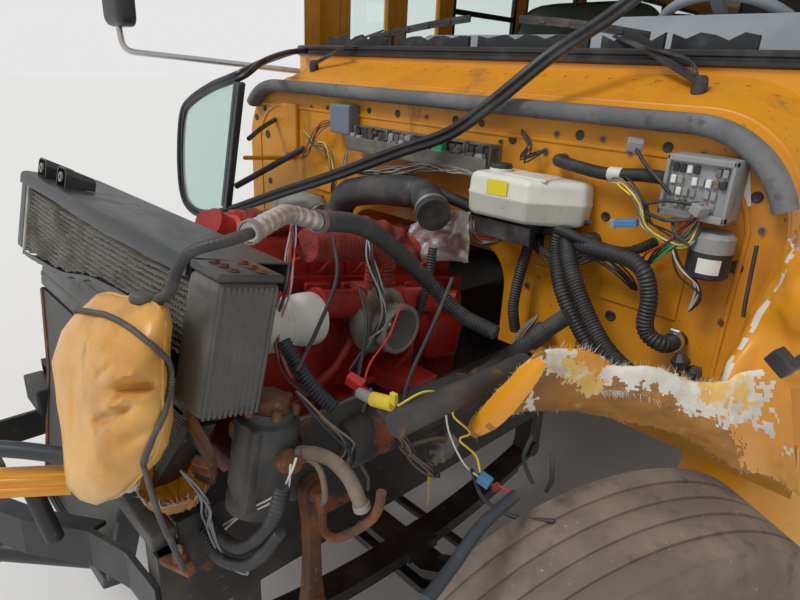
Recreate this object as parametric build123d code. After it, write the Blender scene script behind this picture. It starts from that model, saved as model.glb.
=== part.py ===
from build123d import *
import math
import os

# A conventional school bus with its hood torn off in a front-left crash.
# Row frame: +X to the bus's left, +Y to its rear, +Z up. Origin on the ground, mid length, mid width.
# All sizes in millimetres.

# Whole vehicle
overall_length = 10600
wheelbase = 6300
front_overhang = 900
body_width = 2440
wall = 40
skirt_z = 500
floor_top_z = 1110
floor_thickness = 30
sill_z = 1790
window_height = 620
side_top_z = 2440
roof_corner_radius = 450
roof_corner_angle = 65
rear_bumper_depth = 120
front_corner_radius = 320
touch_gap = 0.3

# Stations along the bus
wheel_y = -overall_length / 2 + front_overhang
front_axle_y = wheel_y + 59
rear_axle_y = front_axle_y + wheelbase
firewall_y = wheel_y + 420
body_front_y = wheel_y + 650
body_rear_y = overall_length / 2 - rear_bumper_depth
half_width = body_width / 2
shoulder_x = half_width - roof_corner_radius
crown_radius = roof_corner_radius + shoulder_x / math.cos(math.radians(roof_corner_angle))
crown_drop = (crown_radius - roof_corner_radius) * math.sin(math.radians(roof_corner_angle))
roof_crown_z = side_top_z - crown_drop + crown_radius

# Wheels
tyre_radius = 520
tyre_width = 280
tread_width = 218
tread_chamfer = 14
rim_radius = 290
kingpin_offset = 150
kingpin_x = half_width - 338
kingpin_radius = 22
kingpin_z = 515
arm_reach = 200
arm_z = 430
front_steer_deg = 23
left_camber_deg = 5
dual_outer_x = half_width - 150
dual_inner_x = dual_outer_x - 335
hub_radius = 110
front_dish = 70
front_hub_in = -56
spindle_radius = 38
rear_spindle_radius = 45
bearing_clearance = 0.05
pin_clearance = 0.06
arch_gap = 90
arch_panel_margin = 60
spring_x = 392
spring_width = 76

# Frame
rail_outer_x = 432
rail_height = 254
rail_flange = 80
rail_thickness = 8
rail_top_z = 960
rail_front_y = wheel_y - 640
rail_rear_y = body_rear_y - wall - touch_gap
centre_bearing_y = rear_axle_y - 2419

# Under the floor
sill_pitch = 640
wheel_floor_thickness = 12
wheel_floor_half_length = 620
step_sheet = 8
step_width = 475
tank_rear_y = rear_axle_y - 1459
tank_length = 1400

# Body openings
window_pitch = 696
window_gap = 90
window_rear_margin = 180
first_window_y = body_front_y + 1180
window_run = body_rear_y - window_rear_margin - first_window_y + window_gap
window_count = int(window_run / window_pitch)
pillar_depth = 330
windscreen_post = 55
windscreen_half_width = half_width - windscreen_post
windscreen_base_z = 1810
windscreen_top_z = 2425
windscreen_rake = 150
door_opening_y = body_front_y + 360
door_opening_width = 780
door_sill_z = 470
door_head_z = 2420
door_gap = 6
door_middle_gap = 10
rear_door_half_width = 470
rear_door_sill_z = 1120
rear_door_head_z = 2420
rub_rail_heights = (690, 1060, 1690)
hatch_size = 620
hatch_rise = 29.3
hatch_curb_z = roof_crown_z + hatch_rise
hatch_stations = (first_window_y + 870, body_rear_y - 2480)
stop_arm_y = body_front_y + 620
stop_arm_z = 1400
stop_arm_size = 450

# Seats
bench_length = 950
bench_wall_gap = 30
bench_aisle_x = half_width - wall - bench_wall_gap - bench_length
bench_pitch = 696
bench_rear_margin = 700
first_bench_y = first_window_y + 70
bench_count = int((body_rear_y - bench_rear_margin - first_bench_y) / bench_pitch)
driver_x = 560
driver_seat_y = body_front_y + 720
steering_hub = (driver_x, body_front_y + 560, 1890)
column_lean_deg = 35

# Cowl and firewall
cowl_half_width = half_width - 180
cowl_front_top_z = 1690
cowl_rear_top_z = 1790
cowl_bottom_z = 1010
cowl_corner_radius = 230
cowl_wall = 20
seal_width = 50
seal_height = 34
tunnel_half_width = 360
tunnel_top_z = 1300
gasket_lip = 12

# Cooling pack, leaning back after the crash
pack_lean_deg = 12.6
pack_top_y = wheel_y - 600
pack_top_z = 1480
pack_left_x = 480
pack_right_x = -460
charge_depth = 60
radiator_depth = 55

# Engine
engine_tilt_deg = 11
engine_front_y = wheel_y - 300
engine_top_z = 1410
engine_length = 800
head_half_width = 175
# x, y, z along the rubber torn out of the windscreen, from its foot on the right to the header
pane_y = wheel_y + 150
torn_radius = 16
torn_bend = 45
torn_rubber = [(x, wheel_y + y, z) for x, y, z in (
    (-972, 668, 1832), (-900, 520, 1812), (-712, 280, 1772), (-646, 150, 1729), (-853, 150, 1677),
    (-1024, 150, 1620), (-1114, 150, 1556), (-1161, 150, 1398), (-1169, 150, 1244),
    (-1125, 150, 1173), (-998, 150, 1168), (-784, 150, 1221), (-521, 220, 1330), (-254, 250, 1429),
    (33, 280, 1544), (189, 320, 1610), (329, 335, 1706), (428, 405, 1818), (508, 500, 1907),
    (570, 560, 1980), (720, 670, 2160), (860, 800, windscreen_top_z - 9.9))]

# x, y from the front wheels, z of the torn fender's edges and of the crushed side panel's rows
fender_lower = ((768, -200, 1129), (829, -200, 1208), (842, -130, 1196), (860, -60, 1179),
                (900, 0, 1164), (949, 40, 1156), (1022, 120, 1128), (1112, 190, 1070),
                (1150, 300, 1019), (1203, 380, 960))
fender_upper = ((754, -200, 1162), (846, -200, 1308), (858, -160, 1327), (888, -90, 1315),
                (906, -20, 1272), (960, 30, 1274), (1012, 100, 1243), (1057, 150, 1243),
                (1086, 180, 1262), (1144, 230, 1278))
side_rows = (
    ((1040.3, 495, 1150), (1040.3, 416, 1155), (1028, 320, 1165), (1050, 168, 1222), (1088, 196, 1238),
     (1146, 242, 1250), (1205, 270, 1255)),
    ((1040.3, 495, 1290), (1040.3, 416, 1298), (1034, 330, 1310), (1058, 225, 1335), (1102, 210, 1345),
     (1152, 205, 1340), (1210, 230, 1335)),
    ((1040.3, 495, 1400), (1040.3, 416, 1404), (1042, 360, 1410), (1075, 250, 1418), (1112, 200, 1425),
     (1160, 185, 1420), (1215, 220, 1415)),
    ((1040.3, 495, 1480), (1040.3, 416, 1484), (1046, 380, 1488), (1085, 290, 1492), (1125, 235, 1496),
     (1170, 210, 1494), (1216, 230, 1490)),
)

# x, z round the amber tank's outline, in the cooling pack's own place
tank_outline = ((430, -76), (330, -100), (226, -154), (150, -262), (165, -360), (225, -432), (316, -470),
                (420, -462), (520, -410), (595, -330), (630, -240), (622, -150), (575, -85), (510, -66))


def box(x0, x1, y0, y1, z0, z1):
    """A block between two corners."""
    size = (abs(x1 - x0), abs(y1 - y0), abs(z1 - z0))
    return Pos((x0 + x1) / 2, (y0 + y1) / 2, (z0 + z1) / 2) * Box(*size)


def rod(start, end, radius):
    """A round bar between two points."""
    a = Vector(*start)
    b = Vector(*end)
    line = b - a
    return Plane(origin=a, z_dir=line) * Pos(0, 0, line.length / 2) * Cylinder(radius, line.length)


def pipe(points, radius, bend):
    """A round bar that follows straight runs joined by arcs."""
    path = FilletPolyline(*points, radius=bend)
    return sweep(Plane(origin=path @ 0, z_dir=path % 0) * Circle(radius), path=path)


def mirrored(shape):
    """The same piece on the other side of the bus."""
    return mirror(shape, about=Plane.YZ)


def both_sides(shape):
    return [shape, mirrored(shape)]


def yz_prism(points, x0, x1):
    """An outline of (y, z) points, pushed from x0 to x1."""
    face = Plane(origin=(x0, 0, 0), x_dir=(0, 1, 0), z_dir=(1, 0, 0)) * Polygon(*points, align=None)
    return extrude(face, amount=x1 - x0, dir=(1, 0, 0))


def xz_prism(points, y0, y1):
    """An outline of (x, z) points, pushed from y0 to y1."""
    face = Plane(origin=(0, y0, 0), x_dir=(1, 0, 0), z_dir=(0, -1, 0)) * Polygon(*points, align=None)
    return extrude(face, amount=y1 - y0, dir=(0, 1, 0))


def xy_prism(points, z0, z1):
    """An outline of (x, y) points, pushed from z0 to z1."""
    return extrude(Pos(0, 0, z0) * Polygon(*points, align=None), amount=z1 - z0)


# Body shell


def roof_outline(inset):
    """The body's cross-section: straight sides, tight shoulder arcs and a shallow crown."""
    side = half_width - inset
    shoulder = roof_corner_radius - inset
    angle = math.radians(roof_corner_angle)
    crown_top_z = roof_crown_z - inset
    bend = (shoulder_x + shoulder * math.cos(angle), side_top_z + shoulder * math.sin(angle))
    mid = (
        shoulder_x + shoulder * math.cos(angle / 2),
        side_top_z + shoulder * math.sin(angle / 2),
    )
    bottom = skirt_z - wall
    edges = [
        Line((-side, bottom), (side, bottom)),
        Line((side, bottom), (side, side_top_z)),
        ThreePointArc((side, side_top_z), mid, bend),
        ThreePointArc(bend, (0, crown_top_z), (-bend[0], bend[1])),
        ThreePointArc((-bend[0], bend[1]), (-mid[0], mid[1]), (-side, side_top_z)),
        Line((-side, side_top_z), (-side, bottom)),
    ]
    return make_face(Wire(edges)), crown_top_z


def body_solid(inset):
    """The body's outer form, or its inner form when inset."""
    section, top_z = roof_outline(inset)
    plane = Plane(origin=(0, body_front_y + inset, 0), x_dir=(1, 0, 0), z_dir=(0, -1, 0))
    length = body_rear_y - body_front_y - 2 * inset
    tube = extrude(plane * section, amount=length, dir=(0, 1, 0))
    front = body_front_y + inset
    rear = body_rear_y - inset
    top = top_z + 5
    brow_y = front + windscreen_rake
    brow_z = windscreen_top_z + 90
    side_edges = [
        Line((front, skirt_z - wall), (front, windscreen_base_z)),
        Line((front, windscreen_base_z), (brow_y, brow_z)),
        ThreePointArc((brow_y, brow_z), (brow_y + 120, top - 150), (brow_y + 480, top)),
        Line((brow_y + 480, top), (rear - 330, top)),
        ThreePointArc((rear - 330, top), (rear - 85, top - 105), (rear, top - 420)),
        Line((rear, top - 420), (rear, skirt_z - wall)),
        Line((rear, skirt_z - wall), (front, skirt_z - wall)),
    ]
    side_plane = Plane(origin=(-half_width - 10, 0, 0), x_dir=(0, 1, 0), z_dir=(1, 0, 0))
    silhouette = extrude(
        side_plane * make_face(Wire(side_edges)), amount=body_width + 20, dir=(1, 0, 0)
    )
    corner = front_corner_radius - inset
    plan = Pos(0, (front + rear) / 2, skirt_z - wall) * extrude(
        Rectangle(2 * (half_width - inset), rear - front), amount=top
    )
    plan = fillet(plan.edges().filter_by(Axis.Z).sort_by(Axis.Y)[:2], corner)
    plan = fillet(plan.edges().filter_by(Axis.Z).sort_by(Axis.Y)[-2:], 90)
    return tube & silhouette & plan


def shell_parts():
    """Side walls, roof, front pillars and rear wall, cut from one shell where the panels meet."""
    shell = body_solid(0) - body_solid(wall)
    low, high = skirt_z, side_top_z
    front_end = body_front_y + pillar_depth
    rear_start = body_rear_y - 90
    big = half_width + 50
    roof = shell & box(-big, big, body_front_y - 50, body_rear_y + 50, high, high + 900)
    left = shell & box(0, big, front_end, rear_start, low, high)
    right = shell & box(-big, 0, front_end, rear_start, low, high)
    front = shell & box(-big, big, body_front_y - 50, front_end, low, high)
    rear = shell & box(-big, big, rear_start, body_rear_y + 50, low, high)

    windows = [
        box(-big, big, y, y + window_pitch - window_gap, sill_z, sill_z + window_height)
        for y in window_stations()
    ]
    arch = Pos(0, rear_axle_y, tyre_radius) * Rot(0, 90, 0) * Cylinder(tyre_radius + arch_gap, 2 * big)
    driver_window = box(0, big, *driver_window_span(), sill_z - 60, sill_z + window_height)
    doorway = box(
        -big, 0, door_opening_y, door_opening_y + door_opening_width, low - 1, door_head_z
    )
    left = left - windows - arch - driver_window + stop_arm_base()
    right = right - windows - arch - doorway

    windscreen = box(
        -windscreen_half_width,
        windscreen_half_width,
        body_front_y - 60,
        body_front_y + pillar_depth - 60,
        windscreen_base_z,
        windscreen_top_z,
    )
    below_cowl = box(-kingpin_x, kingpin_x, body_front_y - 50, front_end, low - 1, cowl_bottom_z)
    cowl_mouth = box(-cowl_half_width + 60, cowl_half_width - 60, body_front_y - 50,
                     body_front_y + wall + 20, cowl_bottom_z - 1, cowl_rear_top_z - 70)
    front_windscreen = box(-big, big, body_front_y - 60, body_front_y + pillar_depth - 60,
                           windscreen_base_z, windscreen_top_z)
    front = front - (front_windscreen & windscreen) - below_cowl - cowl_mouth

    exit_hole = box(-rear_door_half_width, rear_door_half_width, rear_start - 10,
                    body_rear_y + 50, rear_door_sill_z, rear_door_head_z)
    rear_panes = [
        box(*sorted((side * 560, side * 1080)), rear_start - 10, body_rear_y + 50,
            sill_z, sill_z + window_height)
        for side in (-1, 1)
    ]
    rear = rear - exit_hole - rear_panes
    return {
        "roof_shell": roof - hatch_holes(),
        "side_wall_left": skirt_panels(left),
        "side_wall_right": skirt_panels(right),
        "window_posts": [window_posts(left), window_posts(right)],
        "front_pillars": front,
        "rear_wall": rear,
    }


def skirt_panels(side_wall):
    """The wall below the windows, in panels that meet on each side of the wheel arch."""
    big = half_width + 50
    seam = tyre_radius + arch_gap + arch_panel_margin
    ends = ((body_front_y, rear_axle_y - seam - touch_gap), (rear_axle_y - seam, rear_axle_y + seam),
            (rear_axle_y + seam + touch_gap, body_rear_y))
    panels = []
    for y0, y1 in ends:
        panel = side_wall & box(-big, big, y0, y1, skirt_z, sill_z - touch_gap)
        panels += panel.solids()
    return panels


def window_posts(side_wall):
    """The posts between the windows and the strip over them."""
    big = half_width + 50
    return side_wall & box(-big, big, body_front_y, body_rear_y, sill_z, side_top_z)


def window_stations():
    return [first_window_y + i * window_pitch for i in range(window_count)]


def driver_window_span():
    return body_front_y + pillar_depth + 40, first_window_y - window_gap


def hatch_holes():
    half = hatch_size / 2 - 40
    return [box(-half, half, y - half, y + half, side_top_z + 200, hatch_curb_z + 200)
            for y in hatch_stations]


def roof_hatches():
    """Raised escape hatches, each with a curb that stands on the roof."""
    half = hatch_size / 2
    lids = []
    for y in hatch_stations:
        lid = box(-half, half, y - half, y + half, hatch_curb_z - 70, hatch_curb_z + 25)
        hollow = box(-half + 45, half - 45, y - half + 45, y + half - 45,
                     hatch_curb_z - 80, hatch_curb_z + 5)
        lid = fillet(lid.edges().filter_by(Axis.Z), 60)
        lid = fillet(lid.faces().sort_by(Axis.Z)[-1].edges(), 15) - hollow
        lids.append(lid - body_solid(0))
    return lids


def rub_rails():
    """Black guard rails along both sides, broken at the wheel arches and doorway."""
    rails = []
    front = body_front_y + pillar_depth + 20
    rear = body_rear_y - 120
    arch_half = tyre_radius + arch_gap + 30
    door_end = door_opening_y + door_opening_width + 20
    for z in rub_rail_heights:
        for side in (1, -1):
            spans = [(front if side > 0 else door_end, rear)]
            if z < tyre_radius + arch_half - 40:
                start = spans[0][0]
                spans = [(start, rear_axle_y - arch_half), (rear_axle_y + arch_half, rear)]
            for start, end in spans:
                xs = sorted((side * half_width, side * (half_width + 18)))
                rails.append(box(xs[0], xs[1], start, end, z - 45, z + 45))
    return rails


def side_windows():
    """Black sash frames with a middle bar, one for each window, and their panes."""
    frames, panes = [], []
    openings = [(side, y, y + window_pitch - window_gap, sill_z, sill_z + window_height)
                for side in (1, -1) for y in window_stations()]
    start, end = driver_window_span()
    openings.append((1, start, end, sill_z - 60, sill_z + window_height))
    for side, y0, y1, z0, z1 in openings:
        x0, x1 = sorted((side * (half_width - 34), side * (half_width - 8)))
        outer = box(x0, x1, y0, y1, z0, z1)
        bar = 28
        mid_z = (z0 + z1) / 2
        upper = box(x0 - 1, x1 + 1, y0 + bar, y1 - bar, mid_z + bar / 2, z1 - bar)
        lower = box(x0 - 1, x1 + 1, y0 + bar, y1 - bar, z0 + bar, mid_z - bar / 2)
        frames.append(outer - upper - lower)
        g0, g1 = sorted((side * (half_width - 24), side * (half_width - 19)))
        panes.append(box(g0, g1, y0 + bar, y1 - bar, mid_z + bar / 2, z1 - bar))
        panes.append(box(g0, g1, y0 + bar, y1 - bar, z0 + bar, mid_z - bar / 2))
    return frames, panes


def floor():
    """Floor plates that meet on the cross sills, thinner over the rear wheels, and the sills."""
    inside = body_solid(wall + touch_gap)
    under = floor_top_z - floor_thickness
    over_wheels = floor_top_z - wheel_floor_thickness
    side = half_width
    gap = touch_gap
    front = body_front_y + wall + 250
    tunnel_end = body_front_y + 600
    tunnel_side = 380
    steps_x = -half_width + step_width + gap
    steps_y = door_opening_y - step_sheet - gap
    steps_end = door_opening_y + door_opening_width + step_sheet + gap
    wheels_y = rear_axle_y - wheel_floor_half_length
    wheels_end = rear_axle_y + wheel_floor_half_length
    wheels_x = dual_inner_x - tyre_width / 2 - 25
    # x from, x to, y from, y to, underside
    plates = (
        (tunnel_side, side, front, tunnel_end, under),
        (steps_x, -tunnel_side, front, tunnel_end, under),
        (-side, steps_x - gap, front, steps_y, under),
        (steps_x, side, tunnel_end + gap, steps_end, under),
        (-side, side, steps_end + gap, wheels_y - gap, under),
        (-wheels_x, wheels_x, wheels_y, wheels_end, under),
        (wheels_x + gap, side, wheels_y, wheels_end, over_wheels),
        (-side, -wheels_x - gap, wheels_y, wheels_end, over_wheels),
        (-side, side, wheels_end + gap, body_rear_y, under),
    )
    pieces = [box(x0, x1, y0, y1, z, floor_top_z) & inside for x0, x1, y0, y1, z in plates]
    first_sill_y = body_front_y + 1300
    sill_count = int((body_rear_y - 100 - first_sill_y) / sill_pitch) + 1
    for i in range(sill_count):
        y = first_sill_y + i * sill_pitch
        if abs(y + 30 - rear_axle_y) > 560:
            pieces.append(box(-half_width + 90, half_width - 90, y, y + 60, rail_top_z + touch_gap,
                              under - touch_gap))
    return pieces


def entrance_steps():
    """Two entrance steps of folded sheet, hung beside the floor behind the doorway."""
    gap = touch_gap
    sheet = step_sheet
    y0 = door_opening_y
    y1 = door_opening_y + door_opening_width
    outer_x = -half_width + wall + 5
    inner_x = -half_width + step_width
    low = door_sill_z
    high = (door_sill_z + floor_top_z - floor_thickness) / 2
    middle_x = outer_x + 230
    # x from, x to, y from, y to, z from, z to
    sheets = (
        (outer_x, inner_x - sheet - gap, y0, y1, low - sheet, low),
        (middle_x - sheet, middle_x, y0, y1, low + gap, high),
        (middle_x + gap, inner_x - sheet - gap, y0, y1, high - sheet, high),
        (inner_x - sheet, inner_x, y0, y1, low - sheet, floor_top_z),
        (outer_x, inner_x, y0 - sheet, y0 - gap, low - sheet, floor_top_z),
        (outer_x, inner_x, y1 + gap, y1 + sheet, low - sheet, floor_top_z),
    )
    return [box(*sheet_sizes) for sheet_sizes in sheets]


# Doors


def leaf(width, height, thickness, sill, pane_spans):
    """A door leaf with its hinge barrel at the origin, outer face at y 0 and panes cut."""
    slab = Pos(width / 2, thickness / 2, sill + height / 2) * Box(width, thickness, height)
    slab += Pos(0, 0, sill + height / 2) * Cylinder(door_gap - touch_gap, height)
    panes = []
    for z0, z1 in pane_spans:
        hole = Pos(width / 2, thickness / 2, (z0 + z1) / 2) * Box(width - 130, 200, z1 - z0)
        slab -= fillet(hole.edges().filter_by(Axis.Y), 40)
        pane = Pos(width / 2, thickness / 2, (z0 + z1) / 2) * Box(width - 130, 5, z1 - z0)
        panes.append(fillet(pane.edges().filter_by(Axis.Y), 40))
    return slab, panes


def entrance_doors():
    """Two outward-opening leaves, hinged at the doorway's front and rear edges."""
    width = (door_opening_width - 2 * door_gap - door_middle_gap) / 2
    height = door_head_z - door_sill_z - 2 * door_gap
    spans = ((650, 1450), (1560, 2340))
    slab, panes = leaf(width, height, 34, door_sill_z + door_gap, spans)
    outer_x = -half_width + 2
    front = Pos(outer_x, door_opening_y + door_gap, 0) * Rot(0, 0, 90)
    rear = Pos(outer_x, door_opening_y + door_opening_width - door_gap, 0) * Rot(0, 0, 90)
    # leaf's +y points inboard: the front leaf runs rearwards, the rear leaf forwards
    flip = mirror(slab, about=Plane.XZ)
    front_leaf = front * flip
    front_panes = [front * mirror(p, about=Plane.XZ) for p in panes]
    rear_leaf = rear * mirror(flip, about=Plane.YZ)
    rear_panes = [rear * mirror(mirror(p, about=Plane.XZ), about=Plane.YZ) for p in panes]
    return front_leaf, front_panes, rear_leaf, rear_panes


def emergency_door():
    """The rear exit door, hinged on the bus's right."""
    width = 2 * rear_door_half_width - 2 * door_gap
    height = rear_door_head_z - rear_door_sill_z - 2 * door_gap
    slab, panes = leaf(width, height, 40, rear_door_sill_z + door_gap, ((1260, 1640), (1780, 2340)))
    place = Pos(-rear_door_half_width + door_gap, body_rear_y - 2, 0)
    slab = place * mirror(slab, about=Plane.XZ)
    panes = [place * mirror(p, about=Plane.XZ) for p in panes]
    handle = rod((330, body_rear_y - 2, 1700), (330, body_rear_y + 40, 1700), 12)
    handle += rod((250, body_rear_y + 40, 1700), (335, body_rear_y + 40, 1700), 12)
    return slab + handle, panes


# Interior


def bench_seats():
    """Padded benches, two to a row. The first row has no left bench, where the driver sits."""
    seats = []
    for i in range(bench_count):
        y = first_bench_y + i * bench_pitch
        x0 = bench_aisle_x
        x1 = bench_aisle_x + bench_length
        base = floor_top_z + 330
        cushion = box(x0, x1, y, y + 400, base, base + 130)
        cushion = fillet(cushion.edges().filter_by(Axis.X), 40)
        outline = ((y + 400.3, base), (y + 480, base), (y + 560, base + 750), (y + 480, base + 750))
        back = yz_prism(outline, x0, x1)
        legs = [box(x, x + 40, y + 60, y + 440, floor_top_z + touch_gap, base)
                for x in (x0 + 60, x1 - 100)]
        seat = [cushion, back, *legs]
        seats += [mirrored(piece) for piece in seat]
        if i > 0:
            seats += seat
    return seats


def driver_seat():
    """Driver's seat on a post."""
    y = driver_seat_y
    base = floor_top_z + 380
    seat = box(driver_x - 240, driver_x + 240, y, y + 450, base, base + 120)
    seat = fillet(seat.edges().filter_by(Axis.Z), 60)
    outline = ((y + 380, base + 120.3), (y + 480, base + 120.3), (y + 580, base + 770),
               (y + 500, base + 770))
    back = yz_prism(outline, driver_x - 220, driver_x + 220)
    post = box(driver_x - 150, driver_x + 150, y + 80, y + 380, floor_top_z + touch_gap, base)
    return [seat, back, post]


def steering_wheel():
    ring = Torus(225, 16)
    boss = Cylinder(60, 50)
    spokes = Box(430, 34, 16) + Pos(0, -105, 0) * Box(34, 220, 16)
    return Pos(*steering_hub) * Rot(-column_lean_deg, 0, 0) * (ring + boss + spokes)


def dashboard():
    """Dash top with a hump before the driver, its steering column and the defroster ducts."""
    front = body_front_y + wall + 20
    shelf = yz_prism(((front, 1600), (front + 350, 1600), (front + 350, 1895), (front + 325, 1915),
                      (front + 95, 1805), (front, 1790)), -600, half_width - 170)
    hump = yz_prism(((front + 140, 1700), (front + 350, 1700), (front + 350, 1950),
                     (front + 310, 1965), (front + 120, 1825)), driver_x - 330, driver_x + 350)
    lean = math.radians(column_lean_deg)
    axis = Vector(0, math.sin(lean), math.cos(lean))
    hub_centre = Vector(*steering_hub)
    column = rod(tuple(hub_centre - axis * 300), tuple(hub_centre), 28)
    foot = box(-560, half_width - 220, front + 200, front + 240, floor_top_z + touch_gap, 1600)
    half = tunnel_half_width + 8 + touch_gap
    foot -= box(-half, half, front, front + 400, 0, tunnel_top_z + 8 + touch_gap)
    body = shelf + hump + column + foot
    # left edge, right edge of each duct
    spans = ((-880, -420), (-370, 120), (170, 880))
    for x0, x1 in spans:
        duct = box(x0, x1, front + 10, front + 75, 1785, 1842)
        step = (x1 - x0) / 4
        for i in range(1, 4):
            x = x0 + i * step
            duct -= box(x - 16, x + 16, front, front + 90, 1826, 1850)
        body += duct
    return body & body_solid(wall + 3)


# Frame, axles and driveline


def frame():
    """Two pressed channels facing each other, tied by crossmembers, with the bumper's brackets."""
    x1 = rail_outer_x
    x0 = rail_outer_x - rail_flange
    z1 = rail_top_z
    z0 = rail_top_z - rail_height
    t = rail_thickness
    outline = ((x1, z0), (x1, z1), (x0, z1), (x0, z1 - t), (x1 - t, z1 - t), (x1 - t, z0 + t),
               (x0, z0 + t), (x0, z0))
    rail = xz_prism(outline, rail_front_y, rail_rear_y)
    body = rail + mirrored(rail)
    inner = x1 - t
    top = z1 - t - 30
    # station, depth of the channel
    rear = rear_axle_y
    members = ((rail_front_y + 80, 190), (wheel_y + 1500, 90), (rear - 3859, 90),
               (rear - 2559, 90), (rear - 1059, 90), (rear + 641, 110), (rear + 2041, 110))
    for y, drop in members:
        beam = box(-inner, inner, y, y + 80, top - drop, top)
        beam -= box(-inner + 1, inner - 1, y + 8, y + 81, top - drop + 8, top - 8)
        body += beam
    body += box(-x1, -x1 + 12, -overall_length / 2 + 10.3, rail_front_y, 730, 810)
    body += box(x1 - 56, x1, rail_front_y - 44 + touch_gap, rail_front_y, 770, 900)
    return body


def front_axle():
    """Forged I-beam, dropped between the spring seats, with a boss for each kingpin."""
    mid_z = 400
    depth = 90
    outline = ((-kingpin_x + 30, 470), (-600, 445), (-470, mid_z - 45), (470, mid_z - 45),
               (600, 445), (kingpin_x - 30, 470), (kingpin_x - 30, 560), (600, 520),
               (470, mid_z + 45), (-470, mid_z + 45), (-600, 520), (-kingpin_x + 30, 560))
    beam = xz_prism(outline, front_axle_y - depth / 2, front_axle_y + depth / 2)
    groove = ((-780, 492), (-610, 470), (-480, mid_z - 20), (480, mid_z - 20), (610, 470),
              (780, 492), (780, 535), (610, 497), (480, mid_z + 20), (-480, mid_z + 20),
              (-610, 497), (-780, 535))
    for y0, y1 in ((front_axle_y - 60, front_axle_y - 14), (front_axle_y + 14, front_axle_y + 60)):
        beam -= xz_prism(groove, y0, y1)
    for side in (1, -1):
        boss = Pos(side * kingpin_x, front_axle_y, kingpin_z) * Cylinder(48, 100)
        beam += boss
        beam -= Pos(side * kingpin_x, front_axle_y, kingpin_z) * Cylinder(kingpin_radius + pin_clearance, 200)
    return beam


def leaf_spring(axle_y, half_length, base_z, rise, leaves):
    """A pack of flat leaves that arch up to an eye at each end."""
    pack = None
    for i in range(leaves):
        reach = half_length * (1 - 0.16 * i)
        drop = 13 * i
        ends = rise * (reach / half_length) ** 2
        path_low = ThreePointArc((axle_y - reach, base_z + ends - drop), (axle_y, base_z - drop),
                                 (axle_y + reach, base_z + ends - drop))
        path_high = ThreePointArc((axle_y + reach, base_z + ends - drop + 13.2),
                                  (axle_y, base_z - drop + 13.2),
                                  (axle_y - reach, base_z + ends - drop + 13.2))
        outline = Wire([path_low, Line(path_low @ 1, path_high @ 0), path_high,
                        Line(path_high @ 1, path_low @ 0)])
        plane = Plane(origin=(-spring_width / 2, 0, 0), x_dir=(0, 1, 0), z_dir=(1, 0, 0))
        one = extrude(plane * make_face(outline), amount=spring_width, dir=(1, 0, 0))
        pack = one if pack is None else pack + one
    for side in (-1, 1):
        eye = Pos(0, axle_y + side * half_length, base_z + rise + 12) * Rot(0, 90, 0)
        pack += eye * Cylinder(26, spring_width)
    return pack


def hung_spring(axle_y, half_length, base_z, rise, leaves):
    """A leaf pack with a hanger from each eye up to the rail."""
    pack = leaf_spring(axle_y, half_length, base_z, rise, leaves)
    top = rail_top_z - rail_height - touch_gap
    for side in (-1, 1):
        y = axle_y + side * half_length
        pack += box(-30, 30, y - 34, y + 34, base_z + rise + 12, top)
    return pack


def leaf_springs():
    """All four packs, with the plates that clamp them on the axles."""
    front = hung_spring(front_axle_y, 560, 472, 70, 3)
    front += box(-45, 45, front_axle_y - 60, front_axle_y + 60, 445.3, 480)
    rear = hung_spring(rear_axle_y, 720, 612, 40, 3)
    rear += box(-45, 45, rear_axle_y - 70, rear_axle_y + 70, 575, 630)
    rear -= Pos(0, rear_axle_y, tyre_radius) * Rot(0, 90, 0) * Cylinder(75 + touch_gap, 300)
    packs = [Pos(spring_x, 0, 0) * pack for pack in (front, rear)]
    return [solid for pack in packs for solid in both_sides(pack)]


def driveline():
    """Gearbox, propeller shafts and the rear axle with its spindles."""
    z = tyre_radius
    tube_end = dual_inner_x - 190
    axle = rod((-tube_end, rear_axle_y, z), (tube_end, rear_axle_y, z), 75)
    axle += Pos(0, rear_axle_y, z) * Sphere(205)
    axle += rod((0, rear_axle_y - 330, z + 20), (0, rear_axle_y, z), 85)
    axle += rod((-dual_outer_x, rear_axle_y, z), (dual_outer_x, rear_axle_y, z),
                rear_spindle_radius)
    start = wheel_y + 530
    axle += rod((0, start, 800), (0, start + 640, 780), 190)
    axle += rod((0, start + 620, 780), (0, start + 860, 775), 95)
    middle = (0, centre_bearing_y, 700)
    axle += rod((0, start + 850, 775), middle, 45)
    axle += rod(middle, (0, rear_axle_y - 325, z + 20), 45)
    axle += Pos(*middle) * Sphere(70)
    web = rail_outer_x - rail_thickness - touch_gap
    axle += box(-web, web, centre_bearing_y - 40, centre_bearing_y + 40, 800, 830)
    axle += box(-30, 30, centre_bearing_y - 20, centre_bearing_y + 20, 720, 805)
    return axle


def fuel_tank():
    front = tank_rear_y - tank_length
    tank = box(480, half_width - 160, front, tank_rear_y, skirt_z + 20, rail_top_z - 20)
    tank = fillet(tank.edges().filter_by(Axis.Y), 90)
    for y in (front + 140, tank_rear_y - 200):
        tank += box(rail_outer_x + touch_gap, 500, y, y + 60, 620, 900)
    return tank


def exhaust():
    """Pipe from the engine, muffler and the tail pipe, on two hangers from the floor."""
    pipe_radius = 48
    w = wheel_y
    body = rod((-720, w + 2150, 720), (-720, w + 3200, 720), 130)
    body += pipe([(-250, w + 480, 640), (-250, w + 900, 640), (-600, w + 1500, 640),
                  (-600, w + 1750, 650), (-720, w + 1980, 720), (-720, w + 2160, 720)],
                 pipe_radius, 70)
    body += pipe([(-720, w + 3190, 720), (-720, w + 4500, 720), (-900, w + 4800, 640),
                  (-half_width + 110, w + 5000, 560)], pipe_radius, 120)
    for y in (w + 2350, w + 3000, w + 4250):
        body += box(-732, -708, y, y + 24, 730, floor_top_z - floor_thickness - touch_gap)
    return body


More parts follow.
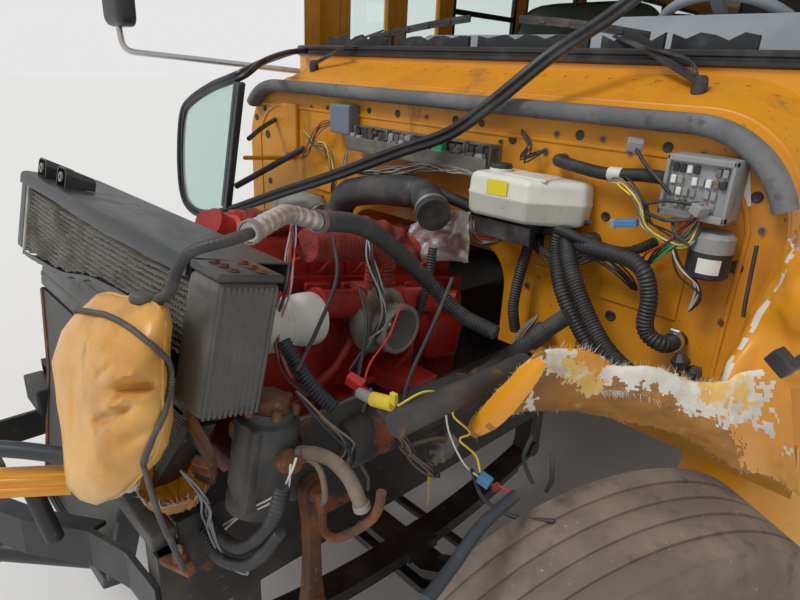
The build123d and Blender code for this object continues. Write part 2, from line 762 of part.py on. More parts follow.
def rear_bumper():
    y0 = body_rear_y + touch_gap
    y1 = overall_length / 2
    bar = box(-half_width, half_width, y0, y1, 520, 790)
    bar -= box(-half_width + 60, half_width - 60, y0 - 1, y1 - 8, 528, 782)
    return fillet(bar.edges().filter_by(Axis.Z).sort_by(Axis.Y)[-2:], 60)


def front_bumper():
    """Pressed channel whose left third is torn into an upper band and a lower bar."""
    y0 = -overall_length / 2
    channel = ((0, 0), (0, 270), (95, 270), (95, 258), (10, 258), (10, 12), (95, 12), (95, 0))
    straight = yz_prism([(y0 + a, 560 + b) for a, b in channel], -half_width + 40, -170)
    # x, y along the band's front
    front = [(-175, y0), (-60, y0 + 12), (60, y0 + 70), (190, y0 + 165), (300, y0 + 200), (430, y0 + 205)]
    back = [(x - 3, y + 11) for x, y in reversed(front)]
    flange = [(x - 10, y + 40) for x, y in reversed(front[:4])]
    band = xy_prism(front + back, 735, 830) + xy_prism(front[:4] + flange, 818, 830)
    low = rod((-190, y0 + 40, 592), (30, rail_front_y - 30, 604), 30)
    return straight + band + low


# Wheels and steering


def tyre():
    """A tyre about the x axis, with rounded shoulders."""
    half = tyre_width / 2
    tread_half = tread_width / 2
    outline = Wire([
        Line((-half * 0.72, rim_radius), (half * 0.72, rim_radius)),
        ThreePointArc((half * 0.72, rim_radius), (half, (rim_radius + tyre_radius) / 2),
                      (tread_half, tyre_radius - 12)),
        Line((tread_half, tyre_radius - 12), (tread_half - tread_chamfer, tyre_radius)),
        Line((tread_half - tread_chamfer, tyre_radius), (-tread_half + tread_chamfer, tyre_radius)),
        Line((-tread_half + tread_chamfer, tyre_radius), (-tread_half, tyre_radius - 12)),
        ThreePointArc((-tread_half, tyre_radius - 12), (-half, (rim_radius + tyre_radius) / 2),
                      (-half * 0.72, rim_radius)),
    ])
    return revolve(make_face(outline), axis=Axis.X)


def disc_wheel(dish):
    """A steel disc wheel about the x axis. The dish is how far the disc stands outboard (+x)."""
    half = tyre_width * 0.36
    rim_outer = rim_radius - 0.3
    section = Wire([
        Line((-half, rim_outer), (half, rim_outer)),
        Line((half, rim_outer), (half, rim_outer - 26)),
        Line((half, rim_outer - 26), (half - 24, rim_outer - 40)),
        Line((half - 24, rim_outer - 40), (-half + 24, rim_outer - 40)),
        Line((-half + 24, rim_outer - 40), (-half, rim_outer - 26)),
        Line((-half, rim_outer - 26), (-half, rim_outer)),
    ])
    rim = revolve(make_face(section), axis=Axis.X)
    disc = Wire([
        Line((dish - 6, hub_radius), (dish + 6, hub_radius)),
        Line((dish + 6, hub_radius), (dish + 6, 190)),
        Line((dish + 6, 190), (half - 22, rim_outer - 38)),
        Line((half - 22, rim_outer - 38), (half - 40, rim_outer - 38)),
        Line((half - 40, rim_outer - 38), (dish - 6, 185)),
        Line((dish - 6, 185), (dish - 6, hub_radius)),
    ])
    plate = revolve(make_face(disc), axis=Axis.X)
    holes = [
        Rot(i * 72, 0, 0) * Pos(0, 0, 205) * Rot(0, 90, 0) * Cylinder(26, 400) for i in range(5)
    ]
    return rim + (plate - holes)


def hub(dish, reach_in, bore):
    """Hub barrel with its flange and studs, open inboard for the spindle."""
    barrel = rod((reach_in, 0, 0), (dish + 60, 0, 0), 82)
    flange = rod((dish + 6, 0, 0), (dish + 20, 0, 0), 150)
    studs = [Rot(i * 36, 0, 0) * rod((dish + 18, 0, 125), (dish + 48, 0, 125), 14) for i in range(10)]
    cap = rod((dish + 58, 0, 0), (dish + 90, 0, 0), 58)
    core = rod((reach_in - 1, 0, 0), (dish + 40, 0, 0), bore)
    return barrel + flange + studs + cap - core


def front_wheel_place(side):
    """Where the steered front wheel sits: turned about the kingpin, the left one also leaning."""
    steer = Pos(side * kingpin_x, front_axle_y, 0) * Rot(0, 0, -front_steer_deg)
    camber = left_camber_deg if side > 0 else 0
    lean = math.radians(camber)
    lift = tyre_radius * math.cos(lean) + (tread_width / 2 - tread_chamfer) * math.sin(lean)
    place = Pos(side * kingpin_offset, 0, lift) * Rot(0, camber, 0)
    return steer * place


def front_wheel(side):
    """Tyre and wheel of one steered corner."""
    place = front_wheel_place(side)
    flip = Rot(0, 0, 0) if side > 0 else Rot(0, 0, 180)
    metal = disc_wheel(front_dish) + hub(front_dish, front_hub_in, spindle_radius + bearing_clearance)
    return place * flip * tyre(), place * flip * metal


def knuckle(side):
    """Steering knuckle: forked over the axle boss on its kingpin, with the wheel's spindle."""
    steer = Pos(side * kingpin_x, front_axle_y, 0) * Rot(0, 0, -front_steer_deg)
    pin = Pos(0, 0, kingpin_z) * Cylinder(kingpin_radius, 190)
    upper = Pos(0, 0, 592) * Cylinder(46, 52)
    lower = Pos(0, 0, 438) * Cylinder(46, 52)
    plate_x = side * 62
    body = pin + upper + lower
    body += box(*sorted((plate_x - 12, plate_x + 12)), -55, 55, 414, 616)
    for z0, z1 in ((414, 462), (568, 616)):
        body += box(*sorted((0, plate_x)), -40, 40, z0, z1)
    body += rod((0, 30, arm_z), (0, arm_reach, arm_z), 20)
    body += Pos(0, arm_reach, arm_z) * Cylinder(22, 44)
    spindle_end = front_wheel_place(side)
    spindle = rod((side * -95, 0, 0), (side * 80, 0, 0), spindle_radius)
    brake = rod((side * -82, 0, 0), (side * -64, 0, 0), 180)
    in_place = spindle_end * (spindle + brake)
    return steer * body + in_place


def tie_rod():
    """Bar between the two knuckle arms, with a ball end on each."""
    angle = math.radians(front_steer_deg)
    y = front_axle_y + arm_reach * math.cos(angle)
    shift = arm_reach * math.sin(angle)
    z = arm_z - 60
    ends = (kingpin_x + shift, -kingpin_x + shift)
    bar = rod((ends[0], y, z), (ends[1], y, z), 16)
    for x in ends:
        bar += Pos(x, y, z) * Sphere(24)
        bar += Pos(x, y, z + 19) * Cylinder(11, 37)
    return bar


def dual_wheels(side):
    """Both rear tyres of one side, and their two discs on one hub."""
    tyres, metals = [], []
    for x, dish in ((dual_inner_x, 90), (dual_outer_x, -90)):
        place = Pos(side * x, rear_axle_y, tyre_radius)
        flip = Rot(0, 0, 0) if side > 0 else Rot(0, 0, 180)
        tyres.append(place * flip * tyre())
        metals.append(place * flip * disc_wheel(dish))
    joint = dual_inner_x + 96
    centre = Pos(0, rear_axle_y, tyre_radius) * (Rot(0, 0, 0) if side > 0 else Rot(0, 0, 180))
    drum = rod((dual_inner_x - 150, 0, 0), (dual_outer_x - 40, 0, 0), 112)
    drum += rod((dual_outer_x - 41, 0, 0), (dual_outer_x + 60, 0, 0), 75)
    drum += rod((joint - 14, 0, 0), (dual_outer_x - 84, 0, 0), 150)
    bore = rear_spindle_radius + bearing_clearance
    drum -= rod((dual_inner_x - 160, 0, 0), (dual_outer_x + 1, 0, 0), bore)
    metal = metals[0] + metals[1] + centre * drum
    return tyres, metal


# Cowl, seal and what hangs on the firewall


def cowl_outline(inset, top_z, y):
    """An arch in a cross plane: flat top, rounded corners, straight sides."""
    half = cowl_half_width - inset
    radius = cowl_corner_radius - inset
    height = top_z - inset
    bottom = cowl_bottom_z
    c = radius * (1 - math.sqrt(0.5))
    edges = [
        Line((-half, bottom), (half, bottom)),
        Line((half, bottom), (half, height - radius)),
        ThreePointArc((half, height - radius), (half - c, height - c), (half - radius, height)),
        Line((half - radius, height), (-half + radius, height)),
        ThreePointArc((-half + radius, height), (-half + c, height - c), (-half, height - radius)),
        Line((-half, height - radius), (-half, bottom)),
    ]
    plane = Plane(origin=(0, y, 0), x_dir=(1, 0, 0), z_dir=(0, -1, 0))
    return plane * make_face(Wire(edges))


def cowl():
    """Firewall and cowl top: an arched box, open behind, with the engine tunnel let into it."""
    outer = loft([cowl_outline(0, cowl_front_top_z, firewall_y),
                  cowl_outline(0, cowl_rear_top_z, body_front_y - touch_gap)])
    inner = loft([cowl_outline(cowl_wall, cowl_front_top_z, firewall_y + cowl_wall),
                  cowl_outline(cowl_wall, cowl_rear_top_z, body_front_y + 10)])
    shell = outer - inner
    mouth = box(-tunnel_half_width, tunnel_half_width, firewall_y - 1, firewall_y + cowl_wall + 1,
                cowl_bottom_z - 1, tunnel_top_z)
    shell -= fillet(mouth.edges().filter_by(Axis.Y).sort_by(Axis.Z)[-2:], 120)
    return shell


def toe_boards():
    """Cover over the engine's rear, and the curved panels behind each front wheel."""
    depth = 560
    y0 = firewall_y + cowl_wall + 1
    half = tunnel_half_width
    low = floor_top_z - floor_thickness
    cover = box(-half - 8, half + 8, y0, y0 + depth, low, tunnel_top_z + 8)
    cover -= box(-half + 2, half - 2, y0 - 1, y0 + depth - 10, low - 1, tunnel_top_z - 2)
    radius = 645
    ring = Pos(0, front_axle_y, tyre_radius) * Rot(0, 90, 0) * (
        Cylinder(radius + 12, 2 * half_width) - Cylinder(radius, 2 * half_width)
    )
    reach = box(half + 130, half_width - 60, firewall_y, body_front_y - 1, tyre_radius + 120,
                cowl_bottom_z - touch_gap)
    return [cover, *both_sides(ring & reach)]


def hood_seal():
    """Grey seal along the cowl's front arch, cut off short at both ends."""
    y = firewall_y - seal_width / 2 - touch_gap
    radius = cowl_corner_radius
    z = cowl_front_top_z
    half = cowl_half_width
    centre_x = half - radius
    centre_z = z - radius

    def on_arc(side, angle):
        a = math.radians(angle)
        return (side * (centre_x + radius * math.cos(a)), y, centre_z + radius * math.sin(a))

    path = Wire([
        ThreePointArc(on_arc(-1, 42), on_arc(-1, 66), on_arc(-1, 90)),
        Line(on_arc(-1, 90), on_arc(1, 90)),
        ThreePointArc(on_arc(1, 90), on_arc(1, 55), on_arc(1, 20)),
    ])
    start = Plane(origin=path @ 0, z_dir=path % 0, x_dir=(0, 1, 0))
    return sweep(start * Rectangle(seal_width, seal_height), path=path)


def plan_block(inset):
    """The body's plan with its front corners rounded, full height."""
    block = box(-half_width + inset, half_width - inset, body_front_y + inset, 0, 0, side_top_z)
    return fillet(block.edges().filter_by(Axis.Z).sort_by(Axis.Y)[:2], front_corner_radius - inset)


def windscreen_gasket():
    """Base of the windscreen's rubber, and the length torn out that hangs before the firewall."""
    band = (plan_block(-gasket_lip) - plan_block(wall + gasket_lip)) & box(
        -windscreen_half_width + 4, windscreen_half_width - 4, body_front_y - 60,
        body_front_y + 220, windscreen_base_z + touch_gap, windscreen_base_z + 42)
    torn = pipe(torn_rubber, torn_radius, torn_bend)
    return band + torn


def corner_pane():
    """Broken-out corner of the windscreen, still held in its rubber, and the bar beside it."""
    curve = FilletPolyline(*torn_rubber, radius=torn_bend)
    stations = [curve @ (i / 160) for i in range(161)]
    edge = [(p.X, p.Z) for p in stations if p.X < -640 and p.Y < pane_y + 12]
    inset = torn_radius + touch_gap
    outline = []
    for before, here, after in zip(edge, edge[1:], edge[2:]):
        dx = after[0] - before[0]
        dz = after[1] - before[1]
        length = math.hypot(dx, dz)
        outline.append((here[0] - dz / length * inset, here[1] + dx / length * inset))
    pane = xz_prism(outline, pane_y - 2.5, pane_y + 2.5)
    corners = ((-674, 1697), (-630, 1705), (-773, 1248), (-817, 1230))
    return pane + xz_prism(corners, pane_y - 14, pane_y + 14)


# Crushed panels on the left


def torn_sheet(rows, push):
    """A faceted sheet through rows of points, made solid by the push vector."""
    def triangle(a, b, c):
        return Face(Wire.make_polygon([a, b, c], close=True))

    def moved(point):
        return tuple(p + q for p, q in zip(point, push))

    faces = []
    for upper, lower in zip(rows[1:], rows):
        for a, b, c, d in zip(lower, lower[1:], upper[1:], upper):
            faces += [triangle(a, b, c), triangle(a, c, d)]
            faces += [triangle(*map(moved, (a, b, c))), triangle(*map(moved, (a, c, d)))]
    rim = list(rows[0]) + [row[-1] for row in rows[1:]] + list(reversed(rows[-1]))[1:]
    rim += [row[0] for row in reversed(rows[1:-1])]
    for a, b in zip(rim, rim[1:] + rim[:1]):
        faces += [triangle(a, b, moved(b)), triangle(a, moved(b), moved(a))]
    solid = Solid(Shell(faces))
    return solid if solid.volume > 0 else -solid


def torn_panels():
    """What is left of the front fender's arch, and the side panel it was fixed to."""
    lower = [(x, wheel_y + y, z) for x, y, z in fender_lower]
    upper = [(x, wheel_y + y, z) for x, y, z in fender_upper]
    middle = [((a[0] + b[0]) / 2, (a[1] + b[1]) / 2 - 16, (a[2] + b[2]) / 2)
              for a, b in zip(lower, upper)]
    rim = [(x + 4, y + 36, z - 5) for x, y, z in upper]
    arch = torn_sheet((lower, middle, upper, rim), (0, 6, -6))
    rows = [[(x, wheel_y + y, z) for x, y, z in row] for row in side_rows]
    return arch + torn_sheet(rows, (3, 6, 0))


# Cooling pack


def pack_place():
    return Pos(0, pack_top_y, pack_top_z) * Rot(-pack_lean_deg, 0, 0)


def charge_cooler():
    """Air-to-air core with a ragged lower edge, its left tank and the sheet across its top."""
    left, right = pack_left_x, pack_right_x
    core = xz_prism(((right + 60, -30), (left, -30), (left, -185), (280, -122), (140, -133),
                     (-100, -174), (right + 60, -195)), 0, charge_depth)
    end_tank = box(left + 0.3, left + 95, 0, 120, -240, 0)
    end_tank = fillet(end_tank.edges().filter_by(Axis.Z), 30)
    far_tank = box(right, right + 59.7, 0, charge_depth, -200, 0)
    sheet = box(right, left + 0.3, 0, 190, -3, 0) + box(right, left + 0.3, 187, 190, -60, 0)
    sheet += box(right + 60, left, 0, charge_depth, -30, -3)
    brackets = [box(x, x + 60, 20, 90, 0, 45) - box(x - 1, x + 61, 26, 91, 6, 60)
                for x in (-400, -250)]
    body = core + end_tank + far_tank + sheet
    for bracket in brackets:
        body += bracket
    return pack_place() * body


def radiator():
    """Radiator behind the charge cooler: top tank, tapering core and side bars."""
    y0 = charge_depth + 1
    y1 = y0 + radiator_depth
    tank = box(pack_right_x, pack_left_x - 20, y0, y1 + 30, -310, -110)
    tank = fillet(tank.edges().filter_by(Axis.X), 20)
    core = xz_prism(((-440, -310), (440, -310), (330, -500), (215, -575), (190, -800),
                     (-260, -800), (-325, -500)), y0, y1)
    foot = box(-300, 190, y0 - 5, y1 + 5, -830, -800)
    body = pack_place() * (tank + core + foot)
    y = rail_front_y - touch_gap
    body += box(-rail_outer_x, -300, y - 50, y, 850, 930)
    return body + box(220, rail_outer_x, y - 50, y, 914, 952)


def air_duct():
    """White open duct from the back of the cooling pack."""
    start = (300, wheel_y - 570, 1262)
    end = (300, wheel_y - 230, 1226)
    duct = rod(start, end, 61) - rod((300, wheel_y - 470, 1251.4), (300, wheel_y - 220, 1225), 53)
    back = charge_depth + radiator_depth + 31 + touch_gap
    return duct - pack_place() * box(0, 500, -200, back, -600, 0)


def coolant_tank():
    """Amber plastic tank, dented, pushed against the front of the cooling pack."""
    plane = Plane(origin=(0, -120, 0), x_dir=(1, 0, 0), z_dir=(0, -1, 0))
    face = plane * make_face(Spline(*tank_outline, periodic=True))
    body = extrude(face, amount=120 - touch_gap, dir=(0, 1, 0))
    body = fillet(body.faces().sort_by(Axis.Y)[0].edges() + body.faces().sort_by(Axis.Y)[-1].edges(), 48)
    body += rod((505, -66, -100), (496, -66, -44), 32)
    return pack_place() * body


# Engine


def engine_place():
    return Pos(0, engine_front_y, engine_top_z) * Rot(-engine_tilt_deg, 0, 0)


def engine():
    """Straight six knocked back at a slant: cover, head, block, pan, pulley and alternator."""
    length = engine_length
    cover = box(-130, 130, 10, length - 40, -105, 0)
    cover = fillet(cover.edges().filter_by(Axis.Y).sort_by(Axis.Z)[-2:], 45)
    head = box(-head_half_width, head_half_width, 0, length - 20, -225, -105)
    block = box(-200, 200, 0, length, -560, -225)
    pan = box(-150, 150, 30, length - 60, -730, -560)
    pan = fillet(pan.edges().filter_by(Axis.Y).sort_by(Axis.Z)[:2], 50)
    body = cover + head + block + pan
    body += rod((0, -70, -500), (0, 1, -500), 115)
    body += rod((60, -60, -300), (60, 1, -300), 70)
    body += rod((-120, -80, -260), (-120, 120, -260), 75)
    for i in range(6):
        y = 80 + i * 120
        body += box(-60, 60, y, y + 50, -1, 14)
    feet = box(-400, 400, wheel_y, wheel_y + 100, rail_top_z + touch_gap, rail_top_z + 50)
    return engine_place() * body + feet


def turbo():
    """Manifold castings, the snail with its open inlet ring, and the wrapped pipe above."""
    body = rod((0, 130, -150), (0, 560, -150), 42)
    for i in range(4):
        y = 160 + i * 120
        body += rod((-90, y, -168), (5, y, -152), 30)
    body = Pos(258, 0, 0) * body
    body += rod((235, 330, -190), (330, 330, -190), 92)
    body += rod((300, 330, -190), (372, 318, -190), 64)
    body -= rod((345, 322, -190), (380, 316, -190), 52)
    body += pipe([(258, 330, -170), (258, 330, -20), (268, 240, 0), (290, 60, 0)], 40, 40)
    return engine_place() * (body - box(-400, head_half_width + touch_gap, -100, 1000, -800, 50))


# Steering linkage on the left rail


def steering_gear():
    """Steering gear with its curved bracket, pitman arm, thick pipe and shaft to the firewall."""
    w = wheel_y
    x = 530
    gear = rod((x, w - 495, 1205), (x, w - 530, 1000), 58)
    gear += rod((x, w - 480, 1180), (x, w - 480, 1060), 45)
    gear += box(rail_outer_x + touch_gap, x, w - 560, w - 440, 860, 1010)
    gear += rod((x - 50, w - 430, 1020), (x + 45, w - 430, 1020), 42)
    gear += box(x - 20, x + 60, w - 520, w - 430, 1000, 1060)
    arm = xz_prism(((x + 12, 1030), (x + 40, 1030), (x + 32, 690), (x + 8, 690)), w - 452, w - 398)
    gear += arm + rod((x + 5, w - 412, 706), (x + 45, w - 412, 706), 30)
    plate = yz_prism(((w - 430, 1060), (w - 400, 1130), (w - 300, 1140), (w - 245, 1060),
                      (w - 240, 880), (w - 330, 900), (w - 400, 960)), x - 20, x - 8)
    gear += plate + box(rail_outer_x + touch_gap, x - 8, w - 330, w - 250, 890, 950)
    gear += rod((x, w - 330, 1045), (x, w + 100, 1030), 52)
    gear += rod((x, w + 90, 1035), (x, w + 160, 1060), 34)
    gear += rod((x, w + 90, 1045), (x, firewall_y - 4, 1110), 18)
    return gear


# On and before the firewall


def firewall_units():
    """Relay tray, control boxes, an upright motor and the bottle's shelf, all on the firewall."""
    y1 = firewall_y - touch_gap
    left = cowl_half_width
    # x from, x to, depth, z from, z to
    boxes = ((-310, 300, 70, 1505, 1585), (-425, -318, 50, 1550, 1650),
             (left - 240, left - 100, 90, 1500, 1630))
    units = [fillet(box(x0, x1, y1 - d, y1, z0, z1).edges().filter_by(Axis.Y), 12)
             for x0, x1, d, z0, z1 in boxes]
    units.append(rod((left - 125, y1 - 45, 1375), (left - 125, y1 - 45, 1478), 45))
    shelf = box(left - 710, left - 530, y1 - 130, y1, 1406, 1414.7)
    shelf += box(left - 710, left - 530, y1 - 130, y1 - 122, 1360, 1414.7)
    units.append(shelf)
    return units


def washer_reservoir():
    """White bottle with a slanted end on its shelf, and its cap."""
    y1 = firewall_y - 1
    left = cowl_half_width
    plan = ((left - 735, y1), (left - 735, y1 - 150), (left - 540, y1 - 150), (left - 430, y1 - 50),
            (left - 430, y1))
    bottle = xy_prism(plan, 1415, 1530)
    bottle = fillet(bottle.edges().filter_by(Axis.Z), 22)
    bottle = fillet(bottle.faces().sort_by(Axis.Z)[-1].edges(), 14)
    return bottle + rod((left - 680, y1 - 75, 1525), (left - 680, y1 - 75, 1548), 30)


def heater_hoses():
    """Corrugated hoses that loop before the firewall, and the conduit over the bottle."""
    w = wheel_y
    y = firewall_y - touch_gap
    left = cowl_half_width
    # points of each run, then its radius
    runs = (
        (((left - 480, w + 350, 1414.7), (left - 480, w + 350, 1350), (left - 410, w + 305, 1250),
          (left - 290, w + 310, 1110), (left - 240, w + 340, 1070), (left - 240, y, 1070)), 20),
        (((left - 420, y, 1385), (left - 420, w + 330, 1385), (left - 240, w + 320, 1387),
          (left - 220, w + 322, 1235), (left - 160, w + 345, 1200), (left - 160, y, 1200)), 20),
        (((left - 540, y, 1572), (left - 540, w + 370, 1572), (left - 400, w + 370, 1560),
          (left - 300, w + 370, 1572), (left - 240.3, w + 370, 1572)), 15),
    )
    return [pipe(points, radius, 26) for points, radius in runs]


def air_cleaner():
    """Round air cleaner on the right with the dark intake tube across the engine's rear."""
    y = firewall_y - 92
    can = rod((-640, y, 1250), (-430, y, 1250), 72)
    can += box(-580, -520, y, firewall_y - touch_gap, 1200, 1300)
    tube = pipe([(-440, y, 1250), (-345, y - 10, 1252), (-205, y - 48, 1370), (0, y - 48, 1420),
                 (160, y - 48, 1430), (262, y - 130, 1400)], 48, 70)
    return can + tube


# Outside fittings


def mirrors():
    """Side mirrors on long arms, with flat heads."""
    w = wheel_y
    x = -half_width
    lower = pipe([(x + 120, w + 850, 1735), (x - 180, w + 300, 1775), (x - 310, w + 95, 1790),
                  (x - 330, w + 95, 1900)], 13, 40)
    upper = pipe([(x + 60, w + 870, 2300), (x - 180, w + 400, 2330), (x - 330, w + 110, 2345),
                  (x - 330, w + 110, 2290)], 13, 25)
    head = box(x - 430, x - 230, w + 60, w + 140, 1885, 2320)
    head = fillet(head.edges().filter_by(Axis.Y), 35)
    one = (lower + upper + head) - body_solid(-touch_gap)
    return both_sides(one)


def stop_arm():
    """Blank octagon folded flat along the left side, hinged at its front edge."""
    r = stop_arm_size / 2
    c = r * math.tan(math.radians(22.5))
    y0 = stop_arm_y + 60
    points = [(y0 + a + r, stop_arm_z + b) for a, b in
              ((-r, -c), (-c, -r), (c, -r), (r, -c), (r, c), (c, r), (-c, r), (-r, c))]
    plate = yz_prism(points, half_width + 27, half_width + 33)
    strap = box(half_width + 24, half_width + 36, stop_arm_y, y0 + 60, stop_arm_z - 50,
                stop_arm_z + 50)
    return plate + strap + Pos(half_width + 30, stop_arm_y, stop_arm_z) * Cylinder(8, 130 - 2 * touch_gap)


def stop_arm_base():
    x0 = half_width - 1
    y = stop_arm_y
    base = box(x0, x0 + 16, y - 60, y + 60, stop_arm_z - 90, stop_arm_z + 90)
    for z in (stop_arm_z - 85, stop_arm_z + 65):
        base += box(x0, half_width + 44, y - 14, y + 14, z, z + 20)
    return base - Pos(half_width + 30, y, stop_arm_z) * Cylinder(8.2, 140)


def lamp(x, y0, y1, z, radius):
    """A round lamp standing proud of the body's skin."""
    return rod((x, y0, z), (x, y1, z), radius) - body_solid(-touch_gap)


# colour, in from the side, z, radius, at the front
lamps = (
    ("red", 320, side_top_z + 160, 95, True), ("amber", 560, side_top_z + 200, 95, True),
    ("red", 320, side_top_z + 160, 95, False), ("amber", 560, side_top_z + 200, 95, False),
    ("red", 220, floor_top_z + 390, 90, False), ("amber", 220, floor_top_z + 180, 90, False),
    ("red", 460, floor_top_z + 180, 60, False),
)


def warning_lamps(colour):
    found = []
    for name, inboard, z, radius, at_front in lamps:
        if name != colour:
            continue
        y0, y1 = (body_front_y + 70, body_front_y + 420) if at_front else (
            body_rear_y - 200, body_rear_y + 35)
        found += both_sides(lamp(half_width - inboard, y0, y1, z, radius))
    return found


parts = {}


def add(name, shape):
    parts[name] = shape


def assemble():
    for name, shape in shell_parts().items():
        add(name, shape)
    add("rub_rails", rub_rails())
    frames, panes = side_windows()
    add("window_frames", frames)
    add("window_glass", panes)
    add("roof_hatches", roof_hatches())
    add("floor", floor())
    add("entrance_steps", entrance_steps())
    front_leaf, front_panes, rear_leaf, rear_panes = entrance_doors()
    add("entrance_door_front", front_leaf)
    add("entrance_glass_front", front_panes)
    add("entrance_door_rear", rear_leaf)
    add("entrance_glass_rear", rear_panes)
    exit_door, exit_panes = emergency_door()
    add("emergency_door", exit_door)
    add("emergency_glass", exit_panes)
    add("bench_seats", bench_seats())
    add("driver_seat", driver_seat())
    add("dashboard", dashboard() + steering_wheel())
    add("frame", frame())
    add("front_axle", front_axle())
    add("leaf_springs", leaf_springs())
    add("driveline", driveline())
    add("fuel_tank", fuel_tank())
    add("exhaust", exhaust())
    add("bumpers", [front_bumper(), rear_bumper()])
    for side, word in ((1, "left"), (-1, "right")):
        rubber, metal = front_wheel(side)
        add("tyre_front_" + word, rubber)
        add("wheel_front_" + word, metal)
        add("knuckle_" + word, knuckle(side))
        rubbers, metal = dual_wheels(side)
        add("tyres_rear_" + word, rubbers)
        add("wheels_rear_" + word, metal)
    add("tie_rod", tie_rod())
    add("cowl", cowl())
    add("toe_boards", toe_boards())
    add("hood_seal", hood_seal())
    add("windscreen_gasket", windscreen_gasket())
    add("corner_pane", corner_pane())
    add("torn_panels", torn_panels())
    add("charge_cooler", charge_cooler())
    add("radiator", radiator())
    add("air_duct", air_duct())
    add("coolant_tank", coolant_tank())
    add("engine", engine())
    add("turbo", turbo())
    add("steering_gear", steering_gear())
    add("firewall_units", firewall_units())
    add("washer_reservoir", washer_reservoir())
    add("heater_hoses", heater_hoses())
    add("air_cleaner", air_cleaner())
    add("mirrors", mirrors())
    add("stop_arm", stop_arm())
    add("lamps_red", warning_lamps("red"))
    add("lamps_amber", warning_lamps("amber"))


def write():
    os.makedirs("parts", exist_ok=True)
    for name, shape in parts.items():
        if isinstance(shape, (list, tuple)):
            solids = [s for piece in shape for s in piece.solids()]
            shape = Compound(children=solids)
        export_step(shape, f"parts/{name}.step")


assemble()
write()
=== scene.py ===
import math
import random

import bmesh
import bpy
from mathutils import Matrix, Vector, noise
from mathutils.bvhtree import BVHTree


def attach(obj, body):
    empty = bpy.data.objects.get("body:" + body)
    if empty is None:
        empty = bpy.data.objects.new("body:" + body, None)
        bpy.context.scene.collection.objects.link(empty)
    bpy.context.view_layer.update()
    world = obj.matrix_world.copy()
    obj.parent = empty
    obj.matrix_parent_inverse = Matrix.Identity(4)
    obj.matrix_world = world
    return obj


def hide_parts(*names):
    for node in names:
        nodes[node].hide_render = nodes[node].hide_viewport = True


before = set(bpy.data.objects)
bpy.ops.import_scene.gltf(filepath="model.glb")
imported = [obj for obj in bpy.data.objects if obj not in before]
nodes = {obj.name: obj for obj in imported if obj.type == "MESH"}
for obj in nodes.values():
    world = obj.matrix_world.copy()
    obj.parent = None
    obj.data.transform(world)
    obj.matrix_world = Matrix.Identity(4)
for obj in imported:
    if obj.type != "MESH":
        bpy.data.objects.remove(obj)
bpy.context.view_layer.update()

# Crashed school bus. Metres, +X to the bus's left, +Y to its rear, +Z up.

wheelY = -4.4          # left front wheel's centre
wallY = -3.9803        # just clear of the firewall's front face
unitBackY = -3.9804    # back of what is bolted to the firewall
hoseEndY = -3.9805     # where hoses meet the firewall
kingpinY = -4.341
rearAxleY = 1.959
halfWidth = 1.22

# places of the leaning cooling pack and of the tilted engine
packPlace = Matrix.Translation((0, -5.0, 1.48)) @ Matrix.Rotation(math.radians(-12.6), 4, "X")
enginePlace = Matrix.Translation((0, -4.7, 1.41)) @ Matrix.Rotation(math.radians(-11), 4, "X")

# camera at the photograph's place, a lamp and a pale floor

viewSetup = {
    "place": (1.34, -5.39, 1.765),
    "right": (0.691879, 0.720417, 0.047991),
    "up": (-0.288007, 0.214424, 0.933314),
    "back": (0.662085, -0.659562, 0.35584),
    "lens": 27.0,
    "sensor": 36.0,
}


def makeCamera():
    data = bpy.data.cameras.new("photoCamera")
    data.lens = viewSetup["lens"]
    data.sensor_width = viewSetup["sensor"]
    data.clip_start = 0.02
    data.clip_end = 200
    camera = bpy.data.objects.new("photoCamera", data)
    columns = [Vector(viewSetup[k]) for k in ("right", "up", "back")]
    turn = Matrix(columns).transposed().to_4x4()
    camera.matrix_world = Matrix.Translation(viewSetup["place"]) @ turn
    bpy.context.scene.collection.objects.link(camera)
    bpy.context.scene.camera = camera


studio = {
    "worldLevel": 0.72,
    "sunLevel": 1.55,
    "sunSpread": 22,
    "sunTurn": (38, -14, 0),
    "floorColour": (0.83, 0.83, 0.82, 1),
    "floorSize": 120,
}


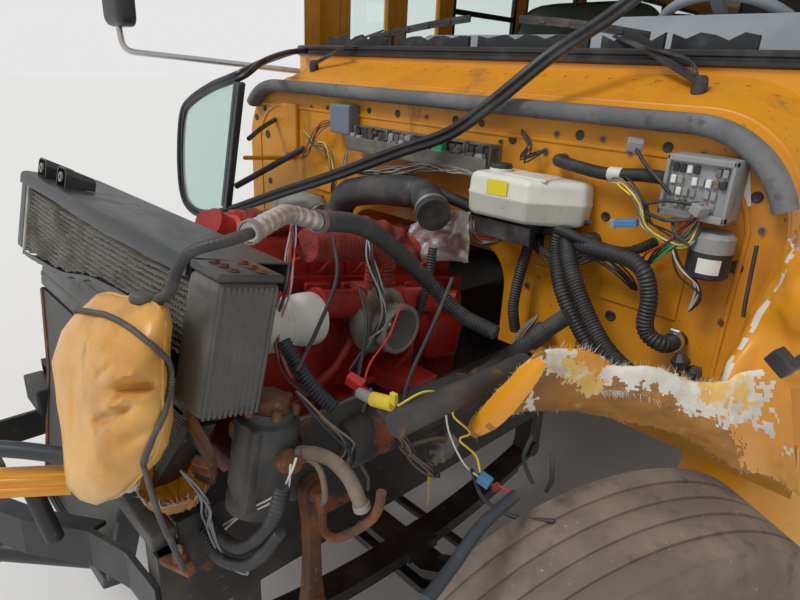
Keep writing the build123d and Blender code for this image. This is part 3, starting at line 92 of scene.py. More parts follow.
def makeStudio():
    scene = bpy.context.scene
    scene.view_settings.view_transform = "Standard"
    world = bpy.data.worlds.new("softSky")
    scene.world = world
    world.use_nodes = True
    tree = world.node_tree
    tree.nodes.clear()
    rays = tree.nodes.new("ShaderNodeLightPath")
    plain = tree.nodes.new("ShaderNodeBackground")
    plain.inputs["Strength"].default_value = studio["worldLevel"]
    seen = tree.nodes.new("ShaderNodeBackground")
    seen.inputs["Strength"].default_value = 1.0
    both = tree.nodes.new("ShaderNodeMath")
    both.operation = "MAXIMUM"
    tree.links.new(rays.outputs["Is Camera Ray"], both.inputs[0])
    tree.links.new(rays.outputs["Is Transmission Ray"], both.inputs[1])
    mix = tree.nodes.new("ShaderNodeMixShader")
    tree.links.new(both.outputs[0], mix.inputs["Fac"])
    tree.links.new(plain.outputs[0], mix.inputs[1])
    tree.links.new(seen.outputs[0], mix.inputs[2])
    out = tree.nodes.new("ShaderNodeOutputWorld")
    tree.links.new(mix.outputs[0], out.inputs["Surface"])
    lamp = bpy.data.lights.new("softSun", "SUN")
    lamp.energy = studio["sunLevel"]
    lamp.angle = math.radians(studio["sunSpread"])
    sun = bpy.data.objects.new("softSun", lamp)
    sun.rotation_euler = [math.radians(a) for a in studio["sunTurn"]]
    scene.collection.objects.link(sun)
    half = studio["floorSize"] / 2
    mesh = bpy.data.meshes.new("floor")
    mesh.from_pydata([(-half, -half, 0), (half, -half, 0), (half, half, 0), (-half, half, 0)], [],
                     [(0, 1, 2, 3)])
    floor = bpy.data.objects.new("studioFloor", mesh)
    scene.collection.objects.link(floor)
    matte = bpy.data.materials.new("studioFloor")
    matte.use_nodes = True
    shader = matte.node_tree.nodes["Principled BSDF"]
    shader.inputs["Base Color"].default_value = studio["floorColour"]
    shader.inputs["Roughness"].default_value = 0.9
    mesh.materials.append(matte)


# finishes: a base colour, then layers of wear that noise lays over it


def addNode(tree, kind, **settings):
    made = tree.nodes.new(kind)
    for name, value in settings.items():
        if hasattr(made, name):
            setattr(made, name, value)
        else:
            made.inputs[name].default_value = value
    return made


def layerMask(tree, place, wear):
    stretch = addNode(tree, "ShaderNodeMapping")
    stretch.inputs["Scale"].default_value = wear["stretch"]
    tree.links.new(place, stretch.inputs["Vector"])
    if wear["stripes"]:
        spots = addNode(tree, "ShaderNodeTexWave", Scale=wear["scale"], Distortion=1.0)
        spots.bands_direction = wear["stripes"]
    else:
        spots = addNode(tree, "ShaderNodeTexNoise", Scale=wear["scale"], Detail=6, Roughness=0.6)
    tree.links.new(stretch.outputs[0], spots.inputs["Vector"])
    span = addNode(tree, "ShaderNodeMapRange")
    span.interpolation_type = "SMOOTHSTEP"
    span.inputs["From Min"].default_value = wear["start"]
    span.inputs["From Max"].default_value = wear["full"]
    span.inputs["To Max"].default_value = wear["amount"]
    tree.links.new(spots.outputs["Fac"], span.inputs["Value"])
    return span.outputs[0]


def wornFinish(name, base, rough=0.5, metal=0.0, layers=(), bump=(60, 0.15, 0.002), ridges=None, coat=0.0,
               transmission=0.0, subsurface=0.0):
    material = bpy.data.materials.new(name)
    material.use_nodes = True
    tree = material.node_tree
    shader = tree.nodes["Principled BSDF"]
    shader.inputs["Base Color"].default_value = (*base, 1)
    shader.inputs["Roughness"].default_value = rough
    shader.inputs["Metallic"].default_value = metal
    shader.inputs["Coat Weight"].default_value = coat
    shader.inputs["Transmission Weight"].default_value = transmission
    shader.inputs["Subsurface Weight"].default_value = subsurface
    shader.inputs["Subsurface Scale"].default_value = 0.01
    place = addNode(tree, "ShaderNodeTexCoord").outputs["Object"]
    colourOut = roughOut = None
    for wear in layers:
        mask = layerMask(tree, place, wear)
        mix = addNode(tree, "ShaderNodeMix", data_type="RGBA")
        mix.inputs[6].default_value = (*base, 1)
        mix.inputs[7].default_value = (*wear["colour"], 1)
        tree.links.new(mask, mix.inputs[0])
        if colourOut:
            tree.links.new(colourOut, mix.inputs[6])
        colourOut = mix.outputs[2]
        if wear["rough"] is not None:
            blend = addNode(tree, "ShaderNodeMix", data_type="FLOAT")
            blend.inputs[2].default_value = rough
            blend.inputs[3].default_value = wear["rough"]
            tree.links.new(mask, blend.inputs[0])
            if roughOut:
                tree.links.new(roughOut, blend.inputs[2])
            roughOut = blend.outputs[0]
    if colourOut:
        tree.links.new(colourOut, shader.inputs["Base Color"])
    if roughOut:
        tree.links.new(roughOut, shader.inputs["Roughness"])
    lastNormal = None
    if bump:
        scale, strength, depth = bump
        relief = addNode(tree, "ShaderNodeTexNoise", Scale=scale, Detail=5, Roughness=0.6)
        tree.links.new(place, relief.inputs["Vector"])
        lift = addNode(tree, "ShaderNodeBump", Strength=strength, Distance=depth)
        tree.links.new(relief.outputs["Fac"], lift.inputs["Height"])
        lastNormal = lift.outputs[0]
    if ridges:
        pattern = addNode(tree, "ShaderNodeTexWave", Scale=ridges["scale"], Distortion=ridges["swirl"])
        pattern.bands_direction = ridges["along"]
        tree.links.new(place, pattern.inputs["Vector"])
        rise = addNode(tree, "ShaderNodeBump", Strength=ridges["strength"], Distance=ridges["depth"])
        tree.links.new(pattern.outputs["Fac"], rise.inputs["Height"])
        if lastNormal:
            tree.links.new(lastNormal, rise.inputs["Normal"])
        lastNormal = rise.outputs[0]
    if lastNormal:
        tree.links.new(lastNormal, shader.inputs["Normal"])
    return material


rust = (0.23, 0.075, 0.025)


def layer(colour, scale, start, full, amount, rough=None, stretch=(1, 1, 1), stripes=None):
    # wear of one colour, growing where the noise runs from start to full
    return dict(colour=colour, scale=scale, start=start, full=full, amount=amount, rough=rough,
                stretch=stretch, stripes=stripes)


finishes = {
    "busYellow": dict(base=(0.78, 0.33, 0.012), rough=0.36, coat=0.15, bump=(6, 0.12, 0.01), layers=[
        layer((0.66, 0.25, 0.012), 1.3, 0.42, 0.72, 0.7, 0.45),
        layer((0.86, 0.47, 0.1), 3.1, 0.55, 0.8, 0.45, 0.55),
        layer((0.3, 0.13, 0.03), 4.0, 0.6, 0.78, 0.55, 0.6, stretch=(1, 1, 0.35)),
        layer((0.05, 0.03, 0.02), 38, 0.68, 0.73, 0.8, 0.7),
    ]),
    "firewallYellow": dict(base=(0.72, 0.29, 0.012), rough=0.42, bump=(9, 0.15, 0.01), layers=[
        layer((0.5, 0.19, 0.015), 3.0, 0.45, 0.75, 0.8, 0.55),
        layer((0.8, 0.42, 0.07), 5.5, 0.58, 0.8, 0.5),
        layer((0.16, 0.08, 0.03), 7.0, 0.56, 0.76, 0.75, 0.75, stretch=(1, 1, 0.3)),
        layer((0.03, 0.02, 0.015), 60, 0.66, 0.72, 0.85, 0.8),
    ]),
    "guardBlack": dict(base=(0.018, 0.018, 0.019), rough=0.42, bump=(40, 0.1, 0.002), layers=[
        layer((0.09, 0.085, 0.08), 6, 0.5, 0.8, 0.6, 0.65)]),
    "chassisBlack": dict(base=(0.022, 0.021, 0.02), rough=0.5, bump=(35, 0.3, 0.003), layers=[
        layer((0.1, 0.09, 0.075), 5, 0.45, 0.75, 0.75, 0.8),
        layer(rust, 11, 0.6, 0.7, 0.8, 0.9),
        layer((0.2, 0.16, 0.12), 40, 0.62, 0.72, 0.5, 0.9)]),
    "rustyIron": dict(base=(0.12, 0.055, 0.03), rough=0.8, bump=(60, 0.5, 0.004), layers=[
        layer((0.27, 0.09, 0.03), 12, 0.45, 0.65, 0.9),
        layer((0.04, 0.03, 0.028), 7, 0.5, 0.7, 0.85, 0.6),
        layer((0.3, 0.22, 0.15), 45, 0.6, 0.72, 0.6)]),
    "tyreRubber": dict(base=(0.15, 0.122, 0.1), rough=0.82, bump=(120, 0.35, 0.002), layers=[
        layer((0.24, 0.19, 0.145), 8, 0.4, 0.7, 0.8),
        layer((0.055, 0.05, 0.047), 14, 0.52, 0.72, 0.7),
        layer((0.52, 0.47, 0.42), 70, 0.66, 0.74, 0.7)]),
    "wheelPaint": dict(base=(0.03, 0.03, 0.03), rough=0.5, bump=(50, 0.2, 0.002), layers=[
        layer((0.16, 0.13, 0.1), 9, 0.45, 0.75, 0.8, 0.85),
        layer(rust, 26, 0.6, 0.68, 0.85, 0.9)]),
    "glassTint": dict(base=(0.8, 0.92, 0.89), rough=0.02, transmission=1.0, bump=None),
    "hatchWhite": dict(base=(0.72, 0.71, 0.67), rough=0.5, layers=[
        layer((0.4, 0.37, 0.31), 5, 0.5, 0.8, 0.6)]),
    "floorRubber": dict(base=(0.035, 0.036, 0.038), rough=0.7, bump=(90, 0.3, 0.002), layers=[
        layer((0.15, 0.13, 0.11), 4, 0.45, 0.8, 0.7)]),
    "seatVinyl": dict(base=(0.045, 0.085, 0.055), rough=0.48, bump=(260, 0.35, 0.0008), layers=[
        layer((0.07, 0.12, 0.08), 3, 0.4, 0.7, 0.7),
        layer((0.16, 0.17, 0.14), 18, 0.6, 0.8, 0.35, 0.6)]),
    "driverVinyl": dict(base=(0.045, 0.047, 0.052), rough=0.55, bump=(260, 0.35, 0.0008), layers=[
        layer((0.1, 0.1, 0.1), 8, 0.5, 0.8, 0.5)]),
    "dashGrey": dict(base=(0.3, 0.345, 0.385), rough=0.55, bump=(420, 0.25, 0.0006), layers=[
        layer((0.43, 0.46, 0.48), 2.5, 0.4, 0.75, 0.7),
        layer((0.17, 0.17, 0.165), 9, 0.58, 0.78, 0.5, 0.75)]),
    "sealFoam": dict(base=(0.13, 0.133, 0.136), rough=0.86, bump=(150, 0.5, 0.002), layers=[
        layer((0.225, 0.228, 0.228), 6, 0.42, 0.7, 0.8),
        layer((0.05, 0.05, 0.05), 22, 0.56, 0.72, 0.7),
        layer((0.36, 0.34, 0.31), 70, 0.64, 0.74, 0.5)]),
    "gasketRubber": dict(base=(0.021, 0.021, 0.024), rough=0.36, bump=(120, 0.15, 0.001), layers=[
        layer((0.09, 0.088, 0.085), 9, 0.5, 0.78, 0.6, 0.7)]),
    "alloyCore": dict(base=(0.44, 0.43, 0.41), rough=0.5, metal=0.55, bump=(90, 0.4, 0.002), layers=[
        layer((0.22, 0.19, 0.16), 7, 0.48, 0.68, 0.75, 0.85),
        layer((0.6, 0.55, 0.48), 26, 0.6, 0.75, 0.5)]),
    "coreFins": dict(base=(0.4, 0.385, 0.36), rough=0.6, metal=0.35, bump=(140, 0.5, 0.002), layers=[
        layer((0.2, 0.165, 0.13), 9, 0.42, 0.66, 0.8, 0.85),
        layer((0.62, 0.59, 0.54), 34, 0.58, 0.72, 0.6)]),
    "meshCore": dict(base=(0.2, 0.195, 0.185), rough=0.6, metal=0.3, bump=(90, 0.3, 0.002),
        ridges=dict(scale=52, along="Z", strength=0.9, depth=0.004, swirl=0.6), layers=[
        # dark bands along Z at the ridges' pitch: painted shade in the gaps between the core's tubes
        layer((0.06, 0.055, 0.05), 52, 0.25, 0.6, 0.75, stripes="Z"),
        layer((0.3, 0.26, 0.21), 6, 0.5, 0.75, 0.5, 0.85)]),
    "endTank": dict(base=(0.1, 0.098, 0.09), rough=0.6, bump=(150, 0.5, 0.0015), layers=[
        layer((0.2, 0.18, 0.15), 10, 0.45, 0.75, 0.7, 0.85),
        layer((0.05, 0.048, 0.045), 30, 0.55, 0.7, 0.6)]),
    "packBlack": dict(base=(0.03, 0.033, 0.037), rough=0.34, bump=(50, 0.2, 0.002), layers=[
        layer((0.15, 0.135, 0.115), 7, 0.48, 0.75, 0.75, 0.8),
        layer((0.26, 0.22, 0.17), 38, 0.62, 0.74, 0.6, 0.9)]),
    "ductWhite": dict(base=(0.7, 0.69, 0.66), rough=0.45, bump=(60, 0.1, 0.001), layers=[
        layer((0.42, 0.39, 0.34), 14, 0.55, 0.78, 0.55)]),
    "amberPlastic": dict(base=(0.66, 0.335, 0.07), rough=0.33, subsurface=0.1, bump=(14, 0.2, 0.004), layers=[
        layer((0.72, 0.43, 0.13), 4, 0.45, 0.7, 0.6),
        layer((0.42, 0.17, 0.025), 6.5, 0.5, 0.72, 0.75),
        layer((0.16, 0.07, 0.02), 20, 0.62, 0.76, 0.55, stretch=(1, 1, 0.4))]),
    "engineRed": dict(base=(0.36, 0.018, 0.012), rough=0.42, bump=(45, 0.35, 0.003), layers=[
        layer((0.5, 0.035, 0.022), 8, 0.42, 0.65, 0.8),
        layer((0.1, 0.01, 0.008), 6, 0.5, 0.72, 0.8, 0.6),
        layer((0.03, 0.02, 0.018), 30, 0.6, 0.72, 0.7, 0.8)]),
    "castGrey": dict(base=(0.3, 0.275, 0.25), rough=0.6, metal=0.4, bump=(70, 0.4, 0.002), layers=[
        layer((0.12, 0.07, 0.045), 10, 0.5, 0.7, 0.8, 0.85)]),
    "gearSteel": dict(base=(0.05, 0.05, 0.052), rough=0.5, metal=0.15, bump=(60, 0.4, 0.003), layers=[
        layer((0.12, 0.105, 0.09), 8, 0.45, 0.7, 0.7, 0.75),
        layer((0.3, 0.085, 0.03), 6.5, 0.6, 0.66, 0.95, 0.9)]),
    "hoseRubber": dict(base=(0.032, 0.032, 0.034), rough=0.5, bump=(130, 0.25, 0.001), layers=[
        layer((0.12, 0.11, 0.1), 11, 0.45, 0.75, 0.65, 0.8)]),
    "unitBlack": dict(base=(0.03, 0.03, 0.032), rough=0.5, bump=(90, 0.3, 0.001), layers=[
        layer((0.14, 0.125, 0.11), 10, 0.45, 0.72, 0.7, 0.85)]),
    "bottleWhite": dict(base=(0.7, 0.7, 0.63), rough=0.42, subsurface=0.15, bump=(30, 0.12, 0.002), layers=[
        layer((0.5, 0.47, 0.38), 6, 0.5, 0.75, 0.5),
        layer((0.25, 0.22, 0.17), 22, 0.62, 0.78, 0.5)]),
    "mirrorBlack": dict(base=(0.03, 0.032, 0.036), rough=0.38, bump=(80, 0.1, 0.001), layers=[
        layer((0.1, 0.1, 0.1), 8, 0.5, 0.8, 0.4, 0.6)]),
    "signRed": dict(base=(0.5, 0.012, 0.012), rough=0.4, bump=(300, 0.1, 0.0004), layers=[
        layer((0.36, 0.02, 0.015), 6, 0.5, 0.8, 0.6)]),
    "lensRed": dict(base=(0.5, 0.008, 0.008), rough=0.12, coat=0.5, bump=(180, 0.3, 0.001), layers=[
        layer((0.3, 0.01, 0.01), 20, 0.5, 0.7, 0.5)]),
    "lensAmber": dict(base=(0.8, 0.26, 0.01), rough=0.12, coat=0.5, bump=(180, 0.3, 0.001), layers=[
        layer((0.6, 0.16, 0.01), 20, 0.5, 0.7, 0.5)]),
    "paneGreen": dict(base=(0.6, 0.8, 0.73), rough=0.06, transmission=0.86, bump=(14, 0.1, 0.002), layers=[
        layer((0.7, 0.74, 0.68), 9, 0.55, 0.8, 0.4, 0.4)]),
    "barBlue": dict(base=(0.035, 0.045, 0.055), rough=0.4, bump=(60, 0.2, 0.001), layers=[
        layer((0.13, 0.13, 0.13), 12, 0.5, 0.75, 0.6, 0.7)]),
    "ductGrey": dict(base=(0.085, 0.092, 0.1), rough=0.6, bump=(90, 0.3, 0.001), layers=[
        layer((0.19, 0.19, 0.19), 12, 0.45, 0.75, 0.7, 0.8)]),
    "labelWhite": dict(base=(0.78, 0.77, 0.73), rough=0.45, bump=None, layers=[
        layer((0.42, 0.36, 0.28), 30, 0.6, 0.8, 0.6)]),
    "labelYellow": dict(base=(0.85, 0.72, 0.03), rough=0.45, bump=None, layers=[
        layer((0.5, 0.4, 0.05), 40, 0.62, 0.8, 0.5)]),
    "foilSilver": dict(base=(0.62, 0.61, 0.59), rough=0.38, metal=0.75, bump=(70, 0.6, 0.004), layers=[
        layer((0.25, 0.22, 0.19), 14, 0.55, 0.75, 0.7, 0.8)]),
    "fibreWhite": dict(base=(0.72, 0.68, 0.6), rough=0.85, bump=(220, 0.7, 0.002), layers=[
        layer((0.55, 0.42, 0.26), 16, 0.5, 0.72, 0.7)]),
    "underOrange": dict(base=(0.42, 0.19, 0.04), rough=0.75, bump=(40, 0.5, 0.003), layers=[
        layer((0.2, 0.1, 0.04), 8, 0.42, 0.68, 0.8),
        layer((0.6, 0.36, 0.12), 22, 0.58, 0.74, 0.7)]),
    "labelYellowWorn": dict(base=(0.8, 0.5, 0.14), rough=0.6, bump=(60, 0.4, 0.002), layers=[
        layer((0.78, 0.7, 0.55), 24, 0.5, 0.68, 0.9),
        layer((0.62, 0.3, 0.05), 9, 0.5, 0.72, 0.8)]),
    "foamBlack": dict(base=(0.03, 0.031, 0.034), rough=0.85, bump=(120, 0.5, 0.002), layers=[
        layer((0.085, 0.088, 0.09), 16, 0.5, 0.75, 0.7)]),
    "wireYellow": dict(base=(0.8, 0.62, 0.05), rough=0.45, bump=None),
    "wireWhite": dict(base=(0.66, 0.64, 0.58), rough=0.5, bump=None),
    "wireRed": dict(base=(0.55, 0.03, 0.02), rough=0.45, bump=None),
    "plugBlue": dict(base=(0.06, 0.22, 0.4), rough=0.45, bump=(60, 0.2, 0.001)),
    "plugGreen": dict(base=(0.02, 0.42, 0.16), rough=0.45, bump=(60, 0.2, 0.001)),
    "plugGrey": dict(base=(0.3, 0.31, 0.31), rough=0.5, bump=(60, 0.2, 0.001), layers=[
        layer((0.14, 0.13, 0.12), 18, 0.5, 0.75, 0.6, 0.8)]),
    "hoseTan": dict(base=(0.22, 0.17, 0.125), rough=0.7, bump=(90, 0.4, 0.002), layers=[
        layer((0.1, 0.075, 0.06), 12, 0.45, 0.7, 0.8),
        layer((0.36, 0.29, 0.22), 34, 0.6, 0.74, 0.6)]),
    "burntRed": dict(base=(0.2, 0.022, 0.015), rough=0.8, bump=(60, 0.9, 0.006), layers=[
        layer((0.34, 0.05, 0.03), 18, 0.45, 0.65, 0.8),
        layer((0.05, 0.03, 0.025), 26, 0.55, 0.7, 0.8)]),
    "armSilver": dict(base=(0.55, 0.55, 0.54), rough=0.3, metal=0.85, bump=(90, 0.1, 0.001), layers=[
        layer((0.3, 0.27, 0.24), 12, 0.56, 0.76, 0.6, 0.7)]),
    "mirrorGlass": dict(base=(0.6, 0.63, 0.65), rough=0.04, metal=1.0, bump=None),
    "trayGrey": dict(base=(0.13, 0.12, 0.105), rough=0.7, bump=(80, 0.4, 0.002), layers=[
        layer((0.27, 0.24, 0.2), 12, 0.45, 0.7, 0.7),
        layer((0.04, 0.04, 0.04), 24, 0.55, 0.72, 0.7)]),
    "unitBlueGrey": dict(base=(0.15, 0.19, 0.23), rough=0.5, bump=(60, 0.2, 0.001), layers=[
        layer((0.3, 0.32, 0.33), 14, 0.5, 0.75, 0.6)]),
    "canGrey": dict(base=(0.26, 0.26, 0.25), rough=0.55, bump=(60, 0.3, 0.001), layers=[
        layer((0.12, 0.11, 0.1), 10, 0.5, 0.75, 0.7, 0.8)]),
    "cableGrey": dict(base=(0.07, 0.065, 0.06), rough=0.55, bump=None, layers=[
        layer((0.2, 0.17, 0.14), 20, 0.5, 0.75, 0.6)]),
}


materials = {name: wornFinish(name, **facts) for name, facts in finishes.items()}

nodeFinish = {
    "busYellow": ("roof_shell", "side_wall_left", "side_wall_right", "window_posts",
                  "front_pillars", "rear_wall", "entrance_door_front", "entrance_door_rear", "emergency_door",
                  "toe_boards"),
    "firewallYellow": ("cowl",),
    "guardBlack": ("rub_rails", "window_frames", "bumpers", "fuel_tank"),
    "glassTint": ("window_glass", "entrance_glass_front", "entrance_glass_rear", "emergency_glass"),
    "hatchWhite": ("roof_hatches",),
    "floorRubber": ("floor", "entrance_steps"),
    "dashGrey": ("dashboard",),
    "chassisBlack": ("frame", "front_axle", "leaf_springs", "driveline", "knuckle_left", "knuckle_right",
                     "tie_rod"),
    "rustyIron": ("exhaust",),
    "wheelPaint": ("wheel_front_left", "wheel_front_right", "wheels_rear_left", "wheels_rear_right"),
    "engineRed": ("engine",),
    "signRed": ("stop_arm",),
    "lensRed": ("lamps_red",),
    "lensAmber": ("lamps_amber",),
}


def dressNodes():
    for finish, names in nodeFinish.items():
        for name in names:
            mesh = nodes[name].data
            mesh.materials.clear()
            mesh.materials.append(materials[finish])


# shapes are gathered as corner and face lists, one Shape for each piece


def turned(rotation=(0, 0, 0), place=(0, 0, 0)):
    made = Matrix.Translation(place)
    for angle, axis in zip(rotation, "XYZ"):
        made = made @ Matrix.Rotation(math.radians(angle), 4, axis)
    return made


def curveAt(a, b, c, d, t):
    # a place between b and c on the rounded line through four points
    return 0.5 * ((2 * b) + (c - a) * t + (2 * a - 5 * b + 4 * c - d) * t * t
                  + (3 * b - a - 3 * c + d) * t ** 3)


def smoothPath(points, step=0.02, closed=False):
    # a rounded line through the points, evenly spaced
    pts = [Vector(p) for p in points]
    if closed:
        pts = [pts[-1]] + pts + [pts[0], pts[1]]
    else:
        pts = [2 * pts[0] - pts[1]] + pts + [2 * pts[-1] - pts[-2]]
    line = []
    for i in range(1, len(pts) - 2):
        a, b, c, d = pts[i - 1:i + 3]
        for k in range(12):
            line.append(curveAt(a, b, c, d, k / 12))
    line.append(pts[-2])
    gaps = [0.0]
    for p, q in zip(line, line[1:]):
        gaps.append(gaps[-1] + (q - p).length)
    count = max(2, int(gaps[-1] / step) + 1)
    found, at = [], 0
    for i in range(count):
        goal = gaps[-1] * i / (count - 1)
        while at < len(gaps) - 2 and gaps[at + 1] < goal:
            at += 1
        span = gaps[at + 1] - gaps[at] or 1
        found.append(line[at].lerp(line[at + 1], (goal - gaps[at]) / span))
    return found


def ringFaces(rings, sides, start=0):
    # four-sided faces between closed rings of corners
    return [(start + j * sides + k, start + j * sides + (k + 1) % sides,
             start + (j + 1) * sides + (k + 1) % sides, start + (j + 1) * sides + k)
            for j in range(rings - 1) for k in range(sides)]


def cappedFaces(rings, sides):
    return ringFaces(rings, sides) + [list(range(sides)),
                                      [(rings - 1) * sides + k for k in reversed(range(sides))]]


def gridNormal(grid, j, i):
    rows, columns = len(grid), len(grid[0])
    a = grid[min(j + 1, rows - 1)][i] - grid[max(j - 1, 0)][i]
    b = grid[j][min(i + 1, columns - 1)] - grid[j][max(i - 1, 0)]
    n = a.cross(b)
    return n.normalized() if n.length > 1e-12 else Vector((0, 0, 1))


def flatBar(wide, high):
    return [(-wide, -high), (wide, -high), (wide, high), (-wide, high)]


def ringProfile(radius, sides=12, squash=1.0):
    return [(radius * math.cos(2 * math.pi * i / sides), radius * squash * math.sin(2 * math.pi * i / sides))
            for i in range(sides)]


class Shape:
    def __init__(self):
        self.corners = []
        self.faces = []
        self.facesFinish = []
        self.facesSmooth = []
        self.finishes = []

    def add(self, corners, faces, finish, place=None, smooth=True):
        if finish not in self.finishes:
            self.finishes.append(finish)
        index = self.finishes.index(finish)
        start = len(self.corners)
        for corner in corners:
            point = Vector(corner)
            self.corners.append(place @ point if place else point)
        for face in faces:
            self.faces.append([start + i for i in face])
            self.facesFinish.append(index)
            self.facesSmooth.append(smooth)

    def block(self, low, high, finish, bevel=0.004, place=None, segments=2, smooth=False):
        mesh = bmesh.new()
        bmesh.ops.create_cube(mesh, size=1)
        size = [h - l for l, h in zip(low, high)]
        for v in mesh.verts:
            v.co = Vector([l + (c + 0.5) * s for l, c, s in zip(low, v.co, size)])
        bevel = min(bevel, 0.45 * min(abs(s) for s in size))
        if bevel > 0:
            bmesh.ops.bevel(mesh, geom=mesh.edges[:], offset=bevel, segments=segments, profile=0.6,
                            affect="EDGES", clamp_overlap=True)
        self.add([v.co for v in mesh.verts], [[v.index for v in f.verts] for f in mesh.faces], finish, place,
                 smooth)
        mesh.free()

    def prism(self, outline, low, high, finish, axis="Y", place=None, bevel=0.0):
        # outline in the two other axes, pushed along one
        spread = {"X": lambda a, b, t: (t, a, b), "Y": lambda a, b, t: (a, t, b),
                  "Z": lambda a, b, t: (a, b, t)}[axis]
        mesh = bmesh.new()
        ends = [[mesh.verts.new(spread(a, b, t)) for a, b in outline] for t in (low, high)]
        count = len(outline)
        for i in range(count):
            j = (i + 1) % count
            mesh.faces.new((ends[0][i], ends[0][j], ends[1][j], ends[1][i]))
        for end in ends:
            mesh.faces.new(end)
        bmesh.ops.recalc_face_normals(mesh, faces=mesh.faces[:])
        if bevel:
            rim = [e for e in mesh.edges
                   if len({round(Vector(v.co)["XYZ".index(axis)], 6) for v in e.verts}) == 1]
            bmesh.ops.bevel(mesh, geom=rim, offset=bevel, segments=2, profile=0.6, affect="EDGES",
                            clamp_overlap=True)
        mesh.verts.index_update()
        self.add([v.co for v in mesh.verts], [[v.index for v in f.verts] for f in mesh.faces], finish, place,
                 False)
        mesh.free()

    def tube(self, path, profile, finish, place=None, scale=None, up=None, caps=True, smooth=True,
             closed=False):
        # carries a closed profile along a path without twist
        path = [Vector(p) for p in path]
        count, sides = len(path), len(profile)
        heading = []
        for i in range(count):
            if closed:
                heading.append((path[(i + 1) % count] - path[i - 1]).normalized())
            else:
                heading.append((path[min(i + 1, count - 1)] - path[max(i - 1, 0)]).normalized())
        first = Vector(up) if up else Vector((0, 0, 1))
        if abs(first.dot(heading[0])) > 0.95:
            first = Vector((1, 0, 0))
        normal = (first - heading[0] * first.dot(heading[0])).normalized()
        corners, faces = [], []
        for i, (point, ahead) in enumerate(zip(path, heading)):
            if up:
                normal = Vector(up)
            normal = (normal - ahead * normal.dot(ahead)).normalized()
            side = ahead.cross(normal)
            size = scale(i / (count - 1)) if scale else 1
            for a, b in profile:
                corners.append(point + side * a * size + normal * b * size)
        rings = count if closed else count - 1
        for i in range(rings):
            for k in range(sides):
                m, n, j = (k + 1) % sides, (i + 1) % count, i * sides
                faces.append((j + k, n * sides + k, n * sides + m, j + m))
        if caps and not closed:
            faces.append(list(range(sides)))
            faces.append([(count - 1) * sides + k for k in reversed(range(sides))])
        self.add(corners, faces, finish, place, smooth)

    def pipe(self, points, radius, finish, place=None, step=0.02, sides=12, scale=None):
        self.tube(smoothPath(points, step), ringProfile(radius, sides), finish, place, scale)

    def rod(self, start, end, radius, finish, place=None, sides=20, bevel=0.003):
        # a turned bar with softened ends
        a, b = Vector(start), Vector(end)
        length = (b - a).length
        bevel = min(bevel, radius * 0.4, length * 0.3)
        self.lathe([(0, 0), (radius - bevel, 0), (radius, bevel), (radius, length - bevel),
                    (radius - bevel, length), (0, length)], a, b - a, finish, place, sides)

    def lathe(self, profile, origin, axis, finish, place=None, sides=32, smooth=True):
        # profile is radius and distance along the axis
        axis = Vector(axis).normalized()
        side = axis.orthogonal().normalized()
        other = axis.cross(side)
        origin = Vector(origin)
        corners, rows, faces = [], [], []
        for radius, along in profile:
            if radius < 1e-6:
                rows.append([len(corners)])
                corners.append(origin + axis * along)
                continue
            rows.append(list(range(len(corners), len(corners) + sides)))
            for k in range(sides):
                angle = 2 * math.pi * k / sides
                corners.append(origin + axis * along
                               + (side * math.cos(angle) + other * math.sin(angle)) * radius)
        for low, high in zip(rows, rows[1:]):
            for k in range(sides):
                m = (k + 1) % sides
                if len(low) == 1 and len(high) == 1:
                    continue
                if len(low) == 1:
                    faces.append((low[0], high[m], high[k]))
                elif len(high) == 1:
                    faces.append((low[k], low[m], high[0]))
                else:
                    faces.append((low[k], low[m], high[m], high[k]))
        self.add(corners, faces, finish, place, smooth)

    def sheet(self, grid, finish, thick=0.002, place=None, finishAt=None):
        # a bent plate: rows of points, given a thickness along their normals
        # finishAt paints its outer face cell by cell, and its broken rim then shows bare fibre
        grid = [[Vector(p) for p in row] for row in grid]
        rows, columns = len(grid), len(grid[0])
        half = rows * columns
        middle = [p for row in grid for p in row]
        lift = [gridNormal(grid, j, i) * thick / 2 for j in range(rows) for i in range(columns)]
        corners = [p + n for p, n in zip(middle, lift)] + [p - n for p, n in zip(middle, lift)]
        groups = {}
        for j in range(rows - 1):
            for i in range(columns - 1):
                a = j * columns + i
                b, c, d = a + 1, a + columns + 1, a + columns
                outer = finishAt(i / (columns - 1), j / (rows - 1), grid[j][i]) if finishAt else finish
                groups.setdefault(outer, []).append((a, d, c, b))
                groups.setdefault(finish, []).append((a + half, b + half, c + half, d + half))
        border = [(0, i) for i in range(columns)] + [(j, columns - 1) for j in range(1, rows)]
        border += [(rows - 1, i) for i in range(columns - 2, -1, -1)] + [(j, 0) for j in range(rows - 2, 0,
                                                                                               -1)]
        loop = [j * columns + i for j, i in border]
        rim = "fibreWhite" if finishAt else finish
        for a, b in zip(loop, loop[1:] + loop[:1]):
            groups.setdefault(rim, []).append((a, b, b + half, a + half))
        for name, faces in groups.items():
            self.add(corners, faces, name, place)

    def mesh(self, name):
        made = bpy.data.meshes.new(name)
        made.from_pydata(self.corners, [], self.faces)
        for finish in self.finishes:
            made.materials.append(materials[finish])
        made.polygons.foreach_set("material_index", self.facesFinish)
        made.polygons.foreach_set("use_smooth", self.facesSmooth)
        made.validate()
        tidy = bmesh.new()
        tidy.from_mesh(made)
        bmesh.ops.remove_doubles(tidy, verts=tidy.verts[:], dist=2e-05)
        bmesh.ops.recalc_face_normals(tidy, faces=tidy.faces[:])
        tidy.to_mesh(made)
        tidy.free()
        return made

    def done(self, name, body="bus_body", replaces=(), edge=40):
        piece = bpy.data.objects.new(name, self.mesh(name))
        bpy.context.scene.collection.objects.link(piece)
        markSharp(piece.data, edge)
        return settle(piece, body, replaces)


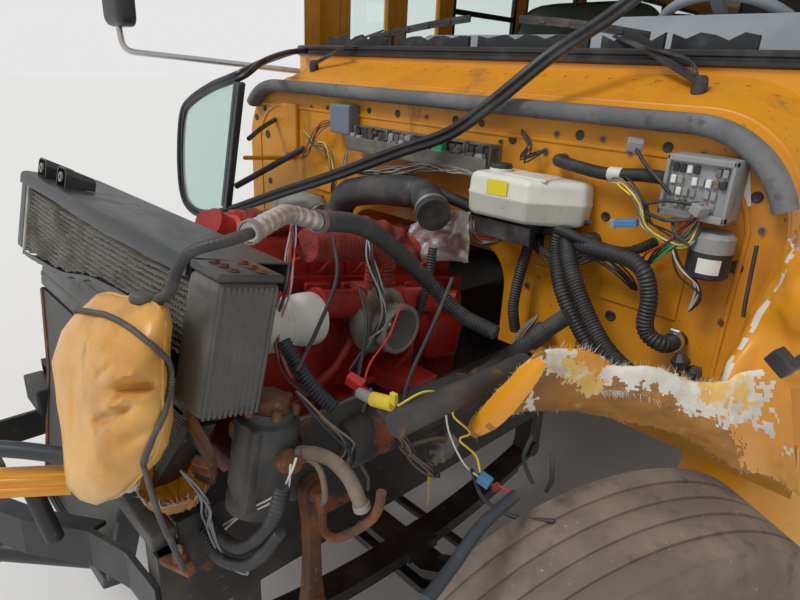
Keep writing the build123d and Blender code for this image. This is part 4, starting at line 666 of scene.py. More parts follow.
def markSharp(mesh, degrees):
    # smooth faces keep a crease where they meet at more than this angle
    work = bmesh.new()
    work.from_mesh(mesh)
    limit = math.radians(degrees)
    for edge in work.edges:
        edge.smooth = len(edge.link_faces) == 2 and edge.calc_face_angle(0) < limit
    work.to_mesh(mesh)
    work.free()


def settle(piece, body, replaces=()):
    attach(piece, body)
    if replaces:
        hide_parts(*replaces)
    return piece


# Geometry Nodes trees, made once each: ribbed hoses, swept lines and things set on points


def newTree(name, inputs):
    tree = bpy.data.node_groups.new(name, "GeometryNodeTree")
    tree.interface.new_socket("Geometry", in_out="INPUT", socket_type="NodeSocketGeometry")
    for label, kind, value in inputs:
        socket = tree.interface.new_socket(label, in_out="INPUT", socket_type="NodeSocket" + kind)
        if value is not None:
            socket.default_value = value
    tree.interface.new_socket("Geometry", in_out="OUTPUT", socket_type="NodeSocketGeometry")
    tree.nodes.new("NodeGroupInput").name = "given"
    tree.nodes.new("NodeGroupOutput").name = "result"
    return tree


def wire(tree, *pairs):
    for source, target in pairs:
        tree.links.new(source, target)


def finishTree(tree, geometry):
    given, result = tree.nodes["given"], tree.nodes["result"]
    realise = tree.nodes.new("GeometryNodeRealizeInstances")
    paint = tree.nodes.new("GeometryNodeSetMaterial")
    wire(tree, (geometry, realise.inputs[0]), (realise.outputs[0], paint.inputs["Geometry"]),
         (given.outputs["Finish"], paint.inputs["Material"]), (paint.outputs[0], result.inputs[0]))


def math2(tree, operation, a, b=None):
    made = addNode(tree, "ShaderNodeMath", operation=operation)
    for socket, value in zip(made.inputs, (a, b)):
        if hasattr(value, "is_output"):
            tree.links.new(value, socket)
        elif value is not None:
            socket.default_value = value
    return made.outputs[0]


def hoseTree():
    tree = newTree("ribbedHose",
                   [("Radius", "Float", 0.02), ("Pitch", "Float", 0.008), ("Depth", "Float", 0.12),
                                  ("Sides", "Int", 14), ("Finish", "Material", None)])
    given = tree.nodes["given"]
    toCurve = tree.nodes.new("GeometryNodeMeshToCurve")
    even = addNode(tree, "GeometryNodeResampleCurve", mode="LENGTH")
    along = tree.nodes.new("GeometryNodeSplineParameter")
    ring = tree.nodes.new("GeometryNodeCurvePrimitiveCircle")
    body = tree.nodes.new("GeometryNodeCurveToMesh")
    body.inputs["Fill Caps"].default_value = True
    turns = math2(tree, "DIVIDE", along.outputs["Length"], given.outputs["Pitch"])
    wave = math2(tree, "SINE", math2(tree, "MULTIPLY", turns, 2 * math.pi))
    size = math2(tree, "ADD", math2(tree, "MULTIPLY", wave, given.outputs["Depth"]), 1.0)
    wire(tree, (given.outputs["Geometry"], toCurve.inputs[0]), (toCurve.outputs[0], even.inputs[0]),
         (even.outputs[0], body.inputs["Curve"]), (given.outputs["Radius"], ring.inputs["Radius"]),
         (given.outputs["Sides"], ring.inputs["Resolution"]), (ring.outputs[0], body.inputs["Profile Curve"]),
         (size, body.inputs["Scale"]))
    wire(tree, (math2(tree, "DIVIDE", given.outputs["Pitch"], 6.0), even.inputs["Length"]))
    smooth = tree.nodes.new("GeometryNodeSetShadeSmooth")
    wire(tree, (body.outputs[0], smooth.inputs[0]))
    finishTree(tree, smooth.outputs[0])
    return tree


def scatterTree():
    # sets a copy of one small shape on every point, its Z along the point's aim,
    # turned and sized a little at random
    tree = newTree("setOnPoints",
                   [("Copy", "Object", None), ("Smallest", "Float", 1.0), ("Largest", "Float", 1.0),
                                   ("Turn", "Float", 6.28), ("Seed", "Int", 3), ("Finish", "Material", None)])
    given = tree.nodes["given"]
    aim = addNode(tree, "GeometryNodeInputNamedAttribute", data_type="FLOAT_VECTOR")
    aim.inputs["Name"].default_value = "aim"
    copy = tree.nodes.new("GeometryNodeObjectInfo")
    align = tree.nodes.new("FunctionNodeAlignRotationToVector")
    align.axis = "Z"
    number = tree.nodes.new("GeometryNodeInputIndex")
    size = addNode(tree, "FunctionNodeRandomValue", data_type="FLOAT")
    spin = addNode(tree, "FunctionNodeRandomValue", data_type="FLOAT")
    floats = [s for s in size.inputs if s.type == "VALUE"]
    spinFloats = [s for s in spin.inputs if s.type == "VALUE"]
    spinFloats[0].default_value = 0
    place = tree.nodes.new("GeometryNodeInstanceOnPoints")
    euler = tree.nodes.new("FunctionNodeEulerToRotation")
    vector = tree.nodes.new("ShaderNodeCombineXYZ")
    rotate = tree.nodes.new("FunctionNodeRotateRotation")
    rotate.rotation_space = "LOCAL"
    wire(tree, (given.outputs["Copy"], copy.inputs["Object"]),
         (aim.outputs["Attribute"], align.inputs["Vector"]),
         (given.outputs["Smallest"], floats[0]), (given.outputs["Largest"], floats[1]),
         (given.outputs["Turn"], spinFloats[1]), (given.outputs["Seed"], size.inputs["Seed"]),
         (given.outputs["Seed"], spin.inputs["Seed"]), (number.outputs[0], size.inputs["ID"]),
         (number.outputs[0], spin.inputs["ID"]), (spin.outputs[1], vector.inputs[2]),
         (vector.outputs[0], euler.inputs[0]), (align.outputs[0], rotate.inputs["Rotation"]),
         (euler.outputs[0], rotate.inputs["Rotate By"]), (given.outputs["Geometry"], place.inputs["Points"]),
         (copy.outputs["Geometry"], place.inputs["Instance"]), (rotate.outputs[0], place.inputs["Rotation"]),
         (size.outputs[1], place.inputs["Scale"]))
    finishTree(tree, place.outputs[0])
    return tree


def lineTree():
    # sweeps a flat or round section along every line of a mesh
    tree = newTree("sweptLines", [("Width", "Float", 0.002), ("Height", "Float", 0.002), ("Sides", "Int", 6),
                                  ("Finish", "Material", None)])
    given = tree.nodes["given"]
    toCurve = tree.nodes.new("GeometryNodeMeshToCurve")
    ring = tree.nodes.new("GeometryNodeCurvePrimitiveCircle")
    shape = tree.nodes.new("GeometryNodeTransform")
    body = tree.nodes.new("GeometryNodeCurveToMesh")
    body.inputs["Fill Caps"].default_value = True
    sizes = tree.nodes.new("ShaderNodeCombineXYZ")
    sizes.inputs[2].default_value = 1
    wire(tree, (given.outputs["Geometry"], toCurve.inputs[0]), (toCurve.outputs[0], body.inputs["Curve"]),
         (given.outputs["Sides"], ring.inputs["Resolution"]), (given.outputs["Width"], sizes.inputs[0]),
         (given.outputs["Height"], sizes.inputs[1]), (ring.outputs[0], shape.inputs["Geometry"]),
         (sizes.outputs[0], shape.inputs["Scale"]), (shape.outputs[0], body.inputs["Profile Curve"]))
    ring.inputs["Radius"].default_value = 1
    smooth = tree.nodes.new("GeometryNodeSetShadeSmooth")
    wire(tree, (body.outputs[0], smooth.inputs[0]))
    finishTree(tree, smooth.outputs[0])
    return tree


trees = {"hose": hoseTree(), "scatter": scatterTree(), "lines": lineTree()}


def grow(name, treeName, mesh, finish, body="bus_body", slot=None, replaces=(), edge=None, **inputs):
    # runs one tree on a carrier mesh and keeps its result as a plain mesh
    carrier = bpy.data.objects.new(name + "Carrier", mesh)
    bpy.context.scene.collection.objects.link(carrier)
    modifier = carrier.modifiers.new("grow", "NODES")
    modifier.node_group = trees[treeName]
    keys = {s.name: s.identifier for s in trees[treeName].interface.items_tree if s.in_out == "INPUT"}
    modifier[keys["Finish"]] = materials[finish]
    for label, value in inputs.items():
        modifier[keys[label]] = value
    carrier.update_tag()
    bpy.context.view_layer.update()
    view = bpy.context.evaluated_depsgraph_get()
    made = bpy.data.meshes.new_from_object(carrier.evaluated_get(view), depsgraph=view)
    bpy.data.objects.remove(carrier)
    made.name = name
    piece = bpy.data.objects.new(name, made)
    bpy.context.scene.collection.objects.link(piece)
    if edge:
        markSharp(made, edge)
    return settle(piece, body, replaces)


def lineMesh(lines, place=None):
    mesh = bpy.data.meshes.new("lines")
    corners, edges = [], []
    for line in lines:
        start = len(corners)
        corners += [place @ Vector(p) if place else Vector(p) for p in line]
        edges += [(start + i, start + i + 1) for i in range(len(line) - 1)]
    mesh.from_pydata(corners, edges, [])
    return mesh


def pointMesh(points, aims, place=None):
    mesh = bpy.data.meshes.new("points")
    turn = place.to_3x3() if place else None
    mesh.from_pydata([place @ Vector(p) if place else Vector(p) for p in points], [], [])
    aim = mesh.attributes.new("aim", "FLOAT_VECTOR", "POINT")
    flat = []
    for a in aims:
        flat += list(turn @ Vector(a) if place else Vector(a))
    aim.data.foreach_set("vector", flat)
    return mesh


def ribbedHose(name, points, radius, finish, pitch=0.008, depth=0.1, body="bus_body", slot=None, replaces=(),
               place=None, sides=14):
    return grow(name, "hose", lineMesh([smoothPath(points, 0.01)], place), finish, body, slot, replaces,
                Radius=radius, Pitch=pitch, Depth=depth, Sides=sides)


def smallShape(name, build):
    # a hidden source shape for the scatter tree, kept out of the scene
    shape = Shape()
    build(shape)
    return bpy.data.objects.new(name, shape.mesh(name))


def boltHead(shape):
    hexagon = [(0.5 * math.cos(math.radians(60 * k)), 0.5 * math.sin(math.radians(60 * k))) for k in range(6)]
    shape.prism(hexagon, 0.06, 0.36, "castGrey", axis="Z")
    shape.lathe([(0, 0.0), (0.68, 0.0), (0.68, 0.07), (0.5, 0.09), (0, 0.09)], (0, 0, 0), (0, 0, 1),
                "castGrey", sides=12)


def rivetHead(shape):
    shape.lathe([(0.5, 0.0), (0.46, 0.14), (0.3, 0.24), (0, 0.28)], (0, 0, 0), (0, 0, 1), "castGrey", sides=8)


smallShapes = {
    "bolt": smallShape("boltSource", boltHead),
    "rivet": smallShape("rivetSource", rivetHead),
}


def scatter(name, kind, points, aims, size, finish, body="bus_body", slot=None, place=None, spread=0.0,
            turn=6.28, seed=3):
    return grow(name, "scatter", pointMesh(points, aims, place), finish, body, slot, Copy=smallShapes[kind],
                Smallest=size * (1 - spread), Largest=size * (1 + spread), Turn=turn, Seed=seed)


makeCamera()
makeStudio()
dressNodes()
print("stage: camera, studio and node finishes")

# cooling pack and what leans on it

amberTank = {
    "outline": [(0.43, -0.076), (0.33, -0.1), (0.226, -0.154), (0.15, -0.262), (0.165, -0.36),
                (0.225, -0.432),
                (0.316, -0.47), (0.42, -0.462), (0.52, -0.41), (0.595, -0.33), (0.63, -0.24), (0.622, -0.15),
                (0.575, -0.085), (0.51, -0.066)],
    "sides": 150, "halfDepth": 0.0592, "roundness": 0.0775,
    # across and up of the tank's middle as the camera sees it, one metre off
    "seenAt": (-0.475, -0.1617),
    "seenBefore": (0.0025, -0.01, 0.1275, 0.1867),
    # the squeezed outline about that middle
    "squeezed": [(-0.056, 0.1425), (-0.031, 0.17), (-0.003, 0.176), (0.03, 0.172), (0.058, 0.164),
                 (0.084, 0.142),
                 (0.09, 0.112), (0.0875, 0.078), (0.094, 0.032), (0.0985, -0.037), (0.091, -0.08),
                 (0.075, -0.108), (0.046, -0.135), (0.0075, -0.163), (-0.03, -0.177), (-0.058, -0.169),
                 (-0.08, -0.149), (-0.086, -0.118), (-0.09, -0.065), (-0.099, -0.013), (-0.103, 0.057),
                 (-0.086, 0.105)],
    # across, up, half length, half height, depth and lean in degrees
    "dents": [(0.022, 0.012, 0.04, 0.0105, 0.03, 8), (0.018, -0.0085, 0.046, 0.005, -0.009, 15),
              (-0.004, -0.03, 0.04, 0.01, 0.016, 27), (0.035, -0.066, 0.03, 0.01, 0.009, 27),
              (-0.018, 0.046, 0.022, 0.0045, 0.006, 40), (0.024, 0.034, 0.04, 0.008, -0.006, 4),
              (-0.045, -0.01, 0.008, 0.075, -0.007, 2), (-0.068, -0.02, 0.01, 0.06, 0.006, 0)],
    "lumps": 0.005,
}
tankSurface = {}


def squeezedReach(angle):
    # distance from the middle to the squeezed outline along an angle of the first outline
    points = amberTank["squeezed"]
    wide, high = amberTank["seenBefore"][2:]
    ray = Vector((math.cos(angle) * wide, math.sin(angle) * high))
    for p, q in zip(points, points[1:] + points[:1]):
        p, q = Vector(p), Vector(q)
        edge = q - p
        cross = ray.x * edge.y - ray.y * edge.x
        if abs(cross) < 1e-9:
            continue
        t = (p.x * edge.y - p.y * edge.x) / cross
        s = (p.x * ray.y - p.y * ray.x) / cross
        if t > 0 and -1e-6 <= s <= 1 + 1e-6:
            return ray * t
    return ray


def makeAmberTank():
    facts = amberTank
    rim = smoothPath([(x, 0, z) for x, z in facts["outline"]], 0.004, closed=True)
    sides = facts["sides"]
    rim = [rim[int(i * (len(rim) - 1) / sides)] for i in range(sides)]
    middle = sum(rim, Vector()) / sides
    # share of the outline and depth of each ring, front to back
    steep = math.asin(facts["halfDepth"] / facts["roundness"])
    edge = math.cos(steep)
    rings = [(edge * k / 24, -facts["halfDepth"] - 0.002 + 0.002 * (k / 24) ** 2) for k in range(1, 24)]
    rings += [(math.cos(steep * k / 13), facts["roundness"] * math.sin(steep * k / 13)) for k in range(-13,
                                                                                                       14)]
    rings += [(edge * k / 4, facts["halfDepth"]) for k in (3, 2, 1)]
    eye = Vector(viewSetup["place"])
    across, upward = Vector(viewSetup["right"]), Vector(viewSetup["up"])
    push = -Vector(viewSetup["back"])
    sideways = packPlace.to_3x3() @ Vector((1, 0, 0))
    lengthways = packPlace.to_3x3() @ Vector((0, 0, 1))
    unplace = packPlace.inverted()
    atA, atB = facts["seenAt"]
    midA, midB, wide, high = facts["seenBefore"]
    reaches = [squeezedReach(2 * math.pi * k / 360 - math.pi) for k in range(361)]

    def shaped(p):
        # slides a place within its own layer until it is seen where the squeezed tank is
        world = packPlace @ p
        away = world - eye
        deep = away.dot(push)
        a, b = away.dot(across) / deep - atA - midA, away.dot(upward) / deep - atB - midB
        share = math.hypot(a / wide, b / high)
        turn = (math.atan2(b / high, a / wide) + math.pi) / (2 * math.pi) * 360
        k = min(int(turn), 359)
        reach = reaches[k].lerp(reaches[k + 1], turn - k)
        goalA, goalB = atA + reach.x * share, atB + reach.y * share
        m11, m12 = (v.dot(across) - goalA * v.dot(push) for v in (sideways, lengthways))
        m21, m22 = (v.dot(upward) - goalB * v.dot(push) for v in (sideways, lengthways))
        r1, r2 = goalA * deep - away.dot(across), goalB * deep - away.dot(upward)
        whole = m11 * m22 - m12 * m21
        world = (world + sideways * ((r1 * m22 - r2 * m12) / whole)
                 + lengthways * ((m11 * r2 - m21 * r1) / whole))
        local = unplace @ world
        if p.y < -0.03:
            depth = 0.0
            for u, v, long, tall, dent, lean in facts["dents"]:
                angle = math.radians(lean)
                x, y = goalA - atA - u, goalB - atB - v
                s = (x * math.cos(angle) + y * math.sin(angle)) / long
                t = (-x * math.sin(angle) + y * math.cos(angle)) / tall
                depth += dent * math.exp(-s ** 4) * math.exp(-t * t)
            local = unplace @ (packPlace @ local + push * depth)
        soft = noise.noise(local * 7) * 0.65 + noise.noise(local * 16) * 0.35
        inward = (middle + Vector((0, -0.06, 0)) - local).normalized()
        q = local + inward * facts["lumps"] * (0.5 - soft)
        return Vector((q.x, min(max(q.y, -0.1195), -0.0004), q.z))

    corners, faces = [], []
    for share, depth in rings:
        corners += [shaped(middle + (p - middle) * share + Vector((0, depth - 0.06, 0))) for p in rim]
    for i in range(len(rings) - 1):
        for m in range(sides):
            n = (m + 1) % sides
            faces.append((i * sides + m, (i + 1) * sides + m, (i + 1) * sides + n, i * sides + n))
    for ring, y in ((0, -facts["halfDepth"] - 0.002), (len(rings) - 1, facts["halfDepth"])):
        tip = len(corners)
        corners.append(shaped(middle + Vector((0, y - 0.06, 0))))
        for m in range(sides):
            faces.append((ring * sides + m, ring * sides + (m + 1) % sides, tip))
    tankSurface["tree"] = BVHTree.FromPolygons([packPlace @ c for c in corners], faces)
    shape = Shape()
    shape.add(corners, faces, "amberPlastic", packPlace)
    # seam round the moulding, neck and cap
    seam = [shaped(middle + (p - middle) * 0.999 + Vector((0, -0.06, 0))) for p in rim[::3]]
    shape.tube(seam, ringProfile(0.0032, 6), "amberPlastic", packPlace, closed=True)
    shape.lathe([(0, 0), (0.024, 0), (0.024, 0.03), (0.021, 0.034), (0.021, 0.046), (0, 0.046)],
                (0.49, -0.06, -0.105), (-0.1, 0, 1), "amberPlastic", packPlace)
    shape.lathe([(0, 0.034), (0.022, 0.034), (0.024, 0.038), (0.024, 0.046), (0.02, 0.05), (0, 0.05)],
                (0.49, -0.06, -0.105), (-0.1, 0, 1), "cableGrey", packPlace)
    shape.done("amberTank", replaces=["coolant_tank"], edge=60)


makeAmberTank()

# ribbed cable over the tank: across and up from the tank's middle as the camera sees it
tankCable = {
    "before": [(0.015, -0.012, -0.285), (0.086, -0.022, -0.243), (0.15, -0.04, -0.205)],
    "seen": [(-0.077, 0.14), (-0.058, 0.1425), (-0.03, 0.1385), (-0.003, 0.131), (0.035, 0.109),
             (0.0725, 0.075),
             (0.0865, 0.052), (0.0885, 0.024), (0.08, -0.023), (0.0635, -0.064), (0.052, -0.092),
             (0.047, -0.112)],
    "after": [(0.64, -0.075, -0.33), (0.648, -0.05, -0.385), (0.655, -0.03, -0.43)],
    "radius": 0.0043,
}


def makeTankCable():
    facts = tankCable
    eye = Vector(viewSetup["place"])
    over = []
    for a, b, flat in smoothPath([(a, b, 0) for a, b in facts["seen"]], 0.008):
        ray = (Vector(viewSetup["right"]) * (a + amberTank["seenAt"][0])
               + Vector(viewSetup["up"]) * (b + amberTank["seenAt"][1])
               - Vector(viewSetup["back"])).normalized()
        hit, normal, index, away = tankSurface["tree"].ray_cast(eye, ray)
        if hit:
            over.append(hit + (normal if normal.dot(ray) < 0 else -normal) * facts["radius"] - ray * 0.002)
    path = ([packPlace @ Vector(p) for p in facts["before"]] + over
            + [packPlace @ Vector(p) for p in facts["after"]])
    grow("tankCable", "hose", lineMesh([smoothPath(path, 0.006)]), "cableGrey", slot="hose_rubber",
         Radius=facts["radius"], Pitch=0.0042, Depth=0.12, Sides=10)


makeTankCable()

chargeCooler = {
    "right": -0.4,
    # x, z along the torn lower edge
    "tornEdge": [(-0.4, -0.195), (-0.3, -0.188), (-0.1, -0.172), (0.05, -0.142), (0.14, -0.13), (0.28, -0.12),
                 (0.36, -0.128), (0.42, -0.15), (0.48, -0.185)],
    "barPitch": 0.0105, "barHeight": 0.0032, "barDepth": 0.029,
    "firstBar": -0.036, "lastBar": -0.195, "sag": 0.01,
    "columns": 89, "columnPitch": 0.0099, "span": 0.88,
    "seed": 4,
}


def coolerBulge(x, z):
    # how far the crash pushed the core back at a place
    return 0.01 * noise.noise(Vector((x * 5, 0, z * 12))) + 0.004 * noise.noise(Vector((x * 23, 4, z * 30)))


def tornZ(x):
    edge = chargeCooler["tornEdge"]
    for (x0, z0), (x1, z1) in zip(edge, edge[1:]):
        if x0 <= x <= x1:
            return z0 + (z1 - z0) * (x - x0) / (x1 - x0)
    return edge[-1][1]


def makeChargeCooler():
    facts = chargeCooler
    bars = []
    z = facts["firstBar"]
    dice = random.Random(facts["seed"])
    while z > facts["lastBar"]:
        line = []
        for i in range(facts["columns"]):
            x = facts["right"] + 0.004 + i * facts["columnPitch"]
            along = (x - facts["right"]) / facts["span"]
            dip = facts["sag"] * math.sin(along * math.pi) + 0.002 * noise.noise(Vector((x * 14, z * 40, 1)))
            if z - dip > tornZ(x) + 0.004:
                line.append((x, 0.03 + coolerBulge(x, z) * 0.4, z - dip))
            else:
                if len(line) > 3:
                    bars.append(line)
                line = []
        if len(line) > 3:
            bars.append(line)
        z -= facts["barPitch"]
    grow("coolerBars", "lines", lineMesh(bars, packPlace), "alloyCore", slot="alloy_core",
         Width=facts["barHeight"], Height=facts["barDepth"], Sides=8)
    shape = Shape()
    # folded fins between the bars
    for upper in bars:
        line = []
        for i in range(len(upper) * 2 - 1):
            a = Vector(upper[i // 2])
            b = Vector(upper[min(i // 2 + 1, len(upper) - 1)])
            p = a.lerp(b, 0.5 * (i % 2))
            deep = p.z - (0.003 if i % 2 else facts["barPitch"] - 0.003) + dice.uniform(-0.0008, 0.0008)
            line.append((p.x, deep))
        strip = [[(x, 0.003 + coolerBulge(x, z) * 0.4 + dice.uniform(0, 0.003), z) for x, z in line],
                 [(x, 0.056, z) for x, z in line]]
        strip = [[p for p in row if p[2] > tornZ(p[0]) - 0.002] for row in strip]
        if len(strip[0]) > 2 and len(strip[0]) == len(strip[1]):
            shape.sheet(strip, "coreFins", 0.0006, packPlace)
    # pale side strip at the right end and a ragged lip under the core
    shape.block((facts["right"] - 0.003, 0.0, -0.196), (facts["right"] + 0.012, 0.058, -0.02), "alloyCore",
                0.003, packPlace)
    wave = smoothPath([(x, 0, z) for x, z in facts["tornEdge"]], 0.012)
    shape.sheet([[(p.x, 0.002, p.z - 0.002) for p in wave],
                 [(p.x, 0.002, p.z - 0.012 - 0.008 * noise.noise(Vector((p.x * 20, 0, 0)))) for p in wave],
                 [(p.x, 0.03, p.z - 0.016) for p in wave], [(p.x, 0.058, p.z - 0.01) for p in wave]],
                "packBlack", 0.002, packPlace)
    # sheet over the top with its rolled front lip, and the back lip
    top = []
    for i in range(60):
        x = -0.46 + i * (0.9403 / 59)
        low = 0.0015 * noise.noise(Vector((x * 9, 2, 0)))
        top.append([(x, -0.0, -0.03), (x, 0.0, -0.01), (x, 0.004, -0.003 + low), (x, 0.012, -0.001 + low),
                    (x, 0.05, -0.0015), (x, 0.1, -0.004 + low), (x, 0.15, -0.003), (x, 0.186, -0.002),
                    (x, 0.189, -0.008), (x, 0.189, -0.055)])
    shape.sheet(top, "packBlack", 0.0028, packPlace)
    shape.block((-0.46, 0.004, -0.034), (0.48, 0.05, -0.006), "packBlack", 0.004, packPlace)
    # two holed brackets and their bolts
    for x in (-0.4, -0.25):
        shape.sheet([[(x, 0.022, 0.0), (x, 0.022, 0.036), (x + 0.012, 0.022, 0.044), (x + 0.05, 0.022, 0.044),
                      (x + 0.06, 0.022, 0.03), (x + 0.06, 0.022, 0.0)],
                     [(x, 0.089, 0.0), (x, 0.089, 0.02), (x + 0.012, 0.089, 0.026), (x + 0.05, 0.089, 0.026),
                      (x + 0.06, 0.089, 0.018), (x + 0.06, 0.089, 0.0)]], "packBlack", 0.004, packPlace)
        shape.lathe([(0.006, 0), (0.012, 0), (0.012, 0.004), (0.006, 0.004), (0.006, 0)],
                    (x + 0.03, 0.019, 0.022), (0, 1, 0), "castGrey", packPlace, 16)
    # end tank with its flange on top
    shape.block((0.4803, 0.0, -0.238), (0.574, 0.119, -0.012), "endTank", 0.022, packPlace, 3, True)
    shape.block((0.4806, 0.002, -0.014), (0.5745, 0.118, -0.0005), "packBlack", 0.004, packPlace)
    for i in range(11):
        shape.block((0.572, 0.008 + i * 0.0095, -0.235), (0.5755, 0.0135 + i * 0.0095, -0.02), "endTank",
                    0.0015, packPlace, 1)
    # the far tank's black casting with its bent hook
    shape.block((-0.4598, 0.001, -0.2), (-0.402, 0.058, -0.001), "packBlack", 0.014, packPlace, 3, True)
    shape.pipe([(-0.455, 0.03, -0.04), (-0.459, 0.03, -0.1), (-0.452, 0.03, -0.16), (-0.43, 0.03, -0.195)],
               0.012, "packBlack", packPlace)
    shape.done("coolerCore", replaces=["charge_cooler"])
    bolts = [(0.5 + 0.028 * i, 0.035 + 0.05 * j, 0.0) for i in range(3) for j in range(2)]
    scatter("coolerBolts", "bolt", bolts, [(0, 0, 1)] * 6, 0.014, "rustyIron", slot="alloy_core",
            place=packPlace)


makeChargeCooler()

radiatorFacts = {
    "core": [(-0.44, -0.31), (0.44, -0.31), (0.33, -0.5), (0.215, -0.575), (0.19, -0.8), (-0.26, -0.8),
             (-0.325, -0.5)],
    "rustyBar": ((-0.44, -0.31), (-0.325, -0.5), (-0.26, -0.8)),
    "blackBar": ((0.44, -0.31), (0.33, -0.5), (0.215, -0.575), (0.19, -0.8)),
}


def makeRadiator():
    shape = Shape()
    shape.block((-0.458, 0.062, -0.308), (0.458, 0.144, -0.112), "packBlack", 0.02, packPlace, 3, True)
    for z in (-0.15, -0.21, -0.27):
        shape.block((-0.45, 0.0612, z - 0.006), (0.45, 0.064, z + 0.006), "packBlack", 0.001, packPlace)
    shape.prism(radiatorFacts["core"], 0.066, 0.114, "meshCore", "Y", packPlace)
    # side bars, the one on the bus's right rusty
    for bar, finish in (("rustyBar", "rustyIron"), ("blackBar", "packBlack")):
        shape.tube([(x, 0.088, z) for x, z in radiatorFacts[bar]], flatBar(0.026, 0.009), finish, packPlace,
                   smooth=False)
    shape.block((-0.3, 0.057, -0.829), (0.189, 0.12, -0.8), "packBlack", 0.006, packPlace)
    shape.block((-0.43, -5.0902, 0.852), (-0.302, -5.0412, 0.928), "packBlack", 0.006)
    shape.block((0.222, -5.0902, 0.915), (0.43, -5.0412, 0.951), "packBlack", 0.006)
    shape.done("radiatorBody", replaces=["radiator"])


makeRadiator()


def makeAirDuct():
    shape = Shape()
    start, end = Vector((0.3, -4.97, 1.262)), Vector((0.3, -4.63, 1.226))
    axis = end - start
    profile = [(0.053, 0.13), (0.0605, 0.13), (0.0605, 0.235), (0.0545, 0.245), (0.0545, 0.25),
               (0.0575, 0.253),
               (0.0575, 0.262), (0.0545, 0.266), (0.0545, 0.29), (0.06, 0.297), (0.061, 0.305),
               (0.061, 0.335), (0.058, 0.341), (0.053, 0.341), (0.053, 0.13)]
    shape.lathe(profile, start, axis, "ductWhite", sides=40)
    shape.done("airDuct", replaces=["air_duct"])


makeAirDuct()

# tyres: a worn section turned round each wheel's axle

tyreFacts = {
    "radius": 0.52, "treadHalf": 0.109, "bead": 0.292,
    "grooves": (-0.066, -0.022, 0.022, 0.066), "grooveWide": 0.0045, "grooveDeep": 0.006,
    "sides": 120,
}


def tyreSection():
    r, tread = tyreFacts["radius"], tyreFacts["treadHalf"]
    section = [(tyreFacts["bead"], -0.105), (0.3, -0.118), (0.345, -0.132), (0.4, -0.1395), (0.44, -0.138),
               (0.475, -0.131), (0.493, -0.124), (0.503, -0.118), (0.509, -0.112), (r - 0.002, -tread)]
    deep, wide = tyreFacts["grooveDeep"], tyreFacts["grooveWide"]
    for x in tyreFacts["grooves"]:
        section += [(r - 0.0004, x - wide - 0.002), (r - 0.0012, x - wide), (r - deep, x - wide * 0.6),
                    (r - deep, x + wide * 0.6), (r - 0.0012, x + wide), (r - 0.0004, x + wide + 0.002)]
    back = [(radius, -x) for radius, x in reversed(section[:10])]
    inner = [(0.3, 0.095), (0.33, 0.085), (0.33, -0.085), (0.3, -0.095), (tyreFacts["bead"], -0.105)]
    return section + back + inner


def makeTyre(name, node, body, centres, axis):
    shape = Shape()
    for centre in centres:
        shape.lathe(tyreSection(), centre, axis, "tyreRubber", sides=tyreFacts["sides"])
    shape.done(name, body, [node], edge=28)


steer, lean = math.radians(23), math.radians(5)
leftAxle = Vector((math.cos(steer) * math.cos(lean), -math.sin(steer) * math.cos(lean), -math.sin(lean)))
rightAxle = Vector((-math.cos(steer), math.sin(steer), 0))
leftLift = 0.52 * math.cos(lean) + (0.109 - 0.014) * math.sin(lean)
leftCentre = Vector((0.882 + 0.15 * math.cos(steer), kingpinY - 0.15 * math.sin(steer), leftLift))
rightCentre = Vector((-0.882 - 0.15 * math.cos(steer), kingpinY + 0.15 * math.sin(steer), 0.52))

makeTyre("frontTyreLeft", "tyre_front_left", "front_wheel_left", [leftCentre], leftAxle)
makeTyre("frontTyreRight", "tyre_front_right", "front_wheel_right", [rightCentre], rightAxle)
for side, word in ((1, "left"), (-1, "right")):
    centres = [(side * x, rearAxleY, 0.52) for x in (1.07, 0.735)]
    makeTyre("rearTyres" + word.capitalize(), "tyres_rear_" + word, "rear_wheels_" + word, centres,
             (side, 0, 0))
print("stage: cooling pack and tyres")

# windscreen rubber, seal and the trims of the cowl

rubberRun = {
    "path": [(-0.972, -3.732, 1.832), (-0.9, -3.88, 1.812), (-0.712, -4.12, 1.772), (-0.66, -4.225, 1.733),
             (-0.72, -4.25, 1.708), (-0.853, -4.25, 1.677), (-1.024, -4.25, 1.618), (-1.108, -4.25, 1.556),
             (-1.158, -4.25, 1.398), (-1.166, -4.25, 1.248), (-1.118, -4.25, 1.182), (-0.998, -4.25, 1.169),
             (-0.784, -4.25, 1.221), (-0.521, -4.18, 1.33), (-0.254, -4.15, 1.429), (0.033, -4.12, 1.544),
             (0.189, -4.08, 1.61), (0.325, -4.065, 1.706), (0.428, -3.995, 1.818), (0.508, -3.9, 1.907),
             (0.57, -3.84, 1.98), (0.72, -3.73, 2.16), (0.86, -3.6, 2.4175)],
    "ridged": [(-0.0185, -0.004), (-0.016, -0.0095), (-0.006, -0.011), (0, -0.0065), (0.006, -0.011),
               (0.016, -0.0095), (0.0185, -0.004), (0.0185, 0.005), (0.0145, 0.0105), (0.006, 0.011),
               (0.0, 0.005), (-0.006, 0.011), (-0.0145, 0.0105), (-0.0185, 0.005)],
    "facing": (0.35, -0.85, 0.3),
    # section of the band under the windscreen: outwards and up from its middle
    "band": [(-0.0235, -0.0205), (0.019, -0.0205), (0.0235, -0.016), (0.0235, -0.007), (0.018, -0.0025),
             (0.018, 0.0015), (0.0235, 0.006), (0.0235, 0.015), (0.019, 0.0195), (0.008, 0.0205),
             (0.003, 0.0165), (-0.002, 0.0205), (-0.0235, 0.0205)],
    "bandZ": 1.8312, "bandRadius": 0.308,
}


def cornerArc(centre, radius, start, end, count):
    return [(centre[0] + radius * math.cos(math.radians(start + (end - start) * i / count)),
             centre[1] + radius * math.sin(math.radians(start + (end - start) * i / count)))
            for i in range(count + 1)]


